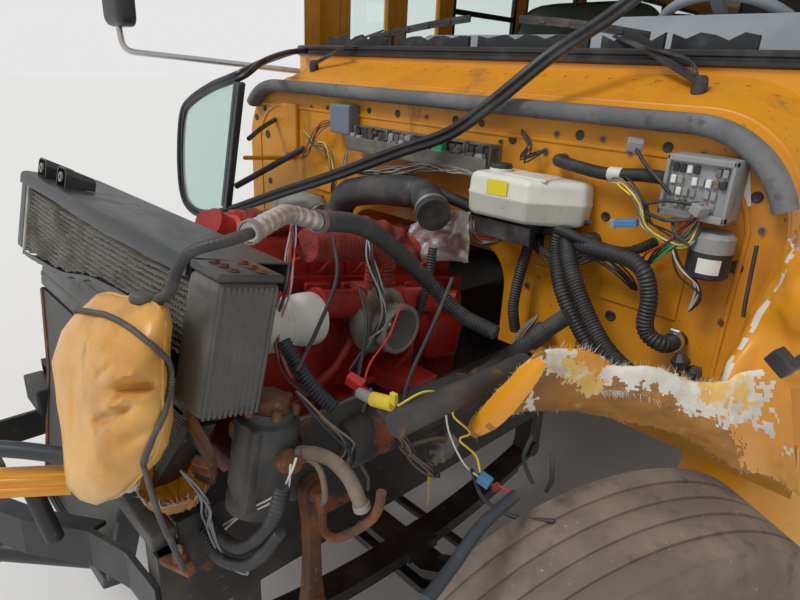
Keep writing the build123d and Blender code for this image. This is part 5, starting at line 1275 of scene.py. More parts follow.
def makeRubber():
    facts = rubberRun
    shape = Shape()
    radius = facts["bandRadius"]
    plan = cornerArc((-0.9, -3.43), radius, 218, 270, 14) + [(x / 10, -3.43 - radius) for x in range(-8, 9)]
    plan += cornerArc((0.9, -3.43), radius, 270, 322, 14)
    wavy = [(x, y, facts["bandZ"] + 0.0002 * math.sin(x * 9)) for x, y in plan]
    shape.tube(wavy, facts["band"], "gasketRubber", up=(0, 0, 1))
    torn = smoothPath(facts["path"], 0.012)
    shape.tube(torn, facts["ridged"], "gasketRubber", up=facts["facing"])
    shape.done("windscreenRubber", replaces=["windscreen_gasket"], edge=35)


cornerGlass = {
    "plane": -4.25, "thick": 0.0046, "first": 3, "last": 12, "inset": 0.0175,
    "bar": [(-0.652, 1.701), (-0.795, 1.239)], "barHalf": 0.0205, "barDeep": 0.0135,
}


def makeCornerGlass():
    facts = cornerGlass
    edge = smoothPath([(x, 0, z) for x, y, z in rubberRun["path"][facts["first"]:facts["last"] + 1]], 0.02)
    outline = []
    for before, here, after in zip(edge, edge[1:], edge[2:]):
        way = (after - before).normalized()
        outline.append((here.x - way.z * facts["inset"], here.z + way.x * facts["inset"]))
    outline = [(x, z) for x, z in outline if x < -0.66]
    shape = Shape()
    half = facts["thick"] / 2
    shape.prism(outline, facts["plane"] - half, facts["plane"] + half, "paneGreen", "Y")
    (ax, az), (bx, bz) = facts["bar"]
    for side in (-1, 1):
        shift = side * facts["barHalf"] * 0.52
        shape.tube([(ax + shift, facts["plane"], az), (bx + shift, facts["plane"], bz)],
                   [(p * 0.01, q * facts["barDeep"]) for p,
                    q in ((-1, -0.8), (-0.7, -1), (0.7, -1), (1, -0.8), (1, 0.8),
                                                                   (0.7, 1), (-0.7, 1), (-1, 0.8))],
                   "barBlue", up=(0, -1, 0), smooth=False)
    shape.tube([(ax, facts["plane"], az), (bx, facts["plane"], bz)],
               flatBar(0.006, 0.008), "gasketRubber", up=(0, -1, 0), smooth=False)
    shape.done("cornerGlass", replaces=["corner_pane"], edge=30)


makeRubber()
makeCornerGlass()

cowlFacts = {
    "half": 1.04, "radius": 0.23, "frontZ": 1.69, "backZ": 1.79, "frontY": -3.98, "backY": -3.75,
}


def cowlPoint(t, y, lift=0.0):
    # a place on the cowl's skin: t runs -1 at the right foot, 0 at the middle, 1 at the left foot
    facts = cowlFacts
    share = (y - facts["frontY"]) / (facts["backY"] - facts["frontY"])
    top = facts["frontZ"] + (facts["backZ"] - facts["frontZ"]) * share
    half, radius = facts["half"], facts["radius"]
    flat, arc, leg = half - radius, radius * math.pi / 2, top - radius - 1.1
    away = abs(t) * (flat + arc + leg)
    if away < flat:
        x, z, nx, nz = away, top, 0, 1
    elif away < flat + arc:
        a = (away - flat) / radius
        nx, nz = math.sin(a), math.cos(a)
        x, z = flat + radius * nx, top - radius + radius * nz
    else:
        x, z, nx, nz = half, top - radius - (away - flat - arc), 1, 0
    side = 1 if t >= 0 else -1
    return Vector((side * (x + nx * lift), y, z + nz * lift)), Vector((side * nx, 0, nz))


def makeSeal():
    radius, flat = 0.23, 0.81
    path = cornerArc((-flat, 1.46), radius, 138, 90, 14)
    path += [(x * 0.05, 1.69) for x in range(-16, 17)]
    path += cornerArc((flat, 1.46), radius, 90, 20, 20)
    line = [(x, -4.0053, z + 0.0009 * noise.noise(Vector((x * 8, 0, z * 8)))) for x, z in path]
    line = smoothPath(line, 0.012)
    section = [(-0.0215, -0.0247), (0.0215, -0.0247), (0.0225, -0.012), (0.022, 0.004), (0.0185, 0.0165),
               (0.011, 0.0225), (0.0, 0.0245), (-0.011, 0.0225), (-0.0185, 0.0165), (-0.022, 0.004),
               (-0.0225, -0.012)]
    shape = Shape()
    shape.tube(line, section, "sealFoam", up=(0, -1, 0))
    shape.done("hoodSeal", replaces=["hood_seal"], edge=50)


makeSeal()

# x, z of the firewall's bolts and holes: radius, and whether a bolt stands in it
firewallHoles = [
    (-0.991, 1.555, 0.011, 0), (-0.925, 1.595, 0.009, 0), (-0.743, 1.575, 0.01, 1), (-0.736, 1.506, 0.008, 1),
    (-0.909, 1.493, 0.014, 0), (0.295, 1.595, 0.008, 1), (0.333, 1.605, 0.011, 0), (0.442, 1.585, 0.011, 1),
    (0.469, 1.633, 0.009, 1), (0.535, 1.637, 0.01, 0), (0.599, 1.634, 0.009, 1), (0.674, 1.615, 0.011, 1),
    (-0.6, 1.62, 0.008, 0), (-0.5, 1.628, 0.008, 1), (-0.39, 1.632, 0.011, 0), (-0.27, 1.635, 0.008, 0),
    (-0.13, 1.636, 0.01, 0), (0.0, 1.637, 0.008, 1), (0.12, 1.637, 0.01, 0), (0.22, 1.637, 0.008, 0),
    (0.76, 1.633, 0.01, 0), (0.84, 1.628, 0.008, 1), (0.915, 1.6, 0.009, 1), (0.965, 1.555, 0.01, 0),
    (0.99, 1.49, 0.009, 1), (0.96, 1.4, 0.012, 0), (0.7, 1.33, 0.011, 1), (0.64, 1.45, 0.01, 0),
    (0.45, 1.33, 0.013, 0), (0.44, 1.21, 0.01, 1), (0.52, 1.14, 0.011, 0), (0.96, 1.27, 0.01, 1),
    (0.7, 1.2, 0.012, 0), (-0.5, 1.45, 0.01, 1), (-0.9, 1.3, 0.011, 0), (-0.6, 1.1, 0.01, 1),
]


def makeCowlTrim():
    shape = Shape()
    # pressed ridges across the cowl, one on top and one round the firewall's face
    for y, lift, wide in ((-3.905, -0.003, 0.009), (-3.965, -0.001, 0.004)):
        shape.tube([cowlPoint(t / 60 * 0.86, y, lift)[0] for t in range(-60, 61)], ringProfile(wide, 10, 0.8),
                   "firewallYellow")
    rim = [(-0.955, 1.12)] + [(x, z) for x, z in cornerArc((-0.81, 1.46), 0.155, 180, 90, 12)]
    rim += [(x, z) for x, z in cornerArc((0.81, 1.46), 0.155, 90, 0, 12)] + [(0.965, 1.12)]
    shape.tube(smoothPath([(x, -3.9808, z) for x, z in rim], 0.03), ringProfile(0.0065, 8, 0.6),
               "firewallYellow", up=(0, -1, 0))
    # pressed channel and pads
    for x0, z0, x1, z1, deep in ((-0.785, 1.435, -0.682, 1.628, 0.016), (-0.6, 1.32, -0.46, 1.42, 0.008),
                                 (0.46, 1.05, 0.62, 1.28, 0.008), (0.66, 1.24, 0.86, 1.37, 0.006)):
        shape.block((x0, -3.98 - deep, z0), (x1, -3.9795, z1), "firewallYellow", 0.007)
    for x, z, radius, bolt in firewallHoles:
        if bolt:
            shape.lathe([(0, 0), (radius, 0), (radius, 0.002), (0, 0.002)], (x, wallY, z), (0, -1, 0),
                        "castGrey", sides=18)
            shape.lathe([(0, 0.002), (radius * 0.62, 0.002), (radius * 0.6, 0.009), (0, 0.009)],
                        (x, wallY, z), (0, -1, 0), "rustyIron", sides=6, smooth=False)
        else:
            # an open hole: a shallow black disc with a lip, its dark face painted shade standing in the
            # opening
            shape.lathe([(0, 0), (radius, 0), (radius * 1.25, 0.001), (radius, 0.003), (radius * 0.8, 0.0015),
                         (0, 0.001)], (x, wallY, z), (0, -1, 0), "unitBlack", sides=18)
    # struts left between the firewall and the torn-off corner
    shape.rod((-0.8, -4.205, 1.31), (-0.645, -3.982, 1.467), 0.012, "unitBlack", sides=12)
    shape.rod((-0.735, -4.2, 1.43), (-0.71, -3.982, 1.421), 0.008, "firewallYellow", sides=12)
    shape.pipe([(-0.69, -4.2, 1.505), (-0.76, -4.1, 1.535), (-0.85, -3.982, 1.556)], 0.009, "unitBlack")
    # blank sticker near the cowl's left corner
    shape.sheet([[(0.915, -3.9815, 1.6), (0.94, -3.9815, 1.605)],
                 [(0.93, -3.9815, 1.53), (0.958, -3.9815, 1.535)]],
                "labelWhite", 0.0008)
    shape.done("cowlTrim", edge=35)
    rivets, aims = [], []
    for i in range(27):
        t = -0.56 + i * 1.12 / 26
        point, out = cowlPoint(t, -3.785, 0.0)
        rivets.append(point)
        aims.append(out)
    scatter("cowlRivets", "rivet", rivets, aims, 0.011, "firewallYellow", slot="body_yellow")


makeCowlTrim()
print("stage: windscreen rubber, seal and cowl")

# dashboard top, defroster ducts and the wipers lying over it

ductSpans = [(-0.88, -0.42), (-0.37, 0.12), (0.17, 0.88)]


def makeDashTop():
    shape = Shape()
    for x0, x1 in ductSpans:
        count = int((x1 - x0) / 0.012)
        rows = []
        for k, (y, z) in enumerate(((-3.681, 1.79), (-3.684, 1.828), (-3.672, 1.842), (-3.648, 1.8405),
                                    (-3.622, 1.846), (-3.613, 1.832), (-3.613, 1.8))):
            row = []
            for i in range(count + 1):
                x = x0 + (x1 - x0) * i / count
                notch = 0.01 if (i % 12) < 2 and k in (1, 2, 3) else 0.0
                sag = 0.004 * noise.noise(Vector((x * 6, k, 0)))
                row.append((x, y, z - notch + sag))
            rows.append(row)
        shape.sheet(rows, "ductGrey", 0.003)
    shape.done("defrosterDucts", edge=35)


def wiper(shape, pivot, elbow, tip0, tip1):
    pivot, elbow, tip0, tip1 = (Vector(p) for p in (pivot, elbow, tip0, tip1))
    shape.lathe([(0, -0.02), (0.017, -0.02), (0.019, 0.0), (0.016, 0.02), (0.01, 0.026), (0, 0.026)], pivot,
                (0, 0, 1), "unitBlack", sides=20)
    arm = smoothPath([pivot + Vector((0, 0, 0.012)), pivot.lerp(elbow, 0.3) + Vector((0, 0, 0.012)),
                      pivot.lerp(elbow, 0.65) + Vector((0, 0, 0.012)), elbow], 0.02)
    shape.tube(arm, [(-0.011, -0.005), (0.011, -0.005), (0.009, 0.005), (-0.009, 0.005)], "unitBlack",
               scale=lambda t: 1.25 - 0.75 * t, up=(0.2, -0.3, 0.93), smooth=False)
    for shift, wide, high in ((0.0, 0.004, 0.006), (-0.012, 0.0025, 0.006)):
        blade = [tip0.lerp(tip1,
                           i / 12) + Vector((0, 0,
                                             shift + 0.006 * math.sin(i / 12 * math.pi))) for i in range(13)]
        shape.tube(blade, flatBar(wide, high), "unitBlack", up=(0, 0, 1), smooth=False)
    for share in (0.2, 0.4, 0.6, 0.8):
        shape.block(tip0.lerp(tip1, share) - Vector((0.012, 0.006, 0.012)),
                    tip0.lerp(tip1, share) + Vector((0.012, 0.006, 0.008)), "unitBlack", 0.003)


def makeWipers():
    shape = Shape()
    wiper(shape, (0.745, -3.835, 1.765), (0.434, -3.7, 1.885), (0.078, -3.66, 1.945), (0.518, -3.66, 1.893))
    wiper(shape, (-0.776, -3.84, 1.765), (-0.49, -3.73, 1.905), (-0.62, -3.68, 1.885), (-0.16, -3.62, 1.955))
    shape.pipe([(0.74, -3.84, 1.785), (0.7, -3.8, 1.82), (0.6, -3.775, 1.845), (0.56, -3.77, 1.852),
                (0.68, -3.785, 1.83), (0.72, -3.82, 1.79)], 0.003, "unitBlack", sides=8)
    shape.done("wipers", edge=35)


makeDashTop()
makeWipers()

# units, bottle and hoses on the firewall

unitFacts = {
    "tray": ((-0.31, -4.0503, 1.505), (0.3, wallY, 1.585)),
    "box": ((-0.425, -4.0303, 1.55), (-0.318, wallY, 1.65)),
    "module": ((0.8, -4.0703, 1.5), (0.94, wallY, 1.63)),
    "motor": (0.915, -4.0253),
    "shelf": ((0.33, -4.1103, 1.406), (0.51, wallY, 1.4147)),
}


def makeUnits():
    shape = Shape()
    low, high = unitFacts["tray"]
    x0, x1, y0, z0, z1 = low[0], high[0], low[1], low[2], high[2]
    # open tray: back, floor, lip and two rows of relays behind it
    shape.block((x0, -3.988, z0), (x1, unitBackY, z1 - 0.012), "trayGrey", 0.003)
    shape.block((x0, y0, z0), (x1, unitBackY, z0 + 0.022), "trayGrey", 0.005)
    shape.block((x0, y0 + 0.0005, z0), (x1, y0 + 0.006, z0 + 0.046), "trayGrey", 0.003)
    dice = random.Random(11)
    for row, (y, top) in enumerate(((-4.03, 0.052), (-4.006, 0.068))):
        x = x0 + 0.01
        while x < x1 - 0.03:
            wide = dice.uniform(0.018, 0.03)
            tall = z0 + top + dice.uniform(-0.008, 0.008)
            tone = dice.choice(["unitBlack", "trayGrey", "unitBlack", "plugGrey"])
            shape.block((x, y - 0.01, z0 + 0.018), (x + wide, y + 0.01, tall), tone, 0.0025)
            shape.block((x + 0.003, y - 0.008, tall - 0.002), (x + wide - 0.003, y + 0.008, tall + 0.004),
                        tone, 0.0015)
            x += wide + dice.uniform(0.002, 0.008)
    shape.block((0.095, -4.046, 1.545), (0.13, -4.022, 1.583), "plugGreen", 0.003)
    # bracket along the tray's top
    for x in (-0.3, -0.14, 0.03, 0.19, 0.285):
        shape.block((x, -4.02, z0), (x + 0.006, -3.981, z1), "trayGrey", 0.001)
    shape.block((x0, -4.0, z1 - 0.008), (x1, unitBackY, z1), "trayGrey", 0.003)
    # blue-grey box
    low, high = unitFacts["box"]
    shape.block(low, high, "unitBlueGrey", 0.008)
    # fuse module: grey frame with rows of fuses
    low, high = unitFacts["module"]
    shape.block((low[0], low[1] + 0.012, low[2]), high, "plugGrey", 0.006)
    shape.block(low, (high[0], low[1] + 0.02, low[2] + 0.016), "plugGrey", 0.003)
    shape.block((low[0], low[1], high[2] - 0.014), (high[0], low[1] + 0.02, high[2]), "plugGrey", 0.003)
    for x in (low[0], high[0] - 0.008):
        shape.block((x, low[1], low[2]), (x + 0.008, low[1] + 0.02, high[2]), "plugGrey", 0.003)
    for row in range(4):
        for i in range(8):
            x = low[0] + 0.014 + i * 0.0145
            z = low[2] + 0.022 + row * 0.024
            if dice.random() < 0.82:
                tone = dice.choice(["plugGrey", "unitBlack", "hoseTan", "plugGrey", "labelWhite"])
                shape.block((x, low[1] + 0.002 + 0.004 * dice.random(), z),
                            (x + 0.011, low[1] + 0.016, z + 0.017), tone, 0.0015, segments=1)
    # motor with its grey top and blank label
    mx, my = unitFacts["motor"]
    shape.lathe([(0, 0), (0.036, 0), (0.0445, 0.006), (0.0445, 0.06), (0.041, 0.064), (0, 0.064)],
                (mx, my, 1.376), (0, 0, 1), "unitBlack", sides=32)
    shape.lathe([(0, 0.06), (0.0448, 0.06), (0.045, 0.066), (0.045, 0.092), (0.036, 0.101), (0.012, 0.102),
                 (0, 0.102)], (mx, my, 1.376), (0, 0, 1), "plugGrey", sides=32)
    label = [[(mx + 0.0453 * math.sin(math.radians(a)), my - 0.0453 * math.cos(math.radians(a)), z)
              for a in range(-10, 56, 6)] for z in (1.392, 1.425)]
    shape.sheet(label, "labelWhite", 0.0006)
    shape.block((mx - 0.02, my, 1.39), (mx + 0.02, unitBackY, 1.44), "unitBlack", 0.004)
    # shelf under the bottle with its slotted lip
    low, high = unitFacts["shelf"]
    shape.block(low, high, "unitBlack", 0.002)
    shape.block((0.33, -4.1103, 1.361), (0.51, -4.1025, 1.4145), "unitBlack", 0.002)
    shape.block((0.34, -4.1025, 1.385), (0.347, unitBackY, 1.407), "unitBlack", 0.002)
    shape.block((0.49, -4.1025, 1.385), (0.497, unitBackY, 1.407), "unitBlack", 0.002)
    shape.done("firewallUnits", replaces=["firewall_units"], edge=35)


bottleFacts = {
    "plan": [(0.305, -3.981), (0.305, -4.131), (0.5, -4.131), (0.61, -4.031), (0.61, -3.981)],
    "low": 1.4155, "seam": 1.474, "high": 1.5298, "corner": 0.024,
}


def roundedPlan(points, radius, count=6):
    # a polygon with its corners rounded
    found = []
    size = len(points)
    for i in range(size):
        before, here, after = (Vector((*points[k % size], 0)) for k in (i - 1, i, i + 1))
        a, b = (before - here).normalized(), (after - here).normalized()
        half = a.angle(b) / 2
        reach = min(radius / math.tan(half), 0.45 * min((before - here).length, (after - here).length))
        p, q = here + a * reach, here + b * reach
        for k in range(count + 1):
            t = k / count
            found.append((1 - t) ** 2 * p + 2 * t * (1 - t) * here + t * t * q)
    return found


def makeBottle():
    facts = bottleFacts
    rim = roundedPlan(facts["plan"], facts["corner"])
    middle = sum(rim, Vector()) / len(rim)
    # height and how far in of each ring
    levels = [(facts["low"], 0.02), (facts["low"] + 0.004, 0.01), (facts["low"] + 0.014, 0.004),
              (facts["seam"] - 0.006, 0.0022), (facts["seam"] - 0.003, 0.0002),
              (facts["seam"] + 0.003, 0.0002),
              (facts["seam"] + 0.006, 0.0024), (facts["high"] - 0.02, 0.004), (facts["high"] - 0.008, 0.009),
              (facts["high"] - 0.002, 0.018), (facts["high"], 0.03)]
    corners = []
    for z, inset in levels:
        for p in rim:
            away = (p - middle)
            q = p - away.normalized() * inset
            dip = 0.004 * noise.noise(Vector((q.x * 12, q.y * 12, z * 20))) if z > facts["seam"] + 0.01 else 0
            corners.append((q.x, min(q.y, -3.9812), z + min(dip, 0)))
    shape = Shape()
    shape.add(corners, cappedFaces(len(levels), len(rim)), "bottleWhite")
    # raised panel, filler and its black cap, blank yellow label
    shape.block((0.4, -4.1, 1.524), (0.53, -4.02, 1.533), "bottleWhite", 0.004)
    shape.lathe([(0, 0), (0.03, 0), (0.03, 0.01), (0.027, 0.012), (0, 0.012)], (0.36, -4.056, 1.526),
                (0, 0, 1), "bottleWhite", sides=28)
    cap = [(0, 0.01), (0.0285, 0.01), (0.0285, 0.019), (0.0265, 0.0225), (0.012, 0.0225), (0.01, 0.021),
           (0, 0.021)]
    shape.lathe(cap, (0.36, -4.056, 1.526), (0, 0, 1), "unitBlack", sides=28)
    for k in range(12):
        a = k * math.pi / 6
        shape.block((-0.0015, 0.0275, 0.0105), (0.0015, 0.0296, 0.0185), "unitBlack", 0.0005,
                    Matrix.Translation((0.36, -4.056, 1.526)) @ Matrix.Rotation(a, 4, "Z"), 1)
    shape.sheet([[(0.375, -4.1316, 1.478), (0.44, -4.1316, 1.48)],
                 [(0.375, -4.1312, 1.516), (0.44, -4.1312, 1.518)]],
                "labelYellow", 0.0006)
    shape.pipe([(0.595, -4.005, 1.44), (0.61, -4.02, 1.43), (0.625, -4.03, 1.44)], 0.006, "unitBlack",
               sides=8)
    shape.done("washerBottle", replaces=["washer_reservoir"], edge=40)


hoseRuns = [
    # name, path, radius, ribs' pitch and depth
    ("heaterHoseLow", [(0.56, -4.05, 1.4145), (0.558, -4.05, 1.35), (0.625, -4.093, 1.25),
                       (0.745, -4.09, 1.115),
                       (0.8, -4.055, 1.07), (0.8, hoseEndY, 1.07)], 0.0192, 0.0088, 0.075),
    ("heaterHoseHigh", [(0.62, hoseEndY, 1.385), (0.63, -4.058, 1.386), (0.78, -4.08, 1.383),
                        (0.824, -4.078, 1.32),
                        (0.83, -4.075, 1.235), (0.87, -4.055, 1.203), (0.88, hoseEndY, 1.2)], 0.0192, 0.0088,
                        0.075),
    ("bottleConduit", [(0.5, hoseEndY, 1.572), (0.515, -4.022, 1.572), (0.64, -4.03, 1.561),
                       (0.74, -4.03, 1.571), (0.7995, -4.03, 1.572)], 0.0146, 0.0062, 0.08),
]


def makeHoses():
    for name, path, radius, pitch, depth in hoseRuns:
        ribbedHose(name, path, radius, "hoseRubber", pitch, depth, slot="hose_rubber",
                   replaces=["heater_hoses"] if name == "heaterHoseLow" else ())
    shape = Shape()
    # hose clamp and its screw, white tape
    shape.lathe([(0.0205, 0), (0.0228, 0), (0.0228, 0.016), (0.0205, 0.016), (0.0205, 0)],
                (0.878, -4.022, 1.201), (0.02, 1, 0), "armSilver", sides=28)
    shape.rod((0.865, -4.016, 1.228), (0.89, -4.016, 1.228), 0.006, "armSilver", sides=10)
    shape.lathe([(0.0155, 0), (0.0168, 0.002), (0.0165, 0.03), (0.0155, 0.033), (0.0155, 0)],
                (0.655, -4.0305, 1.5625), (1, 0, 0.06), "wireWhite", sides=20)
    # charred stubs where the heater pipes burnt
    for at, size in (((0.905, -4.035, 1.19), 0.022), ((0.935, -4.02, 1.165), 0.018),
                     ((0.9, -4.03, 1.14), 0.016), ((0.93, -4.045, 1.13), 0.012)):
        p = Vector(at)
        rows = []
        for i in range(7):
            angle = math.pi * i / 6
            rows.append((size * math.sin(angle) * (1 + 0.35 * noise.noise(Vector((i, p.x * 90, 2)))),
                         size * (1 - math.cos(angle))))
        shape.lathe(rows, p, (0.3, -0.2, -1), "unitBlack", sides=9, smooth=False)
    shape.done("hoseFittings", edge=30)


def makeAirCleaner():
    shape = Shape()
    shape.lathe([(0, 0), (0.062, 0), (0.07, 0.004), (0.0718, 0.01), (0.0718, 0.03), (0.068, 0.033),
                 (0.068, 0.04),
                 (0.0718, 0.043), (0.0718, 0.175), (0.069, 0.182), (0.052, 0.196), (0.045, 0.208), (0, 0.21)],
                (-0.64, -4.072, 1.25), (1, 0, 0), "canGrey", sides=36)
    shape.block((-0.58, -4.06, 1.2), (-0.52, hoseEndY, 1.3), "unitBlack", 0.006)
    tube = [(-0.44, -4.072, 1.25), (-0.345, -4.082, 1.252), (-0.265, -4.105, 1.315), (-0.205, -4.12, 1.372),
            (-0.1, -4.12, 1.405), (0, -4.12, 1.421), (0.1, -4.122, 1.432), (0.165, -4.133, 1.429),
            (0.258, -4.198, 1.403)]
    line = smoothPath(tube, 0.008)

    def ribs(t):
        fold = 0.5 + 0.5 * math.sin(t * 2 * math.pi * 52)
        ribbed = 1.0 if 0.1 < t < 0.34 or 0.78 < t < 0.93 else 0.0
        return 0.985 - 0.075 * ribbed * fold

    shape.tube(line, ringProfile(0.0475, 28), "hoseRubber", scale=ribs)
    for share in (0.03, 0.95):
        at = line[int(share * (len(line) - 1))]
        ahead = (line[int(share * (len(line) - 1)) + 1] - at).normalized()
        shape.lathe([(0.0472, 0), (0.0485, 0), (0.0485, 0.014), (0.0472, 0.014), (0.0472, 0)], at, ahead,
                    "armSilver", sides=36)
    shape.done("airCleaner", replaces=["air_cleaner"], edge=35)


makeUnits()
makeBottle()
makeHoses()
makeAirCleaner()
print("stage: firewall units and hoses")

# engine: castings over the plain block, turbocharger and its pipes

cylinders, cylinderPitch = 6, 0.12


def casting(shape, low, high, finish="engineRed", bevel=0.012):
    shape.block(low, high, finish, bevel, enginePlace, 3, True)


def makeEngineTrim():
    shape = Shape()
    # flanges of cover and head
    shape.block((-0.138, 0.006, -0.112), (0.138, 0.766, -0.1), "engineRed", 0.004, enginePlace)
    shape.block((-0.181, -0.004, -0.236), (0.181, 0.784, -0.222), "engineRed", 0.004, enginePlace)
    for i in range(cylinders):
        y = 0.055 + i * cylinderPitch
        # ribs, runners and bosses of one cylinder
        shape.block((-0.1, y + 0.028, -0.004), (0.1, y + 0.046, 0.008), "engineRed", 0.006, enginePlace)
        shape.lathe([(0, 0), (0.02, 0), (0.02, 0.012), (0.014, 0.016), (0, 0.016)], (0.09, y, -0.004),
                    (0.15, 0, 1), "engineRed", enginePlace, 16)
        shape.pipe([(0.172, y + 0.02, -0.165), (0.215, y + 0.02, -0.16), (0.252, y + 0.03, -0.152)], 0.024,
                   "engineRed", enginePlace, 0.01)
        casting(shape, (0.168, y - 0.02, -0.212), (0.186, y + 0.062, -0.118))
        shape.block((0.198, y - 0.01, -0.4), (0.212, y + 0.045, -0.26), "engineRed", 0.008, enginePlace)
        shape.lathe([(0, 0), (0.022, 0), (0.024, 0.004), (0.018, 0.012), (0, 0.013)],
                    (0.199, y + 0.06, -0.46), (1, 0, 0), "engineRed", enginePlace, 20)
    # front housing, thermostat neck, pulley hub and fan belt
    casting(shape, (-0.16, -0.052, -0.4), (0.15, 0.004, -0.14), bevel=0.03)
    shape.lathe([(0, 0), (0.044, 0), (0.044, 0.02), (0.034, 0.026), (0.034, 0.06), (0.038, 0.064),
                 (0.038, 0.075),
                 (0, 0.075)], (0.055, 0.02, -0.03), (0.1, -1, 0.35), "engineRed", enginePlace, 24)
    shape.lathe([(0, 0), (0.112, 0), (0.114, 0.012), (0.1, 0.02), (0.1, 0.03), (0.114, 0.038), (0.114, 0.05),
                 (0.06, 0.056), (0.05, 0.069), (0, 0.069)], (0, 0, -0.5), (0, -1, 0), "unitBlack",
                 enginePlace, 36)
    for a, b in (((0.112, -0.03, -0.5), (0.128, -0.03, -0.3)),
                 ((-0.112, -0.03, -0.5), (-0.19, -0.03, -0.27))):
        shape.tube([a, b], flatBar(0.011, 0.003), "hoseRubber", enginePlace, up=(1, 0, 0), smooth=False)
    # filters and coolers along the left side
    shape.lathe([(0, 0), (0.038, 0), (0.042, 0.005), (0.042, 0.15), (0.034, 0.156), (0, 0.157)],
                (0.262, 0.46, -0.54), (0, 0, 1), "burntRed", enginePlace, 28)
    casting(shape, (0.198, 0.28, -0.5), (0.245, 0.62, -0.42), bevel=0.014)
    casting(shape, (0.178, 0.58, -0.34), (0.262, 0.73, -0.2), bevel=0.02)
    casting(shape, (0.18, 0.02, -0.36), (0.248, 0.12, -0.25), bevel=0.016)
    # crusty insulated pipe on top and fuel lines
    crust = smoothPath([(0.1, 0.02, 0.012), (0.125, 0.12, 0.022), (0.118, 0.26, 0.026), (0.13, 0.38, 0.022),
                        (0.16, 0.47, 0.002), (0.2, 0.5, -0.05)], 0.01)
    shape.tube(crust, ringProfile(0.029, 16), "burntRed", enginePlace,
               scale=lambda t: 1 + 0.22 * noise.noise(Vector((t * 24, 3, 1))) + 0.1 * math.sin(t * 60))
    for i in range(cylinders):
        y = 0.07 + i * cylinderPitch
        shape.pipe([(0.145, y, -0.098), (0.165, y - 0.03, -0.06), (0.158, y - 0.07, -0.07),
                    (0.15, y - 0.09, -0.1)],
                   0.005, "engineRed", enginePlace, 0.01, 8)
    shape.done("engineTrim", edge=40)
    bolts, aims = [], []
    for i in range(13):
        for x in (-0.131, 0.131):
            bolts.append((x, 0.03 + i * 0.059, -0.1))
            aims.append((0, 0, 1))
        bolts.append((0.181, 0.02 + i * 0.06, -0.17))
        aims.append((1, 0, 0))
    for i in range(10):
        bolts.append((0.201, 0.04 + i * 0.078, -0.545))
        aims.append((1, 0, 0))
        bolts.append((0.201, 0.06 + i * 0.075, -0.245))
        aims.append((1, 0, 0))
    scatter("engineBolts", "bolt", bolts, aims, 0.013, "engineRed", slot="engine_red", place=enginePlace)


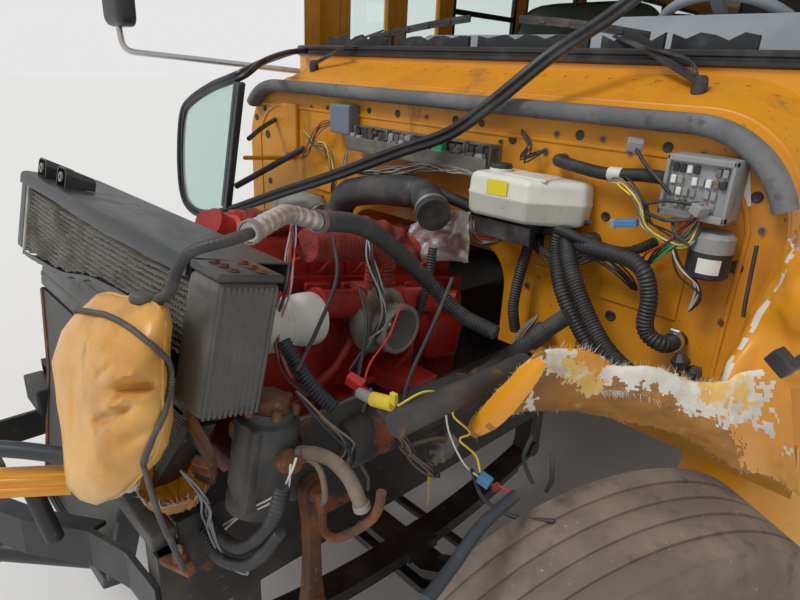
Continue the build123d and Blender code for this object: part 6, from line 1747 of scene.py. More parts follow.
def makeTurbo():
    shape = Shape()
    # manifold log with its joints
    log = [(0, 0), (0.04, 0), (0.042, 0.004), (0.042, 0.012), (0.036, 0.016), (0.036, 0.13), (0.041, 0.134),
           (0.041, 0.146), (0.036, 0.15), (0.036, 0.28), (0.041, 0.284), (0.041, 0.296), (0.036, 0.3),
           (0.036, 0.41), (0.042, 0.416), (0.042, 0.43), (0, 0.43)]
    shape.lathe(log, (0.258, 0.13, -0.15), (0, 1, 0), "engineRed", enginePlace, 28)
    # compressor volute: a ring that grows round its centre
    centre = Vector((0.282, 0.33, -0.19))
    ring, sizes = [], []
    for i in range(41):
        a = math.radians(-60 + i * 320 / 40)
        size = 0.02 + 0.014 * i / 40
        ring.append(centre + Vector((0.0, math.cos(a), math.sin(a))) * (0.091 - size))
        sizes.append(size)
    shape.tube(ring, ringProfile(1, 16), "castGrey", enginePlace, up=(1, 0, 0),
               scale=lambda t: sizes[min(40, int(round(t * 40)))])
    shape.lathe([(0, 0), (0.06, 0), (0.072, 0.008), (0.072, 0.02), (0.056, 0.034), (0.05, 0.05),
                 (0.058, 0.07),
                 (0.064, 0.092), (0.064, 0.11), (0.0615, 0.1125), (0.056, 0.113), (0.0525, 0.11),
                 (0.05, 0.08),
                 (0.04, 0.05), (0.022, 0.046), (0, 0.046)], (0.259, 0.33, -0.19), (1, 0, 0), "castGrey",
                 enginePlace, 40)
    # compressor wheel inside its inlet
    hub = Matrix.Translation((0.306, 0.33, -0.19)) @ Matrix.Rotation(math.pi / 2, 4, "Y")
    shape.lathe([(0, 0), (0.018, 0), (0.012, 0.02), (0.006, 0.026), (0, 0.027)], (0, 0, 0), (0, 0, 1),
                "armSilver", enginePlace @ hub, 16)
    for k in range(10):
        blade = Matrix.Rotation(k * math.pi / 5, 4, "Z")
        shape.sheet([[(0.01, 0, 0.002), (0.038, 0.008, 0.002)],
                     [(0.01, 0.004, 0.02), (0.036, -0.006, 0.016)]],
                    "armSilver", 0.0012, enginePlace @ hub @ blade)
    # turbine housing behind it and its flange
    casting(shape, (0.205, 0.27, -0.262), (0.262, 0.4, -0.13), "burntRed", 0.02)
    shape.block((0.2, 0.285, -0.125), (0.285, 0.375, -0.108), "burntRed", 0.004, enginePlace)
    # wrapped pipe up and forward
    wrap = smoothPath([(0.258, 0.33, -0.17), (0.256, 0.33, -0.07), (0.262, 0.31, -0.015),
                       (0.272, 0.24, 0.002), (0.282, 0.15, 0.004), (0.29, 0.06, 0.0)], 0.006)
    shape.tube(wrap, ringProfile(0.038, 20), "burntRed", enginePlace,
               scale=lambda t: 1 + 0.05 * math.sin(t * 2 * math.pi * 34) + 0.05 * noise.noise(Vector((t * 15,
                                                                                                      0, 4))))
    shape.pipe([(0.29, 0.42, -0.2), (0.305, 0.45, -0.28), (0.27, 0.4, -0.36), (0.22, 0.34, -0.4)], 0.01,
               "engineRed", enginePlace, 0.01)
    shape.pipe([(0.262, 0.27, -0.24), (0.28, 0.2, -0.32), (0.26, 0.14, -0.38), (0.21, 0.1, -0.42)], 0.012,
               "engineRed", enginePlace, 0.01)
    shape.done("turbocharger", replaces=["turbo"], edge=40)
    bolts = [(0.346, 0.33 + 0.062 * math.cos(a), -0.19 + 0.062 * math.sin(a)) for a in (0.5, 1.8, 3.1, 4.4,
                                                                                        5.6)]
    scatter("turboBolts", "bolt", bolts, [(1, 0, 0)] * 5, 0.01, "castGrey", slot="cast_grey",
            place=enginePlace)


makeEngineTrim()
makeTurbo()
print("stage: engine")

# steering gear: gearbox, sector cover, pitman arm, shaft and the shield behind it

gearFacts = {
    "top": (0.53, -4.895, 1.205),
    "foot": (0.53, -4.93, 1.0),
    "radius": 0.0575,
    "capBolts": 6,
    "pitmanX": (0.542, 0.57),
    "pitmanY": -4.825,
    "pitmanZ": (1.02, 0.7),
    "shaftEnd": (0.53, -3.984, 1.11),
}


def makeSteeringGear():
    shape = Shape()
    top, foot = Vector(gearFacts["top"]), Vector(gearFacts["foot"])
    axis = (foot - top).normalized()
    long = (foot - top).length
    full = gearFacts["radius"]
    shape.lathe([(0, 0.004), (full - 0.012, 0.004), (full - 0.01, 0.02), (full - 0.001, 0.026), (full, 0.034),
                 (full, long - 0.052), (full - 0.005, long - 0.046), (full - 0.005, long - 0.034),
                 (full, long - 0.028), (full, long - 0.006), (full - 0.01, long), (0, long)],
                top, axis, "gearSteel", sides=44)
    # rusty cap, its screws and the flat pad down the side
    shape.lathe([(0, -0.02), (0.026, -0.02), (0.034, -0.014), (0.036, 0.002), (0.044, 0.006), (0.046, 0.016),
                 (0.03, 0.018), (0, 0.018)], top, axis, "rustyIron", sides=28)
    side = Vector((1, 0, 0))
    front = axis.cross(side).normalized()
    for k in range(gearFacts["capBolts"]):
        angle = 2 * math.pi * (k + 0.3) / gearFacts["capBolts"]
        at = top + (side * math.cos(angle) + front * math.sin(angle)) * 0.047
        shape.rod(at - axis * 0.008, at + axis * 0.012, 0.0085, "rustyIron", sides=10)
    pad = Matrix([side, front, -axis]).transposed().to_4x4()
    pad.translation = top.lerp(foot, 0.5)
    shape.block((0.012, 0.03, -0.082), (0.044, 0.052, 0.08), "gearSteel", 0.006, pad)
    shape.block((-0.05, 0.008, 0.028), (-0.026, 0.048, 0.06), "rustyIron", 0.008, pad)
    shape.lathe([(0, 0), (0.02, 0), (0.022, 0.004), (0.022, 0.028), (0.015, 0.032), (0.015, 0.046),
                 (0, 0.046)],
                (0.57, -4.905, 1.12), (1, 0.15, 0.1), "rustyIron", sides=20)
    # sector cover and pitman arm
    armY, (armTop, armLow) = gearFacts["pitmanY"], gearFacts["pitmanZ"]
    shape.lathe([(0, 0), (0.046, 0), (0.05, 0.006), (0.05, 0.03), (0.04, 0.036), (0.03, 0.04), (0, 0.04)],
                (0.503, armY - 0.012, armTop), (1, 0, 0), "gearSteel", sides=32)
    outline = []
    for k in range(15):
        angle = math.pi * (0.02 + 0.96 * k / 14)
        outline.append((armY + 0.0268 * math.cos(angle), armTop - 0.015 + 0.025 * math.sin(angle)))
    for t in (0.25, 0.5, 0.75):
        outline.append((armY - 0.024 + 0.008 * math.sin(math.pi * t), armTop + (armLow - armTop) * t))
    for k in range(15):
        angle = math.pi * (1.02 + 0.96 * k / 14)
        outline.append((armY + 0.026 * math.cos(angle), armLow + 0.014 + 0.024 * math.sin(angle)))
    for t in (0.75, 0.5, 0.25):
        outline.append((armY + 0.024 - 0.008 * math.sin(math.pi * t), armTop + (armLow - armTop) * t))
    low, high = gearFacts["pitmanX"]
    shape.prism(outline, low, high, "rustyIron", axis="X", bevel=0.006)
    shape.lathe([(0, 0), (0.021, 0), (0.022, 0.003), (0.022, 0.012), (0.016, 0.016), (0.012, 0.02),
                 (0, 0.02)],
                (high - 0.001, armY, armTop - 0.012), (1, 0, 0), "rustyIron", sides=12)
    shape.lathe([(0, 0), (0.022, 0), (0.024, 0.006), (0.02, 0.02), (0.012, 0.026), (0.01, 0.036), (0, 0.036)],
                (high - 0.001, armY, armLow + 0.012), (1, 0, 0), "rustyIron", sides=16)
    # thick sleeve, its worn joint and the shaft to the firewall
    start, end = Vector((0.53, -4.73, 1.045)), Vector((0.53, -4.3, 1.03))
    shape.lathe([(0, 0), (0.046, 0), (0.052, 0.01), (0.052, 0.06), (0.047, 0.066), (0.047, 0.082),
                 (0.052, 0.088),
                 (0.052, 0.205), (0.0495, 0.212), (0.0495, 0.226), (0.052, 0.232), (0.0515, 0.372),
                 (0.044, 0.398),
                 (0.036, 0.412), (0.034, 0.43), (0, 0.43)], start, end - start, "gearSteel", sides=36)
    shape.lathe([(0, 0), (0.034, 0), (0.034, 0.03), (0.028, 0.045), (0.018, 0.06), (0, 0.06)], end,
                Vector((0.53, -4.24, 1.06)) - end, "rustyIron", sides=24)
    shape.rod((0.53, -4.25, 1.055), gearFacts["shaftEnd"], 0.0175, "gearSteel", sides=18)
    boot = [(0, 0), (0.024, 0)]
    for k in range(5):
        boot += [(0.03, 0.006 + 0.014 * k), (0.023, 0.013 + 0.014 * k)]
    shape.lathe(boot + [(0, 0.078)], (0.53, -4.075, 1.0925),
                Vector(gearFacts["shaftEnd"]) - Vector((0.53, -4.25, 1.055)), "hoseRubber", sides=22)
    # curved shield, pale along its broken edge
    rows = []
    for i in range(9):
        t = i / 8
        z = 1.138 - 0.256 * t
        near = -4.828 + 0.03 * math.sin(math.pi * t) ** 2
        far = -4.642 - 0.04 * math.sin(math.pi * min(1, 1.15 * t))
        rows.append([(0.516 + 0.004 * math.sin(3.1 * k / 7) - 0.002, near + (far - near) * k / 7,
                      z) for k in range(8)])
    shape.sheet(rows, "gearSteel", 0.006)
    shape.tube([Vector(r[-1]) + Vector((0.003, 0, 0)) for r in rows], ringProfile(0.0045, 8), "trayGrey")
    shape.tube([Vector(c) + Vector((0.003, 0, 0)) for c in rows[0]], ringProfile(0.0035, 8), "trayGrey")
    shape.done("steeringGear", replaces=["steering_gear"], edge=45)


looseRuns = {
    "tanHose": dict(finish="hoseTan", radius=0.0125, points=[
        (0.585, -4.885, 1.118), (0.613, -4.868, 1.134), (0.664, -4.86, 1.143), (0.708, -4.86, 1.135),
        (0.731, -4.86, 1.113), (0.742, -4.855, 1.085)]),
    "thinHose": dict(finish="hoseTan", radius=0.0055, points=[
        (0.586, -4.875, 1.118), (0.633, -4.87, 1.123), (0.653, -4.87, 1.103), (0.656, -4.868, 1.064),
        (0.63, -4.855, 1.03)]),
    "rustyLoop": dict(finish="rustyIron", radius=0.0085, points=[
        (0.606, -4.845, 1.035), (0.61, -4.84, 0.985), (0.616, -4.84, 0.949), (0.648, -4.84, 0.953),
        (0.698, -4.84, 1.001), (0.744, -4.84, 1.058), (0.764, -4.84, 1.098), (0.768, -4.84, 1.13)]),
    "shinyGuard": dict(finish="barBlue", radius=0.011, points=[
        (0.905, -4.87, 1.031), (0.886, -4.79, 1.03), (0.872, -4.7, 1.052), (0.868, -4.6, 1.06)]),
    "rustyPipe": dict(finish="gearSteel", radius=0.023, points=[
        (0.751, -4.8, 1.231), (0.752, -4.68, 1.232), (0.749, -4.55, 1.227), (0.735, -4.42, 1.215)]),
    "canisterBracket": dict(finish="hoseTan", radius=0.0045, points=[
        (0.575, -4.588, 1.0), (0.585, -4.553, 1.004), (0.585, -4.485, 0.985), (0.575, -4.446, 0.95),
        (0.572, -4.48, 0.922), (0.572, -4.521, 0.915)]),
    "beamPipe": dict(finish="barBlue", radius=0.016, points=[
        (0.115, -5.27, 1.058), (0.16, -5.215, 1.052), (0.215, -5.15, 1.038), (0.25, -5.105, 1.02)]),
}

blackRuns = {
    "lowerHoseNear": dict(radius=0.0115, points=[
        (0.4, -4.975, 0.975), (0.43, -4.98, 0.94), (0.481, -4.98, 0.926), (0.56, -4.985, 0.958),
        (0.625, -4.98, 1.022), (0.66, -4.975, 1.083), (0.664, -4.96, 1.14)]),
    "lowerHoseFar": dict(radius=0.01, points=[
        (0.44, -4.995, 0.915), (0.505, -5.0, 0.905), (0.58, -4.99, 0.935), (0.64, -4.985, 1.0),
        (0.672, -4.97, 1.06)]),
    "blueConduit": dict(radius=0.0145, finish="barBlue", points=[
        (0.432, -4.8, 1.262), (0.47, -4.795, 1.226), (0.515, -4.785, 1.186), (0.556, -4.77, 1.16)]),
    "engineHarness": dict(radius=0.012, points=[
        (0.3, -4.24, 1.33), (0.31, -4.26, 1.25), (0.3, -4.27, 1.18), (0.285, -4.28, 1.11)]),
    "packHose": dict(radius=0.0085, depth=0.02, points=[
        (0.489, -5.072, 1.395), (0.507, -5.066, 1.43), (0.543, -5.06, 1.455), (0.562, -5.056, 1.49),
        (0.59, -5.045, 1.524), (0.622, -5.0, 1.542), (0.618, -4.965, 1.546)]),
    "packHoseFoil": dict(radius=0.0155, finish="foilSilver", pitch=0.02, depth=0.05, points=[
        (0.62, -4.972, 1.546), (0.575, -4.9, 1.549), (0.537, -4.85, 1.541), (0.52, -4.78, 1.516)]),
    "packHoseEnd": dict(radius=0.0175, points=[
        (0.522, -4.785, 1.518), (0.5, -4.7, 1.5), (0.473, -4.62, 1.468), (0.43, -4.5, 1.395),
        (0.41, -4.42, 1.335), (0.43, -4.37, 1.28), (0.5, -4.34, 1.225), (0.59, -4.32, 1.205)]),
}


def makeLooseRuns():
    shape = Shape()
    for facts in looseRuns.values():
        shape.pipe(facts["points"], facts["radius"], facts["finish"], step=0.012, sides=14)
    # clamps at the hose ends
    for at, aim, radius in (((0.596, -4.878, 1.126), (0.9, 0.4, 0.45), 0.0155),
                            ((0.738, -4.857, 1.098), (0.3, 0.1, -0.9), 0.015),
                            ((0.62, -4.975, 1.547), (-0.4, 0.9, 0.0), 0.018),
                            ((0.521, -4.785, 1.518), (-0.25, 0.9, -0.25), 0.0205)):
        shape.lathe([(radius - 0.003, 0), (radius, 0), (radius, 0.011), (radius - 0.003, 0.011),
                     (radius - 0.003, 0)],
                    at, aim, "castGrey", sides=20)
    # canister under the sleeve, its plugs and the clip on the broken panel
    shape.lathe([(0, 0), (0.024, 0), (0.028, 0.004), (0.028, 0.04), (0.022, 0.046), (0.022, 0.06),
                 (0.012, 0.064),
                 (0.01, 0.082), (0, 0.082)], (0.566, -4.425, 0.95), (0.15, -0.85, -0.35), "castGrey",
                 sides=26)
    shape.block((0.578, -4.512, 0.868), (0.586, -4.5, 0.9), "wireYellow", 0.002)
    shape.rod((0.64, -4.752, 1.212), (0.688, -4.745, 1.22), 0.0135, "wireYellow", sides=18)
    shape.rod((0.608, -4.758, 1.214), (0.642, -4.752, 1.212), 0.0105, "plugGrey", sides=14)
    shape.block((0.684, -4.751, 1.222), (0.698, -4.742, 1.244), "wireYellow", 0.002)
    plugs = [((0.591, -4.75, 1.224), (0.034, 0.018, 0.024), "wireRed", (10, 25, 18)),
             ((0.606, -4.742, 1.204), (0.018, 0.014, 0.022), "wireRed", (-12, 5, -30)),
             ((0.812, -4.62, 1.07), (0.026, 0.018, 0.02), "plugBlue", (8, 20, 10)),
             ((0.836, -4.616, 1.066), (0.014, 0.014, 0.014), "burntRed", (0, 30, 10)),
             ((0.742, -4.64, 1.222), (0.024, 0.018, 0.018), "labelWhite", (0, 20, -12)),
             ((0.705, -4.03, 1.634), (0.036, 0.03, 0.026), "plugGrey", (12, 10, 24)),
             ((0.892, -4.08, 1.526), (0.026, 0.034, 0.022), "plugGrey", (5, 18, -20)),
             ((0.755, -4.11, 1.474), (0.05, 0.024, 0.017), "plugBlue", (0, -12, 8)),
             ((0.728, -4.112, 1.468), (0.012, 0.027, 0.021), "plugGrey", (0, -12, 8)),
             ((1.15, -4.3, 1.345), (0.042, 0.026, 0.03), "unitBlack", (15, 28, -20)),
             ((1.172, -4.29, 1.352), (0.016, 0.03, 0.036), "unitBlack", (15, 28, -20))]
    for at, size, finish, turn in plugs:
        half = [s / 2 for s in size]
        shape.block([-h for h in half], half, finish, 0.003, turned(turn, at))
    shape.done("looseHoses", edge=40)
    for name, facts in blackRuns.items():
        ribbedHose(name, facts["points"], facts["radius"], facts.get("finish", "hoseRubber"),
                   facts.get("pitch", 0.0075), facts.get("depth", 0.1), slot="hose_rubber")


wireRuns = {
    "wiresYellow": dict(finish="wireYellow", radius=0.0022, lines=[
        [(0.752, -4.64, 1.214), (0.728, -4.625, 1.169), (0.768, -4.62, 1.15), (0.744, -4.62, 1.122),
         (0.785, -4.62, 1.11), (0.8, -4.62, 1.08)],
        [(0.7, -4.745, 1.222), (0.716, -4.7, 1.24), (0.728, -4.66, 1.23)],
        [(0.586, -4.515, 0.868), (0.594, -4.52, 0.842), (0.59, -4.52, 0.82)]]),
    "wiresWhite": dict(finish="wireWhite", radius=0.002, lines=[
        [(0.732, -4.645, 1.222), (0.712, -4.63, 1.19), (0.722, -4.625, 1.13), (0.76, -4.62, 1.078),
         (0.802, -4.62, 1.068)],
        [(0.43, -4.95, 0.901), (0.495, -4.955, 0.965), (0.556, -4.955, 1.026), (0.639, -4.95, 1.107),
         (0.668, -4.945, 1.161), (0.676, -4.94, 1.191)],
        [(0.436, -4.952, 0.893), (0.52, -4.96, 0.985), (0.6, -4.95, 1.058), (0.655, -4.945, 1.118),
         (0.66, -4.94, 1.17)]]),
    "wiresBlack": dict(finish="unitBlack", radius=0.0042, lines=[
        [(0.775, -4.08, 1.517), (0.83, -4.09, 1.535), (0.898, -4.08, 1.534)],
        [(0.884, -4.08, 1.504), (0.84, -4.1, 1.496), (0.791, -4.08, 1.497), (0.76, -4.06, 1.5)],
        [(0.885, -4.08, 1.449), (0.862, -4.1, 1.47), (0.84, -4.08, 1.498)],
        [(0.826, -4.08, 1.548), (0.792, -4.08, 1.576), (0.75, -4.06, 1.6), (0.715, -4.04, 1.626)],
        [(0.78, -4.62, 1.075), (0.802, -4.6, 1.01), (0.86, -4.58, 0.995), (0.93, -4.56, 1.02)],
        [(0.905, -4.56, 1.15), (0.912, -4.56, 1.1), (0.9, -4.55, 1.062)],
        [(0.86, -4.56, 1.165), (0.85, -4.56, 1.11), (0.87, -4.55, 1.062)],
        [(0.999, -4.025, 1.466), (1.013, -4.055, 1.358), (1.019, -4.065, 1.323)],
        [(0.42, -4.6, 1.33), (0.47, -4.62, 1.27), (0.5, -4.66, 1.19), (0.52, -4.7, 1.11)],
        [(0.56, -4.46, 1.36), (0.6, -4.55, 1.3), (0.64, -4.66, 1.215), (0.69, -4.72, 1.19)],
        [(0.33, -4.6, 1.42), (0.42, -4.66, 1.365), (0.48, -4.75, 1.3), (0.505, -4.82, 1.235)]]),
    "wiresRed": dict(finish="wireRed", radius=0.0022, lines=[
        [(0.82, -4.618, 1.066), (0.846, -4.612, 1.07), (0.87, -4.6, 1.058)],
        [(0.606, -4.745, 1.212), (0.575, -4.7, 1.24), (0.54, -4.62, 1.262), (0.5, -4.55, 1.3)]]),
}


def makeWires():
    for name, facts in wireRuns.items():
        lines = [smoothPath(line, 0.008) for line in facts["lines"]]
        grow(name, "lines", lineMesh(lines), facts["finish"], slot="hose_rubber", Width=facts["radius"],
             Height=facts["radius"], Sides=6)


# torn front fender and the crushed panel beside it, millimetres with y from the wheel centre

tornFacts = {
    "lower": [(768, -200, 1129), (829, -200, 1208), (842, -130, 1196), (860, -60, 1179), (900, 0, 1164),
              (949, 40, 1156), (1022, 120, 1128), (1112, 190, 1070), (1150, 300, 1019), (1203, 380, 960)],
    "upper": [(754, -200, 1162), (846, -200, 1308), (858, -160, 1327), (888, -90, 1315), (906, -20, 1272),
              (960, 30, 1274), (1012, 100, 1243), (1057, 150, 1243), (1086, 180, 1262), (1144, 230, 1278)],
    "bulge": -16,
    "rimShift": (4, 36, -5),
    "crushed": [
        [(1040.3, 495, 1150), (1040.3, 416, 1155), (1028, 320, 1165), (1050, 168, 1222), (1088, 196, 1238),
         (1146, 242, 1250), (1205, 270, 1255)],
        [(1040.3, 495, 1290), (1040.3, 416, 1298), (1034, 330, 1310), (1058, 225, 1335), (1102, 210, 1345),
         (1152, 205, 1340), (1210, 230, 1335)],
        [(1040.3, 495, 1400), (1040.3, 416, 1404), (1042, 360, 1410), (1075, 250, 1418), (1112, 200, 1425),
         (1160, 185, 1420), (1215, 220, 1415)],
        [(1040.3, 495, 1480), (1040.3, 416, 1484), (1046, 380, 1488), (1085, 290, 1492), (1125, 235, 1496),
         (1170, 210, 1494), (1216, 230, 1490)]],
    "across": 44,
    "along": 230,
    "thick": 0.005,
}


def easedRow(points, count):
    # points spread evenly by column, so that rows of one sheet stay in step
    pts = [Vector(p) for p in points]
    pts = [2 * pts[0] - pts[1]] + pts + [2 * pts[-1] - pts[-2]]
    spans = len(pts) - 3
    row = []
    for i in range(count):
        s = min(i / (count - 1) * spans, spans - 1e-6)
        k = int(s)
        row.append(curveAt(*pts[k:k + 4], s - k))
    return row


def fromWheel(point):
    return Vector((point[0] / 1000, wheelY + point[1] / 1000, point[2] / 1000))


def easedGrid(rows, across, along):
    wide = [easedRow([fromWheel(p) for p in row], along) for row in rows]
    columns = [easedRow([row[i] for row in wide], across) for i in range(along)]
    return [[columns[i][j] for i in range(along)] for j in range(across)]


def crumple(grid, amount, scale, hold=()):
    # pushes a sheet in and out with smooth noise, less at the held columns
    rows, columns = len(grid), len(grid[0])
    made = []
    for j in range(rows):
        line = []
        for i in range(columns):
            fade = 1.0
            for column in hold:
                fade = min(fade, abs(i - column) / 6)
            push = noise.noise(grid[j][i] * scale) + 0.5 * noise.noise(grid[j][i] * scale * 2.7)
            line.append(grid[j][i] + gridNormal(grid, j, i) * push * amount * fade)
        made.append(line)
    return made


def fenderFinish(u, v, at):
    # zones along and across the torn strip, with ragged borders
    ragged = 0.1 * noise.noise(at * 24) + 0.1 * noise.noise(at * 70) + 0.05 * noise.noise(at * 160)
    u, v = u + ragged * 0.5, v + ragged
    if u < 0.17:
        return "busYellow" if v < 0.66 else "underOrange"
    if u < 0.3:
        bare = 0.18 < v < 0.52 or (v > 0.7 and u < 0.22)
        return "fibreWhite" if bare else "busYellow" if v < 0.18 else "underOrange"
    if u < 0.44:
        return "busYellow" if v < 0.4 else "labelYellowWorn" if v < 0.62 else "underOrange"
    if u < 0.66:
        return "fibreWhite" if v < 0.5 else "underOrange"
    if u < 0.93:
        if 0.7 < u < 0.88 and 0.22 < v < 0.5:
            return "labelYellowWorn"
        if 0.06 < v < 0.62:
            return "fibreWhite"
        return "busYellow" if v < 0.5 or u > 0.8 else "underOrange"
    return "busYellow"


def crushedFinish(u, v, at):
    return "fibreWhite" if (u > 0.92 or 0.5 < u < 0.54) and noise.noise(at * 40) > -0.15 else "busYellow"


def splinterFinish(u, v, at):
    return "busYellow" if noise.noise(at * 35) < 0.28 else "underOrange"


def makeTornPanels():
    shape = Shape()
    lower, upper = tornFacts["lower"], tornFacts["upper"]
    middle = [((a[0] + b[0]) / 2, (a[1] + b[1]) / 2 + tornFacts["bulge"], (a[2] + b[2]) / 2)
              for a, b in zip(lower, upper)]
    rim = [tuple(p + s for p, s in zip(point, tornFacts["rimShift"])) for point in upper]
    grid = easedGrid([rim, upper, middle, lower], tornFacts["across"], tornFacts["along"])
    grid = crumple(grid, 0.0035, 26)
    random.seed(11)
    last = len(grid) - 1
    for i in range(len(grid[0])):
        # ragged ends of the broken glass fibre
        grid[0][i] = grid[0][i] + Vector((0, 0, random.uniform(-0.004, 0.006)))
        grid[last][i] = grid[last][i] + Vector((0, 0, random.uniform(-0.001, 0.005)))
    shape.sheet(grid, "underOrange", tornFacts["thick"], finishAt=fenderFinish)
    side = easedGrid(tornFacts["crushed"][::-1], 28, 70)
    side = crumple(side, 0.009, 13, hold=(0, 69))
    shape.sheet(side, "underOrange", tornFacts["thick"], finishAt=crushedFinish)
    shape.done("tornPanels", replaces=["torn_panels"], edge=50)
    return grid, side


def makeBlade():
    # loose yellow splinter standing in front of the fender's tip
    shape = Shape()
    spine = [(0.781, -4.618, 1.162), (0.81, -4.622, 1.205), (0.846, -4.626, 1.262), (0.878, -4.624, 1.318),
             (0.896, -4.618, 1.35)]
    widths = (0.012, 0.021, 0.021, 0.016, 0.007)
    rows = []
    for at, wide in zip([Vector(p) for p in spine], widths):
        across = Vector((0.8, 0.1, -0.6)).normalized()
        rows.append([at + across * wide * s + Vector((0, -0.006 * (1 - s * s), 0)) for s in (-1, -0.4, 0.3,
                                                                                             1)])
    grid = [easedRow(column, 14) for column in zip(*rows)]
    shape.sheet(grid, "underOrange", 0.004, finishAt=splinterFinish)
    shape.done("fenderSplinter", edge=50)
    return grid


def frayOn(name, lines, length, seed, count, aims=(0, -0.4, 1.0), spread=0.8):
    # short glass fibres standing on broken edges
    random.seed(seed)
    points, directions = [], []
    for line in lines:
        for _ in range(count):
            s = random.random() * (len(line) - 1.001)
            k = int(s)
            points.append(line[k].lerp(line[k + 1],
                                       s - k) + Vector([random.gauss(0, 0.0016) for _ in range(3)]))
            directions.append(Vector(aims) + Vector([random.gauss(0, spread) for _ in range(3)]))
    scatter(name, "fibre", points, directions, length, "fibreWhite", spread=0.6, seed=seed,
            slot="body_yellow")


def makeFray(grid, side, splinter):
    last, columns = len(grid) - 1, len(grid[0])
    high = [grid[0][i] for i in range(columns)]
    low = [grid[last][i] for i in range(columns)]
    waist = [grid[(last * 6) // 10][i] for i in range(int(columns * 0.44), int(columns * 0.95))]
    tip = [grid[(last * 5) // 10][i] for i in range(int(columns * 0.12), int(columns * 0.32))]
    frayOn("frayTop", [high], 0.013, 5, 420)
    frayOn("frayWaist", [waist, waist[6:22]], 0.012, 6, 260, aims=(0.2, -0.8, -0.5))
    frayOn("frayTip", [tip], 0.015, 7, 260, aims=(0.0, -0.8, 0.0), spread=1.2)
    frayOn("frayLow", [low], 0.008, 8, 160, aims=(0, -0.3, -0.8))
    frayOn("fraySide", [[row[-1] for row in side], [side[0][i] for i in range(24, 70)]], 0.01, 9, 120)
    frayOn("fraySplinter", [list(splinter[0]), list(splinter[-1])], 0.009, 10, 70)


def fibreSpike(shape):
    ring = [(0.035 * math.cos(2.1 * k), 0.035 * math.sin(2.1 * k), 0) for k in range(3)]
    shape.add(ring + [(0.06, 0.02, 1.0)], [(0, 1, 3), (1, 2, 3), (2, 0, 3), (0, 2, 1)], "fibreWhite",
              smooth=False)


smallShapes["fibre"] = smallShape("fibreSource", fibreSpike)

# broken pieces at the bumper: a yellow beam end, a torn cup, a bracket and crushed sheets

bumperBits = {
    "beam": [(0.118, -5.292), (0.214, -5.158), (0.19, -5.14), (0.08, -5.292)],
    "beamZ": (0.948, 1.004),
    "cupRim": [(0.33, -5.05, 1.022), (0.315, -5.0, 1.035), (0.355, -4.972, 1.046), (0.405, -4.962, 1.036),
               (0.445, -4.985, 1.02), (0.455, -5.035, 1.018), (0.41, -5.08, 1.012), (0.365, -5.08, 1.012)],
    "cupFoot": (0.388, -5.02, 0.975),
    "sac": dict(at=(0.3, -5.085, 1.0), size=(0.04, 0.02, 0.03), turn=(10, 25, 35)),
    "crushed": [(0.385, -4.985, 1.105), (0.435, -4.995, 1.125), (0.47, -4.985, 1.085), (0.462, -4.975, 1.035),
                (0.41, -4.985, 1.02)],
}


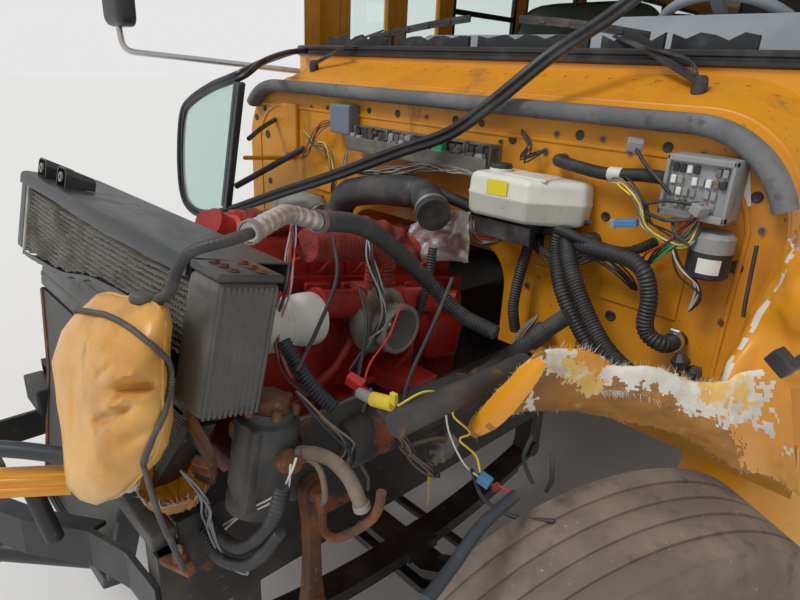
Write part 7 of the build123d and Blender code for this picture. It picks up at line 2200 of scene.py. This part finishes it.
def makeBumperBits():
    shape = Shape()
    low, high = bumperBits["beamZ"]
    shape.prism(bumperBits["beam"], low, high, "busYellow", axis="Z", bevel=0.007)
    near, far = [Vector(p) for p in bumperBits["beam"][:2]]
    for z in (low + 0.022, high - 0.012):
        shape.rod((near.x, near.y, z), (far.x, far.y, z), 0.004, "busYellow", sides=10)
    shape.rod((0.15, -5.21, low + 0.004), (0.165, -5.19, 0.825), 0.018, "chassisBlack")
    # cup torn from the fender's root, three wavy rings down to its foot
    rim = smoothPath(bumperBits["cupRim"], 0.008, closed=True)[:-1]
    foot = Vector(bumperBits["cupFoot"])
    random.seed(21)
    rim = [p + Vector((0, 0, random.uniform(-0.006, 0.006))) for p in rim]
    rings = []
    for t in (0.0, 0.18, 0.45, 0.75, 0.93):
        rings.append([foot + (p - foot) * (1 - t) ** 0.7 - Vector((0, 0, 0.02 * math.sin(math.pi * t)))
                      for p in rim])
    count = len(rim)
    inner = [p for ring in rings for p in ring] + [foot - Vector((0, 0, 0.012))]
    outer = [p + (p - foot).normalized() * 0.004 - Vector((0, 0, 0.003)) for p in inner[:-1]] \
        + [foot - Vector((0, 0, 0.017))]
    lip, total = [], len(inner)
    inside = ringFaces(len(rings), count)
    outside = [tuple(total + i for i in reversed(face)) for face in inside]
    for k in range(count):
        m, end = (k + 1) % count, (len(rings) - 1) * count
        inside.append((end + k, end + m, total - 1))
        outside.append((total + end + m, total + end + k, 2 * total - 1))
        lip.append((m, k, total + k, total + m))
    shape.add(inner + outer, inside, "busYellow")
    shape.add(inner + outer, outside, "underOrange")
    shape.add(inner + outer, lip, "fibreWhite")
    # bracket plate with its bolt, and the crushed rusty sheets above it
    shape.prism([(0.352, -5.075), (0.372, -5.035), (0.44, -5.03), (0.5, -5.042), (0.502, -5.058),
                 (0.44, -5.082)], 0.89, 0.9, "rustyIron", axis="Z", bevel=0.002)
    shape.rod((0.462, -5.055, 0.895), (0.462, -5.055, 0.918), 0.014, "rustyIron", sides=6)
    shape.rod((0.462, -5.055, 0.915), (0.462, -5.055, 0.934), 0.008, "castGrey", sides=14)
    random.seed(31)
    base = [Vector(p) for p in bumperBits["crushed"]]
    for layer in range(6):
        lift = Vector((0.004 * layer, -0.003 * layer, 0.008 * layer + 0.012))
        rows = []
        for k, wide in enumerate((-0.018, -0.006, 0.006, 0.018)):
            rows.append([p + lift + Vector((0.2, 0.1, 1)) * wide * random.uniform(0.7, 1.2)
                         + Vector((0, 0.003 * (-1) ** (k + layer), 0)) for p in base])
        shape.sheet([easedRow(row, 18) for row in rows], "rustyIron" if layer % 3 else "gearSteel", 0.0025)
    # pale crumpled sac hanging under the tank
    sac = bumperBits["sac"]
    place = turned(sac["turn"], sac["at"])
    corners = []
    for j in range(13):
        tilt = math.pi * j / 12
        for k in range(20):
            angle = 2 * math.pi * k / 20
            out = Vector((math.sin(tilt) * math.cos(angle), math.sin(tilt) * math.sin(angle), math.cos(tilt)))
            fold = 1 + 0.22 * noise.noise(out * 2.6) + 0.07 * noise.noise(out * 7)
            corners.append(Vector([c * s * fold for c, s in zip(out, sac["size"])]))
    shape.add(corners, ringFaces(13, 20), "bottleWhite", place)
    shape.done("bumperDebris", edge=45)
    frayOn("frayCup", [rim + rim[:1]], 0.012, 12, 260, aims=(0, -0.5, 0.7))


def makeInsulation():
    # crumpled silver sheet at the firewall
    shape = Shape()
    edge = [(0.059, -4.1, 1.202), (0.19, -4.1, 1.24), (0.318, -4.1, 1.269)]
    high = [(0.072, -4.1, 1.325), (0.191, -4.1, 1.388), (0.302, -4.1, 1.41)]
    rows = []
    for t in (0, 0.33, 0.66, 1):
        rows.append(easedRow([Vector(a).lerp(Vector(b), t) for a, b in zip(edge, high)], 26))
    columns = [easedRow([row[i] for row in rows], 16) for i in range(26)]
    grid = [[columns[i][j] for i in range(26)] for j in range(16)]
    grid = crumple(grid, 0.018, 17)
    grid = crumple(grid, 0.006, 60)
    shape.sheet(grid, "foilSilver", 0.003)
    shape.done("insulationSheet", edge=60)


makeSteeringGear()
makeLooseRuns()
makeWires()
tornGrid, sideGrid = makeTornPanels()
splinterGrid = makeBlade()
makeFray(tornGrid, sideGrid, splinterGrid)
makeBumperBits()
makeInsulation()
print("stage: steering gear, loose hoses, torn panels and bumper pieces")

# mirrors on their bent arms, the same on both sides

mirrorFacts = {
    "lowArm": [(-1.1, -3.55, 1.735), (-1.4, -4.1, 1.775), (-1.53, -4.305, 1.79), (-1.55, -4.305, 1.9)],
    "highArm": [(-1.16, -3.53, 2.3), (-1.4, -4.0, 2.33), (-1.55, -4.29, 2.345), (-1.55, -4.29, 2.29)],
    "armRadius": 0.0128,
    "bend": 0.05,
    "head": ((-1.648, -4.338, 1.887), (-1.452, -4.262, 2.318)),
    "split": 2.015,
}


def roundedOblong(wide, high, radius, count):
    corners = [(-wide / 2, -high / 2), (wide / 2, -high / 2), (wide / 2, high / 2), (-wide / 2, high / 2)]
    return [(p.x, p.y) for p in roundedPlan(corners, radius, count)]


def bentRun(points, bend, step=6):
    # straight runs joined by rounded corners
    pts = [Vector(p) for p in points]
    path = [pts[0]]
    for a, b, c in zip(pts, pts[1:], pts[2:]):
        into, out = (a - b).normalized(), (c - b).normalized()
        reach = min(bend, (a - b).length * 0.45, (c - b).length * 0.45)
        start, end = b + into * reach, b + out * reach
        for k in range(step + 1):
            t = k / step
            path.append(start.lerp(b, t).lerp(b.lerp(end, t), t))
    path.append(pts[-1])
    return path


def makeMirrors():
    shape = Shape()
    low, high = mirrorFacts["head"]
    for side in (1, -1):
        flip = Matrix.Diagonal((side, 1, 1, 1))
        for key in ("lowArm", "highArm"):
            points = mirrorFacts[key]
            shape.tube(bentRun(points, mirrorFacts["bend"]), ringProfile(mirrorFacts["armRadius"], 16),
                       "armSilver", flip)
            ahead = (Vector(points[1]) - Vector(points[0])).normalized()
            shape.lathe([(0, 0), (0.026, 0), (0.028, 0.003), (0.02, 0.01), (0.0165, 0.02), (0.0165, 0.03),
                         (0.013, 0.032), (0, 0.032)], Vector(points[0]) + ahead * 0.004, ahead, "mirrorBlack",
                         flip,
                        sides=20)
        # shell, bezels round two glasses, and the clamps on its back
        middle = [(a + b) / 2 for a, b in zip(low, high)]
        outline = roundedOblong(high[0] - low[0], high[2] - low[2], 0.045, 8)
        rings = []
        for y, inset in ((low[1], 0.03), (low[1] + 0.004, 0.016), (low[1] + 0.014, 0.005),
                         (low[1] + 0.03, 0.0),
                         (high[1] - 0.006, 0.0), (high[1], 0.005), (high[1], 0.012), (high[1] - 0.01, 0.013)):
            fit = [1 - 2 * inset / (high[k] - low[k]) for k in (0, 2)]
            rings.append([(middle[0] + a * fit[0], y, middle[2] + b * fit[1]) for a, b in outline])
        shape.add([p for ring in rings for p in ring], cappedFaces(len(rings), len(outline)), "mirrorBlack",
                  flip)
        split = mirrorFacts["split"]
        for bottom, top, dome in ((split + 0.008, high[2] - 0.018, 0.001),
                                  (low[2] + 0.018, split - 0.008, 0.005)):
            glass = roundedOblong(high[0] - low[0] - 0.036, top - bottom, 0.026, 6)
            centre = (middle[0], (bottom + top) / 2)
            face = high[1] - 0.0105
            disc = []
            for fit, lift in ((1.0, 0.0), (0.75, 0.5), (0.4, 0.85)):
                disc.append([(centre[0] + a * fit, face + dome * lift + 0.001, centre[1] + b * fit) for a,
                             b in glass])
            total = len(glass)
            points = [p for ring in disc for p in ring] + [(centre[0], face + dome + 0.001, centre[1])]
            cells = ringFaces(3, total)
            cells += [(2 * total + k, 2 * total + (k + 1) % total, 3 * total) for k in range(total)]
            cells.append([k for k in reversed(range(total))])
            shape.add(points, cells, "mirrorGlass", flip)
        for z in (low[2] + 0.05, high[2] - 0.06):
            shape.block((middle[0] - 0.024, low[1] + 0.0005, z - 0.016),
                        (middle[0] + 0.024, low[1] + 0.012, z + 0.016), "mirrorBlack", 0.004, flip)
    shape.done("mirrorPair", replaces=["mirrors"], edge=38)


# padded benches: crowned cushions with piping and sewn channels, on steel legs

benchFacts = {
    "span": (0.205, 1.145),
    "first": -2.5,
    "pitch": 0.696,
    "right": 10,
    "left": 9,
    "cushionDepth": 0.392,
    "cushionZ": (1.443, 1.568),
    "backMiddle": (0.48, 1.815),
    "backLean": 6.1,
    "backSize": (0.745, 0.076),
    "legX": (0.08, 0.87),
    "legY": (0.07, 0.43),
    "legRadius": 0.0135,
    "floorZ": 1.1115,
}
driverFacts = {
    "span": (0.325, 0.795),
    "cushionY": (-3.025, -2.585),
    "cushionZ": (1.492, 1.606),
    "backMiddle": (-2.545, 1.935),
    "backSize": (0.44, 0.64, 0.084),
    "backLean": 7.5,
    "post": ((0.415, -2.945, 1.112), (0.705, -2.655, 1.488)),
}


def pad(shape, finish, place, size, crown=0.5, channels=(), rows=52, seed=0.0, square=5.0):
    # a crowned closed cushion about its centre: sides pull in between the corners, channels sink into the top
    width, depth, height = [s / 2 for s in size]
    corners, faces = [], []
    loop = []
    for k in range(rows):
        angle = 2 * math.pi * k / rows
        c, s = math.cos(angle), math.sin(angle)
        loop.append((math.copysign(abs(c) ** (2 / square), c), math.copysign(abs(s) ** (2 / square), s)))

    def level(x, y, top):
        # the crown: high in the middle, falling to the rim, with channels and small puckers
        fall = (1 - abs(x) ** 3.2) * (1 - abs(y) ** 3.2)
        lift = 1 - crown + crown * fall ** 0.45
        for at, deep in channels:
            lift -= deep * math.exp(-((x - at) / 0.035) ** 2) * fall ** 0.3
        lift += 0.035 * noise.noise(Vector((x * 3 + seed, y * 3, top * 5.0))) * fall ** 0.2
        lift += 0.012 * noise.noise(Vector((x * 14 + seed, y * 6, top * 9.0)))
        return lift

    inward = [0.0, 0.02, 0.06, 0.12, 0.2, 0.3, 0.42, 0.55, 0.7, 0.85]
    for top in (-1, 1):
        start = len(corners)
        for step, pull in enumerate(inward):
            for x, y in loop:
                fit = 1 - pull
                px, py = x * fit, y * fit
                waist = 1 - 0.02 * (1 - abs(px * py)) if step < 3 else 1
                rim = (0.22, 0.55, 0.8, 0.92)[step] if step < 4 else 1.0
                z = top * level(px, py, top) * rim
                corners.append((px * width * waist, py * depth * waist, z * height))
        corners.append((0, 0, top * level(0, 0, top) * height))
        faces += ringFaces(len(inward), rows, start)
        last = start + (len(inward) - 1) * rows
        faces += [(last + k, last + (k + 1) % rows, len(corners) - 1) for k in range(rows)]
        if top < 0:
            lowStart = start
        else:
            for k in range(rows):
                m = (k + 1) % rows
                faces.append((lowStart + k, lowStart + m, start + m, start + k))
    shape.add(corners, faces, finish, place)
    # piping round both rims
    for top in (-1, 1):
        line = []
        for x, y in loop[::2]:
            z = top * level(x * 0.985, y * 0.985, top) * 0.66
            line.append((x * 0.985 * width, y * 0.985 * depth, z * height))
        shape.tube(line, ringProfile(0.0042, 6), finish, place, up=(0, 0, 1), closed=True)


def makeBenches():
    low, high = benchFacts["span"]
    wide, middle = high - low, (low + high) / 2
    zLow, zHigh = benchFacts["cushionZ"]
    backY, backZ = benchFacts["backMiddle"]
    tall, thick = benchFacts["backSize"]
    channels = [(at, 0.1) for at in (-0.5, 0.0, 0.5)]
    frames = Shape()
    for name, side, count, skipped in (("benchesRight", -1, benchFacts["right"], 0),
                                       ("benchesLeft", 1, benchFacts["left"], 1)):
        shape = Shape()
        for i in range(skipped, skipped + count):
            y = benchFacts["first"] + benchFacts["pitch"] * i
            seed = i * 1.7 + side
            at = turned((0, 0, 0), (side * middle, y + 0.2, (zLow + zHigh) / 2))
            pad(shape, "seatVinyl", at, (wide, benchFacts["cushionDepth"], zHigh - zLow), crown=0.35,
                channels=channels, seed=seed)
            at = turned((90 - benchFacts["backLean"], 0, 0), (side * middle, y + backY, backZ))
            pad(shape, "seatVinyl", at, (wide, tall, thick), crown=0.4, channels=channels, seed=seed + 40)
            near, far = [y + part for part in benchFacts["legY"]]
            floorZ, radius = benchFacts["floorZ"], benchFacts["legRadius"]
            for leg in benchFacts["legX"]:
                x = side * (low + leg)
                run = [(x, near, floorZ + 0.002), (x, near, zLow - radius), (x, far, zLow - radius),
                       (x, far, floorZ + 0.002)]
                frames.tube(bentRun(run, 0.05), ringProfile(radius, 8), "chassisBlack")
                for footY in (near, far):
                    frames.block((x - 0.018, footY - 0.022, floorZ),
                                 (x + 0.018, footY + 0.022, floorZ + 0.006),
                                 "chassisBlack", 0.001, segments=1)
        piece = shape.done(name, replaces=["bench_seats"] if side < 0 else (), edge=60)
    frames.done("benchFrames", edge=40)


def makeDriverSeat():
    shape = Shape()
    low, high = driverFacts["span"]
    near, far = driverFacts["cushionY"]
    zLow, zHigh = driverFacts["cushionZ"]
    channels = [(-0.5, 0.1), (0.5, 0.1)]
    place = turned((0, 0, 0), ((low + high) / 2, (near + far) / 2, (zLow + zHigh) / 2))
    pad(shape, "driverVinyl", place, (high - low, far - near, zHigh - zLow), crown=0.35, channels=channels,
        seed=3.1, square=4.0)
    backY, backZ = driverFacts["backMiddle"]
    place = turned((90 - driverFacts["backLean"], 0, 0), ((low + high) / 2, backY, backZ))
    pad(shape, "driverVinyl", place, driverFacts["backSize"], crown=0.4, channels=channels, seed=5.3,
        square=4.0)
    piece = shape.done("driverCushions", replaces=["driver_seat"], edge=60)
    base = Shape()
    low, high = driverFacts["post"]
    base.block(low, (high[0], high[1], low[2] + 0.02), "chassisBlack", 0.006)
    base.block((low[0] + 0.05, low[1] + 0.05, low[2] + 0.018),
               (high[0] - 0.05, high[1] - 0.05, high[2] - 0.05), "chassisBlack", 0.03)
    base.block((low[0], low[1], high[2] - 0.05), high, "chassisBlack", 0.01)
    base.rod((low[0] - 0.004, low[1] + 0.06, high[2] - 0.03), (low[0] - 0.06, low[1] + 0.02, high[2] - 0.03),
             0.008, "guardBlack", sides=12)
    base.done("driverSeatBase", edge=40)


makeMirrors()
makeBenches()
makeDriverSeat()
print("stage: mirrors and padded seats")

# rivets, roof bands, wheel nuts, lamp rims, the sign's border and the torn dash foam


def nodeTree(name):
    mesh = nodes[name].data
    return BVHTree.FromPolygons([v.co for v in mesh.vertices], [list(p.vertices) for p in mesh.polygons])


bodyFacts = {
    "rivetRows": (0.775, 0.975, 1.145, 1.605, 1.76),
    "rivetPitch": 0.116,
    "rivetSpan": (-3.6, 5.1),
    "bandFirst": -2.608,
    "bandPitch": 0.696,
    "bandCount": 12,
    "bandCentreZ": 2.2,
    "nutCircle": 0.1425,
    "nuts": 10,
}


def makeRivets():
    for side, wall in ((1, "side_wall_left"), (-1, "side_wall_right")):
        tree = nodeTree(wall)
        points, aims = [], []
        start, end = bodyFacts["rivetSpan"]
        for z in bodyFacts["rivetRows"]:
            y = start
            while y < end:
                hit, normal, index, away = tree.ray_cast(Vector((side * 2, y, z)), Vector((-side, 0, 0)), 0.9)
                if hit and abs(normal.x) > 0.9 and abs(hit.x) > halfWidth - 0.004:
                    points.append(hit + Vector((side * 0.0002, 0, 0)))
                    aims.append((side, 0, 0))
                y += bodyFacts["rivetPitch"]
        scatter("sideRivets" + ("Left" if side > 0 else "Right"), "rivet", points, aims, 0.013, "busYellow",
                slot="body_yellow", seed=4)


def makeRoofBands():
    tree = nodeTree("roof_shell")
    shape = Shape()
    for i in range(bodyFacts["bandCount"]):
        y = bodyFacts["bandFirst"] + bodyFacts["bandPitch"] * i
        line = []
        for k in range(61):
            angle = math.radians(12 + 156 * k / 60)
            out = Vector((math.cos(angle), 0, math.sin(angle)))
            hit, normal, index, away = tree.ray_cast(Vector((0, y, bodyFacts["bandCentreZ"])) + out * 3, -out)
            if hit and normal.dot(out) > 0.2:
                line.append(hit)
        if len(line) > 20:
            shape.tube(line, [(-0.003, -0.016), (0.003, -0.013), (0.003, 0.013), (-0.003, 0.016)],
                       "busYellow", up=(0, 1, 0), smooth=False)
    shape.done("roofBands", edge=30)


def makeWheelNuts():
    spots = [("frontNutsLeft", "front_wheel_left", "wheel_front_left", leftCentre, leftAxle),
             ("frontNutsRight", "front_wheel_right", "wheel_front_right", rightCentre, rightAxle),
             ("rearNutsLeft", "rear_wheels_left", "wheels_rear_left", Vector((1.07, rearAxleY, 0.52)),
              Vector((1, 0, 0))),
             ("rearNutsRight", "rear_wheels_right", "wheels_rear_right", Vector((-1.07, rearAxleY, 0.52)),
              Vector((-1, 0, 0)))]
    for name, body, node, centre, axle in spots:
        tree = nodeTree(node)
        side = axle.orthogonal().normalized()
        other = axle.cross(side)
        points, aims = [], []
        for k in range(bodyFacts["nuts"]):
            angle = 2 * math.pi * (k + 0.5) / bodyFacts["nuts"]
            out = (side * math.cos(angle) + other * math.sin(angle)) * bodyFacts["nutCircle"]
            hit, normal, index, away = tree.ray_cast(centre + out + axle * 0.5, -axle)
            if hit:
                points.append(hit)
                aims.append(axle)
        scatter(name, "bolt", points, aims, 0.03, "rustyIron", body, slot="wheel_paint", seed=6)


# inboard of the side, z and radius of each rear lamp
lampRims = {
    "rear": [(0.32, 2.6, 0.095), (0.56, 2.64, 0.095), (0.22, 1.5, 0.09), (0.22, 1.29, 0.09),
             (0.46, 1.29, 0.06)],
    "rearY": 5.1795,
}


def makeLampRims():
    shape = Shape()
    for inboard, z, radius in lampRims["rear"]:
        for side in (1, -1):
            x = side * (halfWidth - inboard)
            shape.lathe([(radius + 0.001, 0), (radius + 0.016, 0), (radius + 0.014, 0.01),
                         (radius + 0.001, 0.014),
                         (radius + 0.001, 0)], (x, lampRims["rearY"], z), (0, 1, 0), "guardBlack", sides=36)
    shape.done("lampRims", edge=40)


signFacts = {"middle": (-3.13 + 0.06 + 0.225, 1.4), "size": 0.225, "face": 1.2532}


def makeSignFace():
    shape = Shape()
    y0, z0 = signFacts["middle"]
    out = signFacts["face"]
    rings = []
    for share in (0.945, 0.885):
        radius = signFacts["size"] * share / math.cos(math.pi / 8)
        rings.append([(y0 + radius * math.cos(math.pi / 8 + math.pi / 4 * k),
                       z0 + radius * math.sin(math.pi / 8 + math.pi / 4 * k)) for k in range(8)])
    corners = [(x, y, z) for x in (out, out + 0.0008) for ring in rings for y, z in ring]
    faces = []
    for k in range(8):
        m = (k + 1) % 8
        faces += [(k, m, 8 + m, 8 + k), (16 + k, 24 + k, 24 + m, 16 + m), (k, 16 + k, 16 + m, m),
                  (8 + k, 8 + m, 24 + m, 24 + k)]
    shape.add(corners, faces, "labelWhite", smooth=False)
    for z in (z0 + 0.135, z0 - 0.135):
        shape.lathe([(0.034, 0), (0.04, 0), (0.04, 0.01), (0.034, 0.012), (0.034, 0)], (out - 0.0002, y0, z),
                    (1, 0, 0), "guardBlack", sides=24)
        shape.lathe([(0, 0), (0.034, 0), (0.033, 0.006), (0.024, 0.011), (0, 0.013)], (out - 0.0002, y0, z),
                    (1, 0, 0), "lensRed", sides=24)
    shape.done("signFace", "stop_sign_arm", edge=30)


foamFacts = {
    "spans": [(-0.86, -0.47), (-0.44, -0.09), (-0.05, 0.36), (0.4, 0.58), (0.6, 0.81)],
    "y": (-3.706, -3.69),
    "z": (1.795, 1.89),
    "seed": 8,
}


def makeDashFoam():
    # black foam strips along the dash's front edge, broken at the top
    shape = Shape()
    dice = random.Random(foamFacts["seed"])
    low, high = foamFacts["z"]
    for start, end in foamFacts["spans"]:
        steps = max(4, int((end - start) / 0.035))
        top = []
        for k in range(steps + 1):
            x = start + (end - start) * k / steps
            notch = -0.014 if k % 3 == 1 else 0.0
            top.append((x, high + notch + dice.uniform(-0.005, 0.004)))
        outline = [(start, low), (end, low)] + list(reversed(top))
        shape.prism(outline, foamFacts["y"][0], foamFacts["y"][1], "foamBlack", axis="Y", bevel=0.003)
    shape.done("dashFoam", edge=40)


makeRivets()
makeRoofBands()
makeWheelNuts()
makeLampRims()
makeSignFace()
makeDashFoam()
print("stage: body details")

# wire bundles on the firewall and over the engine: a path, how many wires, their spread and colours

bundles = {
    "trayWires": dict(path=[(-0.324, -4.03, 1.5), (-0.294, -4.045, 1.435), (-0.046, -4.05, 1.465),
                            (0.123, -4.05, 1.505), (0.29, -4.05, 1.49), (0.281, -4.03, 1.419)],
                      count=9, spread=0.014, seed=2, finishes=("unitBlack", "plugGrey", "hoseTan")),
    "trayLoop": dict(path=[(0.233, -4.02, 1.41), (0.3, -4.05, 1.325), (0.385, -4.05, 1.354),
                           (0.361, -4.03, 1.406), (0.33, -4.02, 1.46)],
                     count=6, spread=0.012, seed=3, finishes=("unitBlack", "wireRed", "plugGrey")),
    "unitWires": dict(path=[(-0.621, -4.0, 1.538), (-0.52, -4.03, 1.5), (-0.434, -4.03, 1.479),
                            (-0.4, -4.03, 1.4), (-0.433, -4.01, 1.33)],
                      count=7, spread=0.016, seed=4, finishes=("hoseTan", "unitBlack", "wireYellow")),
    "unitWires2": dict(path=[(-0.64, -4.0, 1.43), (-0.56, -4.03, 1.47), (-0.483, -4.03, 1.56),
                             (-0.43, -4.0, 1.585)],
                       count=5, spread=0.012, seed=5, finishes=("hoseTan", "unitBlack", "wireRed")),
    "moduleWires": dict(path=[(0.651, -4.02, 1.544), (0.72, -4.07, 1.552), (0.77, -4.075, 1.515),
                              (0.793, -4.07, 1.464), (0.882, -4.075, 1.445), (0.89, -4.05, 1.5)],
                        count=9, spread=0.013, seed=6,
                        finishes=("unitBlack", "wireWhite", "hoseTan", "wireYellow")),
    "moduleWires2": dict(path=[(0.773, -4.02, 1.354), (0.82, -4.07, 1.42), (0.87, -4.075, 1.47),
                               (0.905, -4.06, 1.54)],
                         count=8, spread=0.016, seed=7,
                         finishes=("unitBlack", "hoseTan", "wireRed", "plugGreen")),
    "motorWires": dict(path=[(0.88, -4.03, 1.5), (0.85, -4.07, 1.44), (0.87, -4.06, 1.39),
                             (0.915, -4.05, 1.35), (0.9, -4.03, 1.29)],
                       count=6, spread=0.01, seed=8, finishes=("unitBlack", "wireWhite")),
    "bottleWires": dict(path=[(0.477, -4.0, 1.375), (0.52, -4.06, 1.345), (0.59, -4.06, 1.33),
                              (0.665, -4.06, 1.37), (0.735, -4.06, 1.35), (0.77, -4.02, 1.3)],
                        count=10, spread=0.014, seed=9, finishes=("unitBlack", "plugGrey", "unitBlack")),
    "engineWires": dict(path=[(0.3, -4.47, 1.415), (0.345, -4.5, 1.37), (0.378, -4.5, 1.3),
                              (0.4, -4.5, 1.23), (0.37, -4.52, 1.15), (0.345, -4.56, 1.08)],
                        count=10, spread=0.013, seed=10, finishes=("unitBlack", "unitBlack", "plugGrey")),
    "engineWires2": dict(path=[(0.18, -4.6, 1.44), (0.26, -4.66, 1.4), (0.33, -4.72, 1.33),
                               (0.345, -4.76, 1.25), (0.4, -4.78, 1.18), (0.47, -4.77, 1.15)],
                         count=7, spread=0.01, seed=11, finishes=("unitBlack", "wireRed", "plugGrey")),
    "lowWires": dict(path=[(0.62, -4.2, 1.23), (0.6, -4.24, 1.16), (0.64, -4.26, 1.09),
                           (0.7, -4.24, 1.08), (0.78, -4.16, 1.13)],
                     count=6, spread=0.012, seed=12, finishes=("unitBlack", "hoseTan")),
    "gearWires": dict(path=[(0.56, -4.86, 1.23), (0.6, -4.84, 1.19), (0.64, -4.8, 1.13), (0.62, -4.8, 1.06),
                            (0.65, -4.78, 1.0)],
                      count=7, spread=0.014, seed=14, finishes=("unitBlack", "hoseTan", "unitBlack")),
    "gearWires2": dict(path=[(0.6, -4.7, 1.15), (0.64, -4.66, 1.09), (0.61, -4.62, 1.03), (0.65, -4.58, 0.98),
                             (0.62, -4.54, 0.93)],
                       count=7, spread=0.016, seed=15, finishes=("unitBlack", "hoseTan")),
    "beamWires": dict(path=[(0.42, -5.02, 1.06), (0.47, -5.0, 1.01), (0.45, -4.99, 0.95), (0.5, -4.99, 0.9),
                            (0.56, -4.97, 0.89)],
                      count=7, spread=0.016, seed=16, finishes=("unitBlack", "plugGrey")),
    "clipWires": dict(path=[(0.372, -4.0, 1.635), (0.424, -4.03, 1.602), (0.405, -4.03, 1.565),
                            (0.456, -4.0, 1.593)],
                      count=4, spread=0.007, seed=13, finishes=("unitBlack",)),
}

wallRuns = {
    "trayConduit": dict(radius=0.0165, points=[
        (-0.345, -4.03, 1.235), (-0.33, -4.045, 1.31), (-0.27, -4.055, 1.371), (-0.127, -4.055, 1.42),
        (0.1, -4.055, 1.43), (0.24, -4.05, 1.415), (0.32, -4.03, 1.385)]),
    "middleConduit": dict(radius=0.0145, points=[
        (0.465, -4.0, 1.4), (0.462, -4.04, 1.328), (0.447, -4.05, 1.177), (0.45, -4.03, 1.085)]),
    "longHose": dict(radius=0.019, points=[
        (0.56, -4.02, 1.4), (0.62, -4.09, 1.345), (0.7, -4.12, 1.25), (0.78, -4.14, 1.18),
        (0.869, -4.16, 1.145)]),
    "lowSleeve": dict(radius=0.02, depth=0.02, points=[
        (0.48, -4.3, 1.0), (0.56, -4.27, 1.09), (0.64, -4.24, 1.185), (0.708, -4.22, 1.262)]),
    "crossHose": dict(radius=0.012, points=[
        (0.49, -4.01, 1.385), (0.56, -4.06, 1.41), (0.65, -4.07, 1.4), (0.74, -4.06, 1.395),
        (0.8, -4.03, 1.43)]),
}


def makeBundles():
    lines = {}
    for facts in bundles.values():
        dice = random.Random(facts["seed"])
        path = smoothPath(facts["path"], 0.012)
        total = len(path) - 1
        for k in range(facts["count"]):
            shift = Vector([dice.uniform(-50, 50) for _ in range(3)])
            offset = Vector((dice.uniform(-1, 1), dice.uniform(-0.3, 0.3),
                             dice.uniform(-1, 1))) * facts["spread"]
            line = []
            for i, p in enumerate(path):
                t = i / total
                loose = math.sin(math.pi * t) ** 0.5
                wander = Vector([noise.noise(p * 9 + shift + Vector((7 * axis, 0, 0))) for axis in range(3)])
                wander.y *= 0.5
                line.append(p + (offset + wander * facts["spread"] * 1.4) * loose)
            lines.setdefault(dice.choice(facts["finishes"]), []).append(line)
    for finish, group in lines.items():
        grow("bundle" + finish[0].upper() + finish[1:], "lines", lineMesh(group), finish, slot="hose_rubber",
             Width=0.0024, Height=0.0024, Sides=5)


makeBundles()
for runName, run in wallRuns.items():
    ribbedHose(runName, run["points"], run["radius"], "hoseRubber", 0.0075, run.get("depth", 0.1),
               slot="hose_rubber")
print("stage: wire bundles")
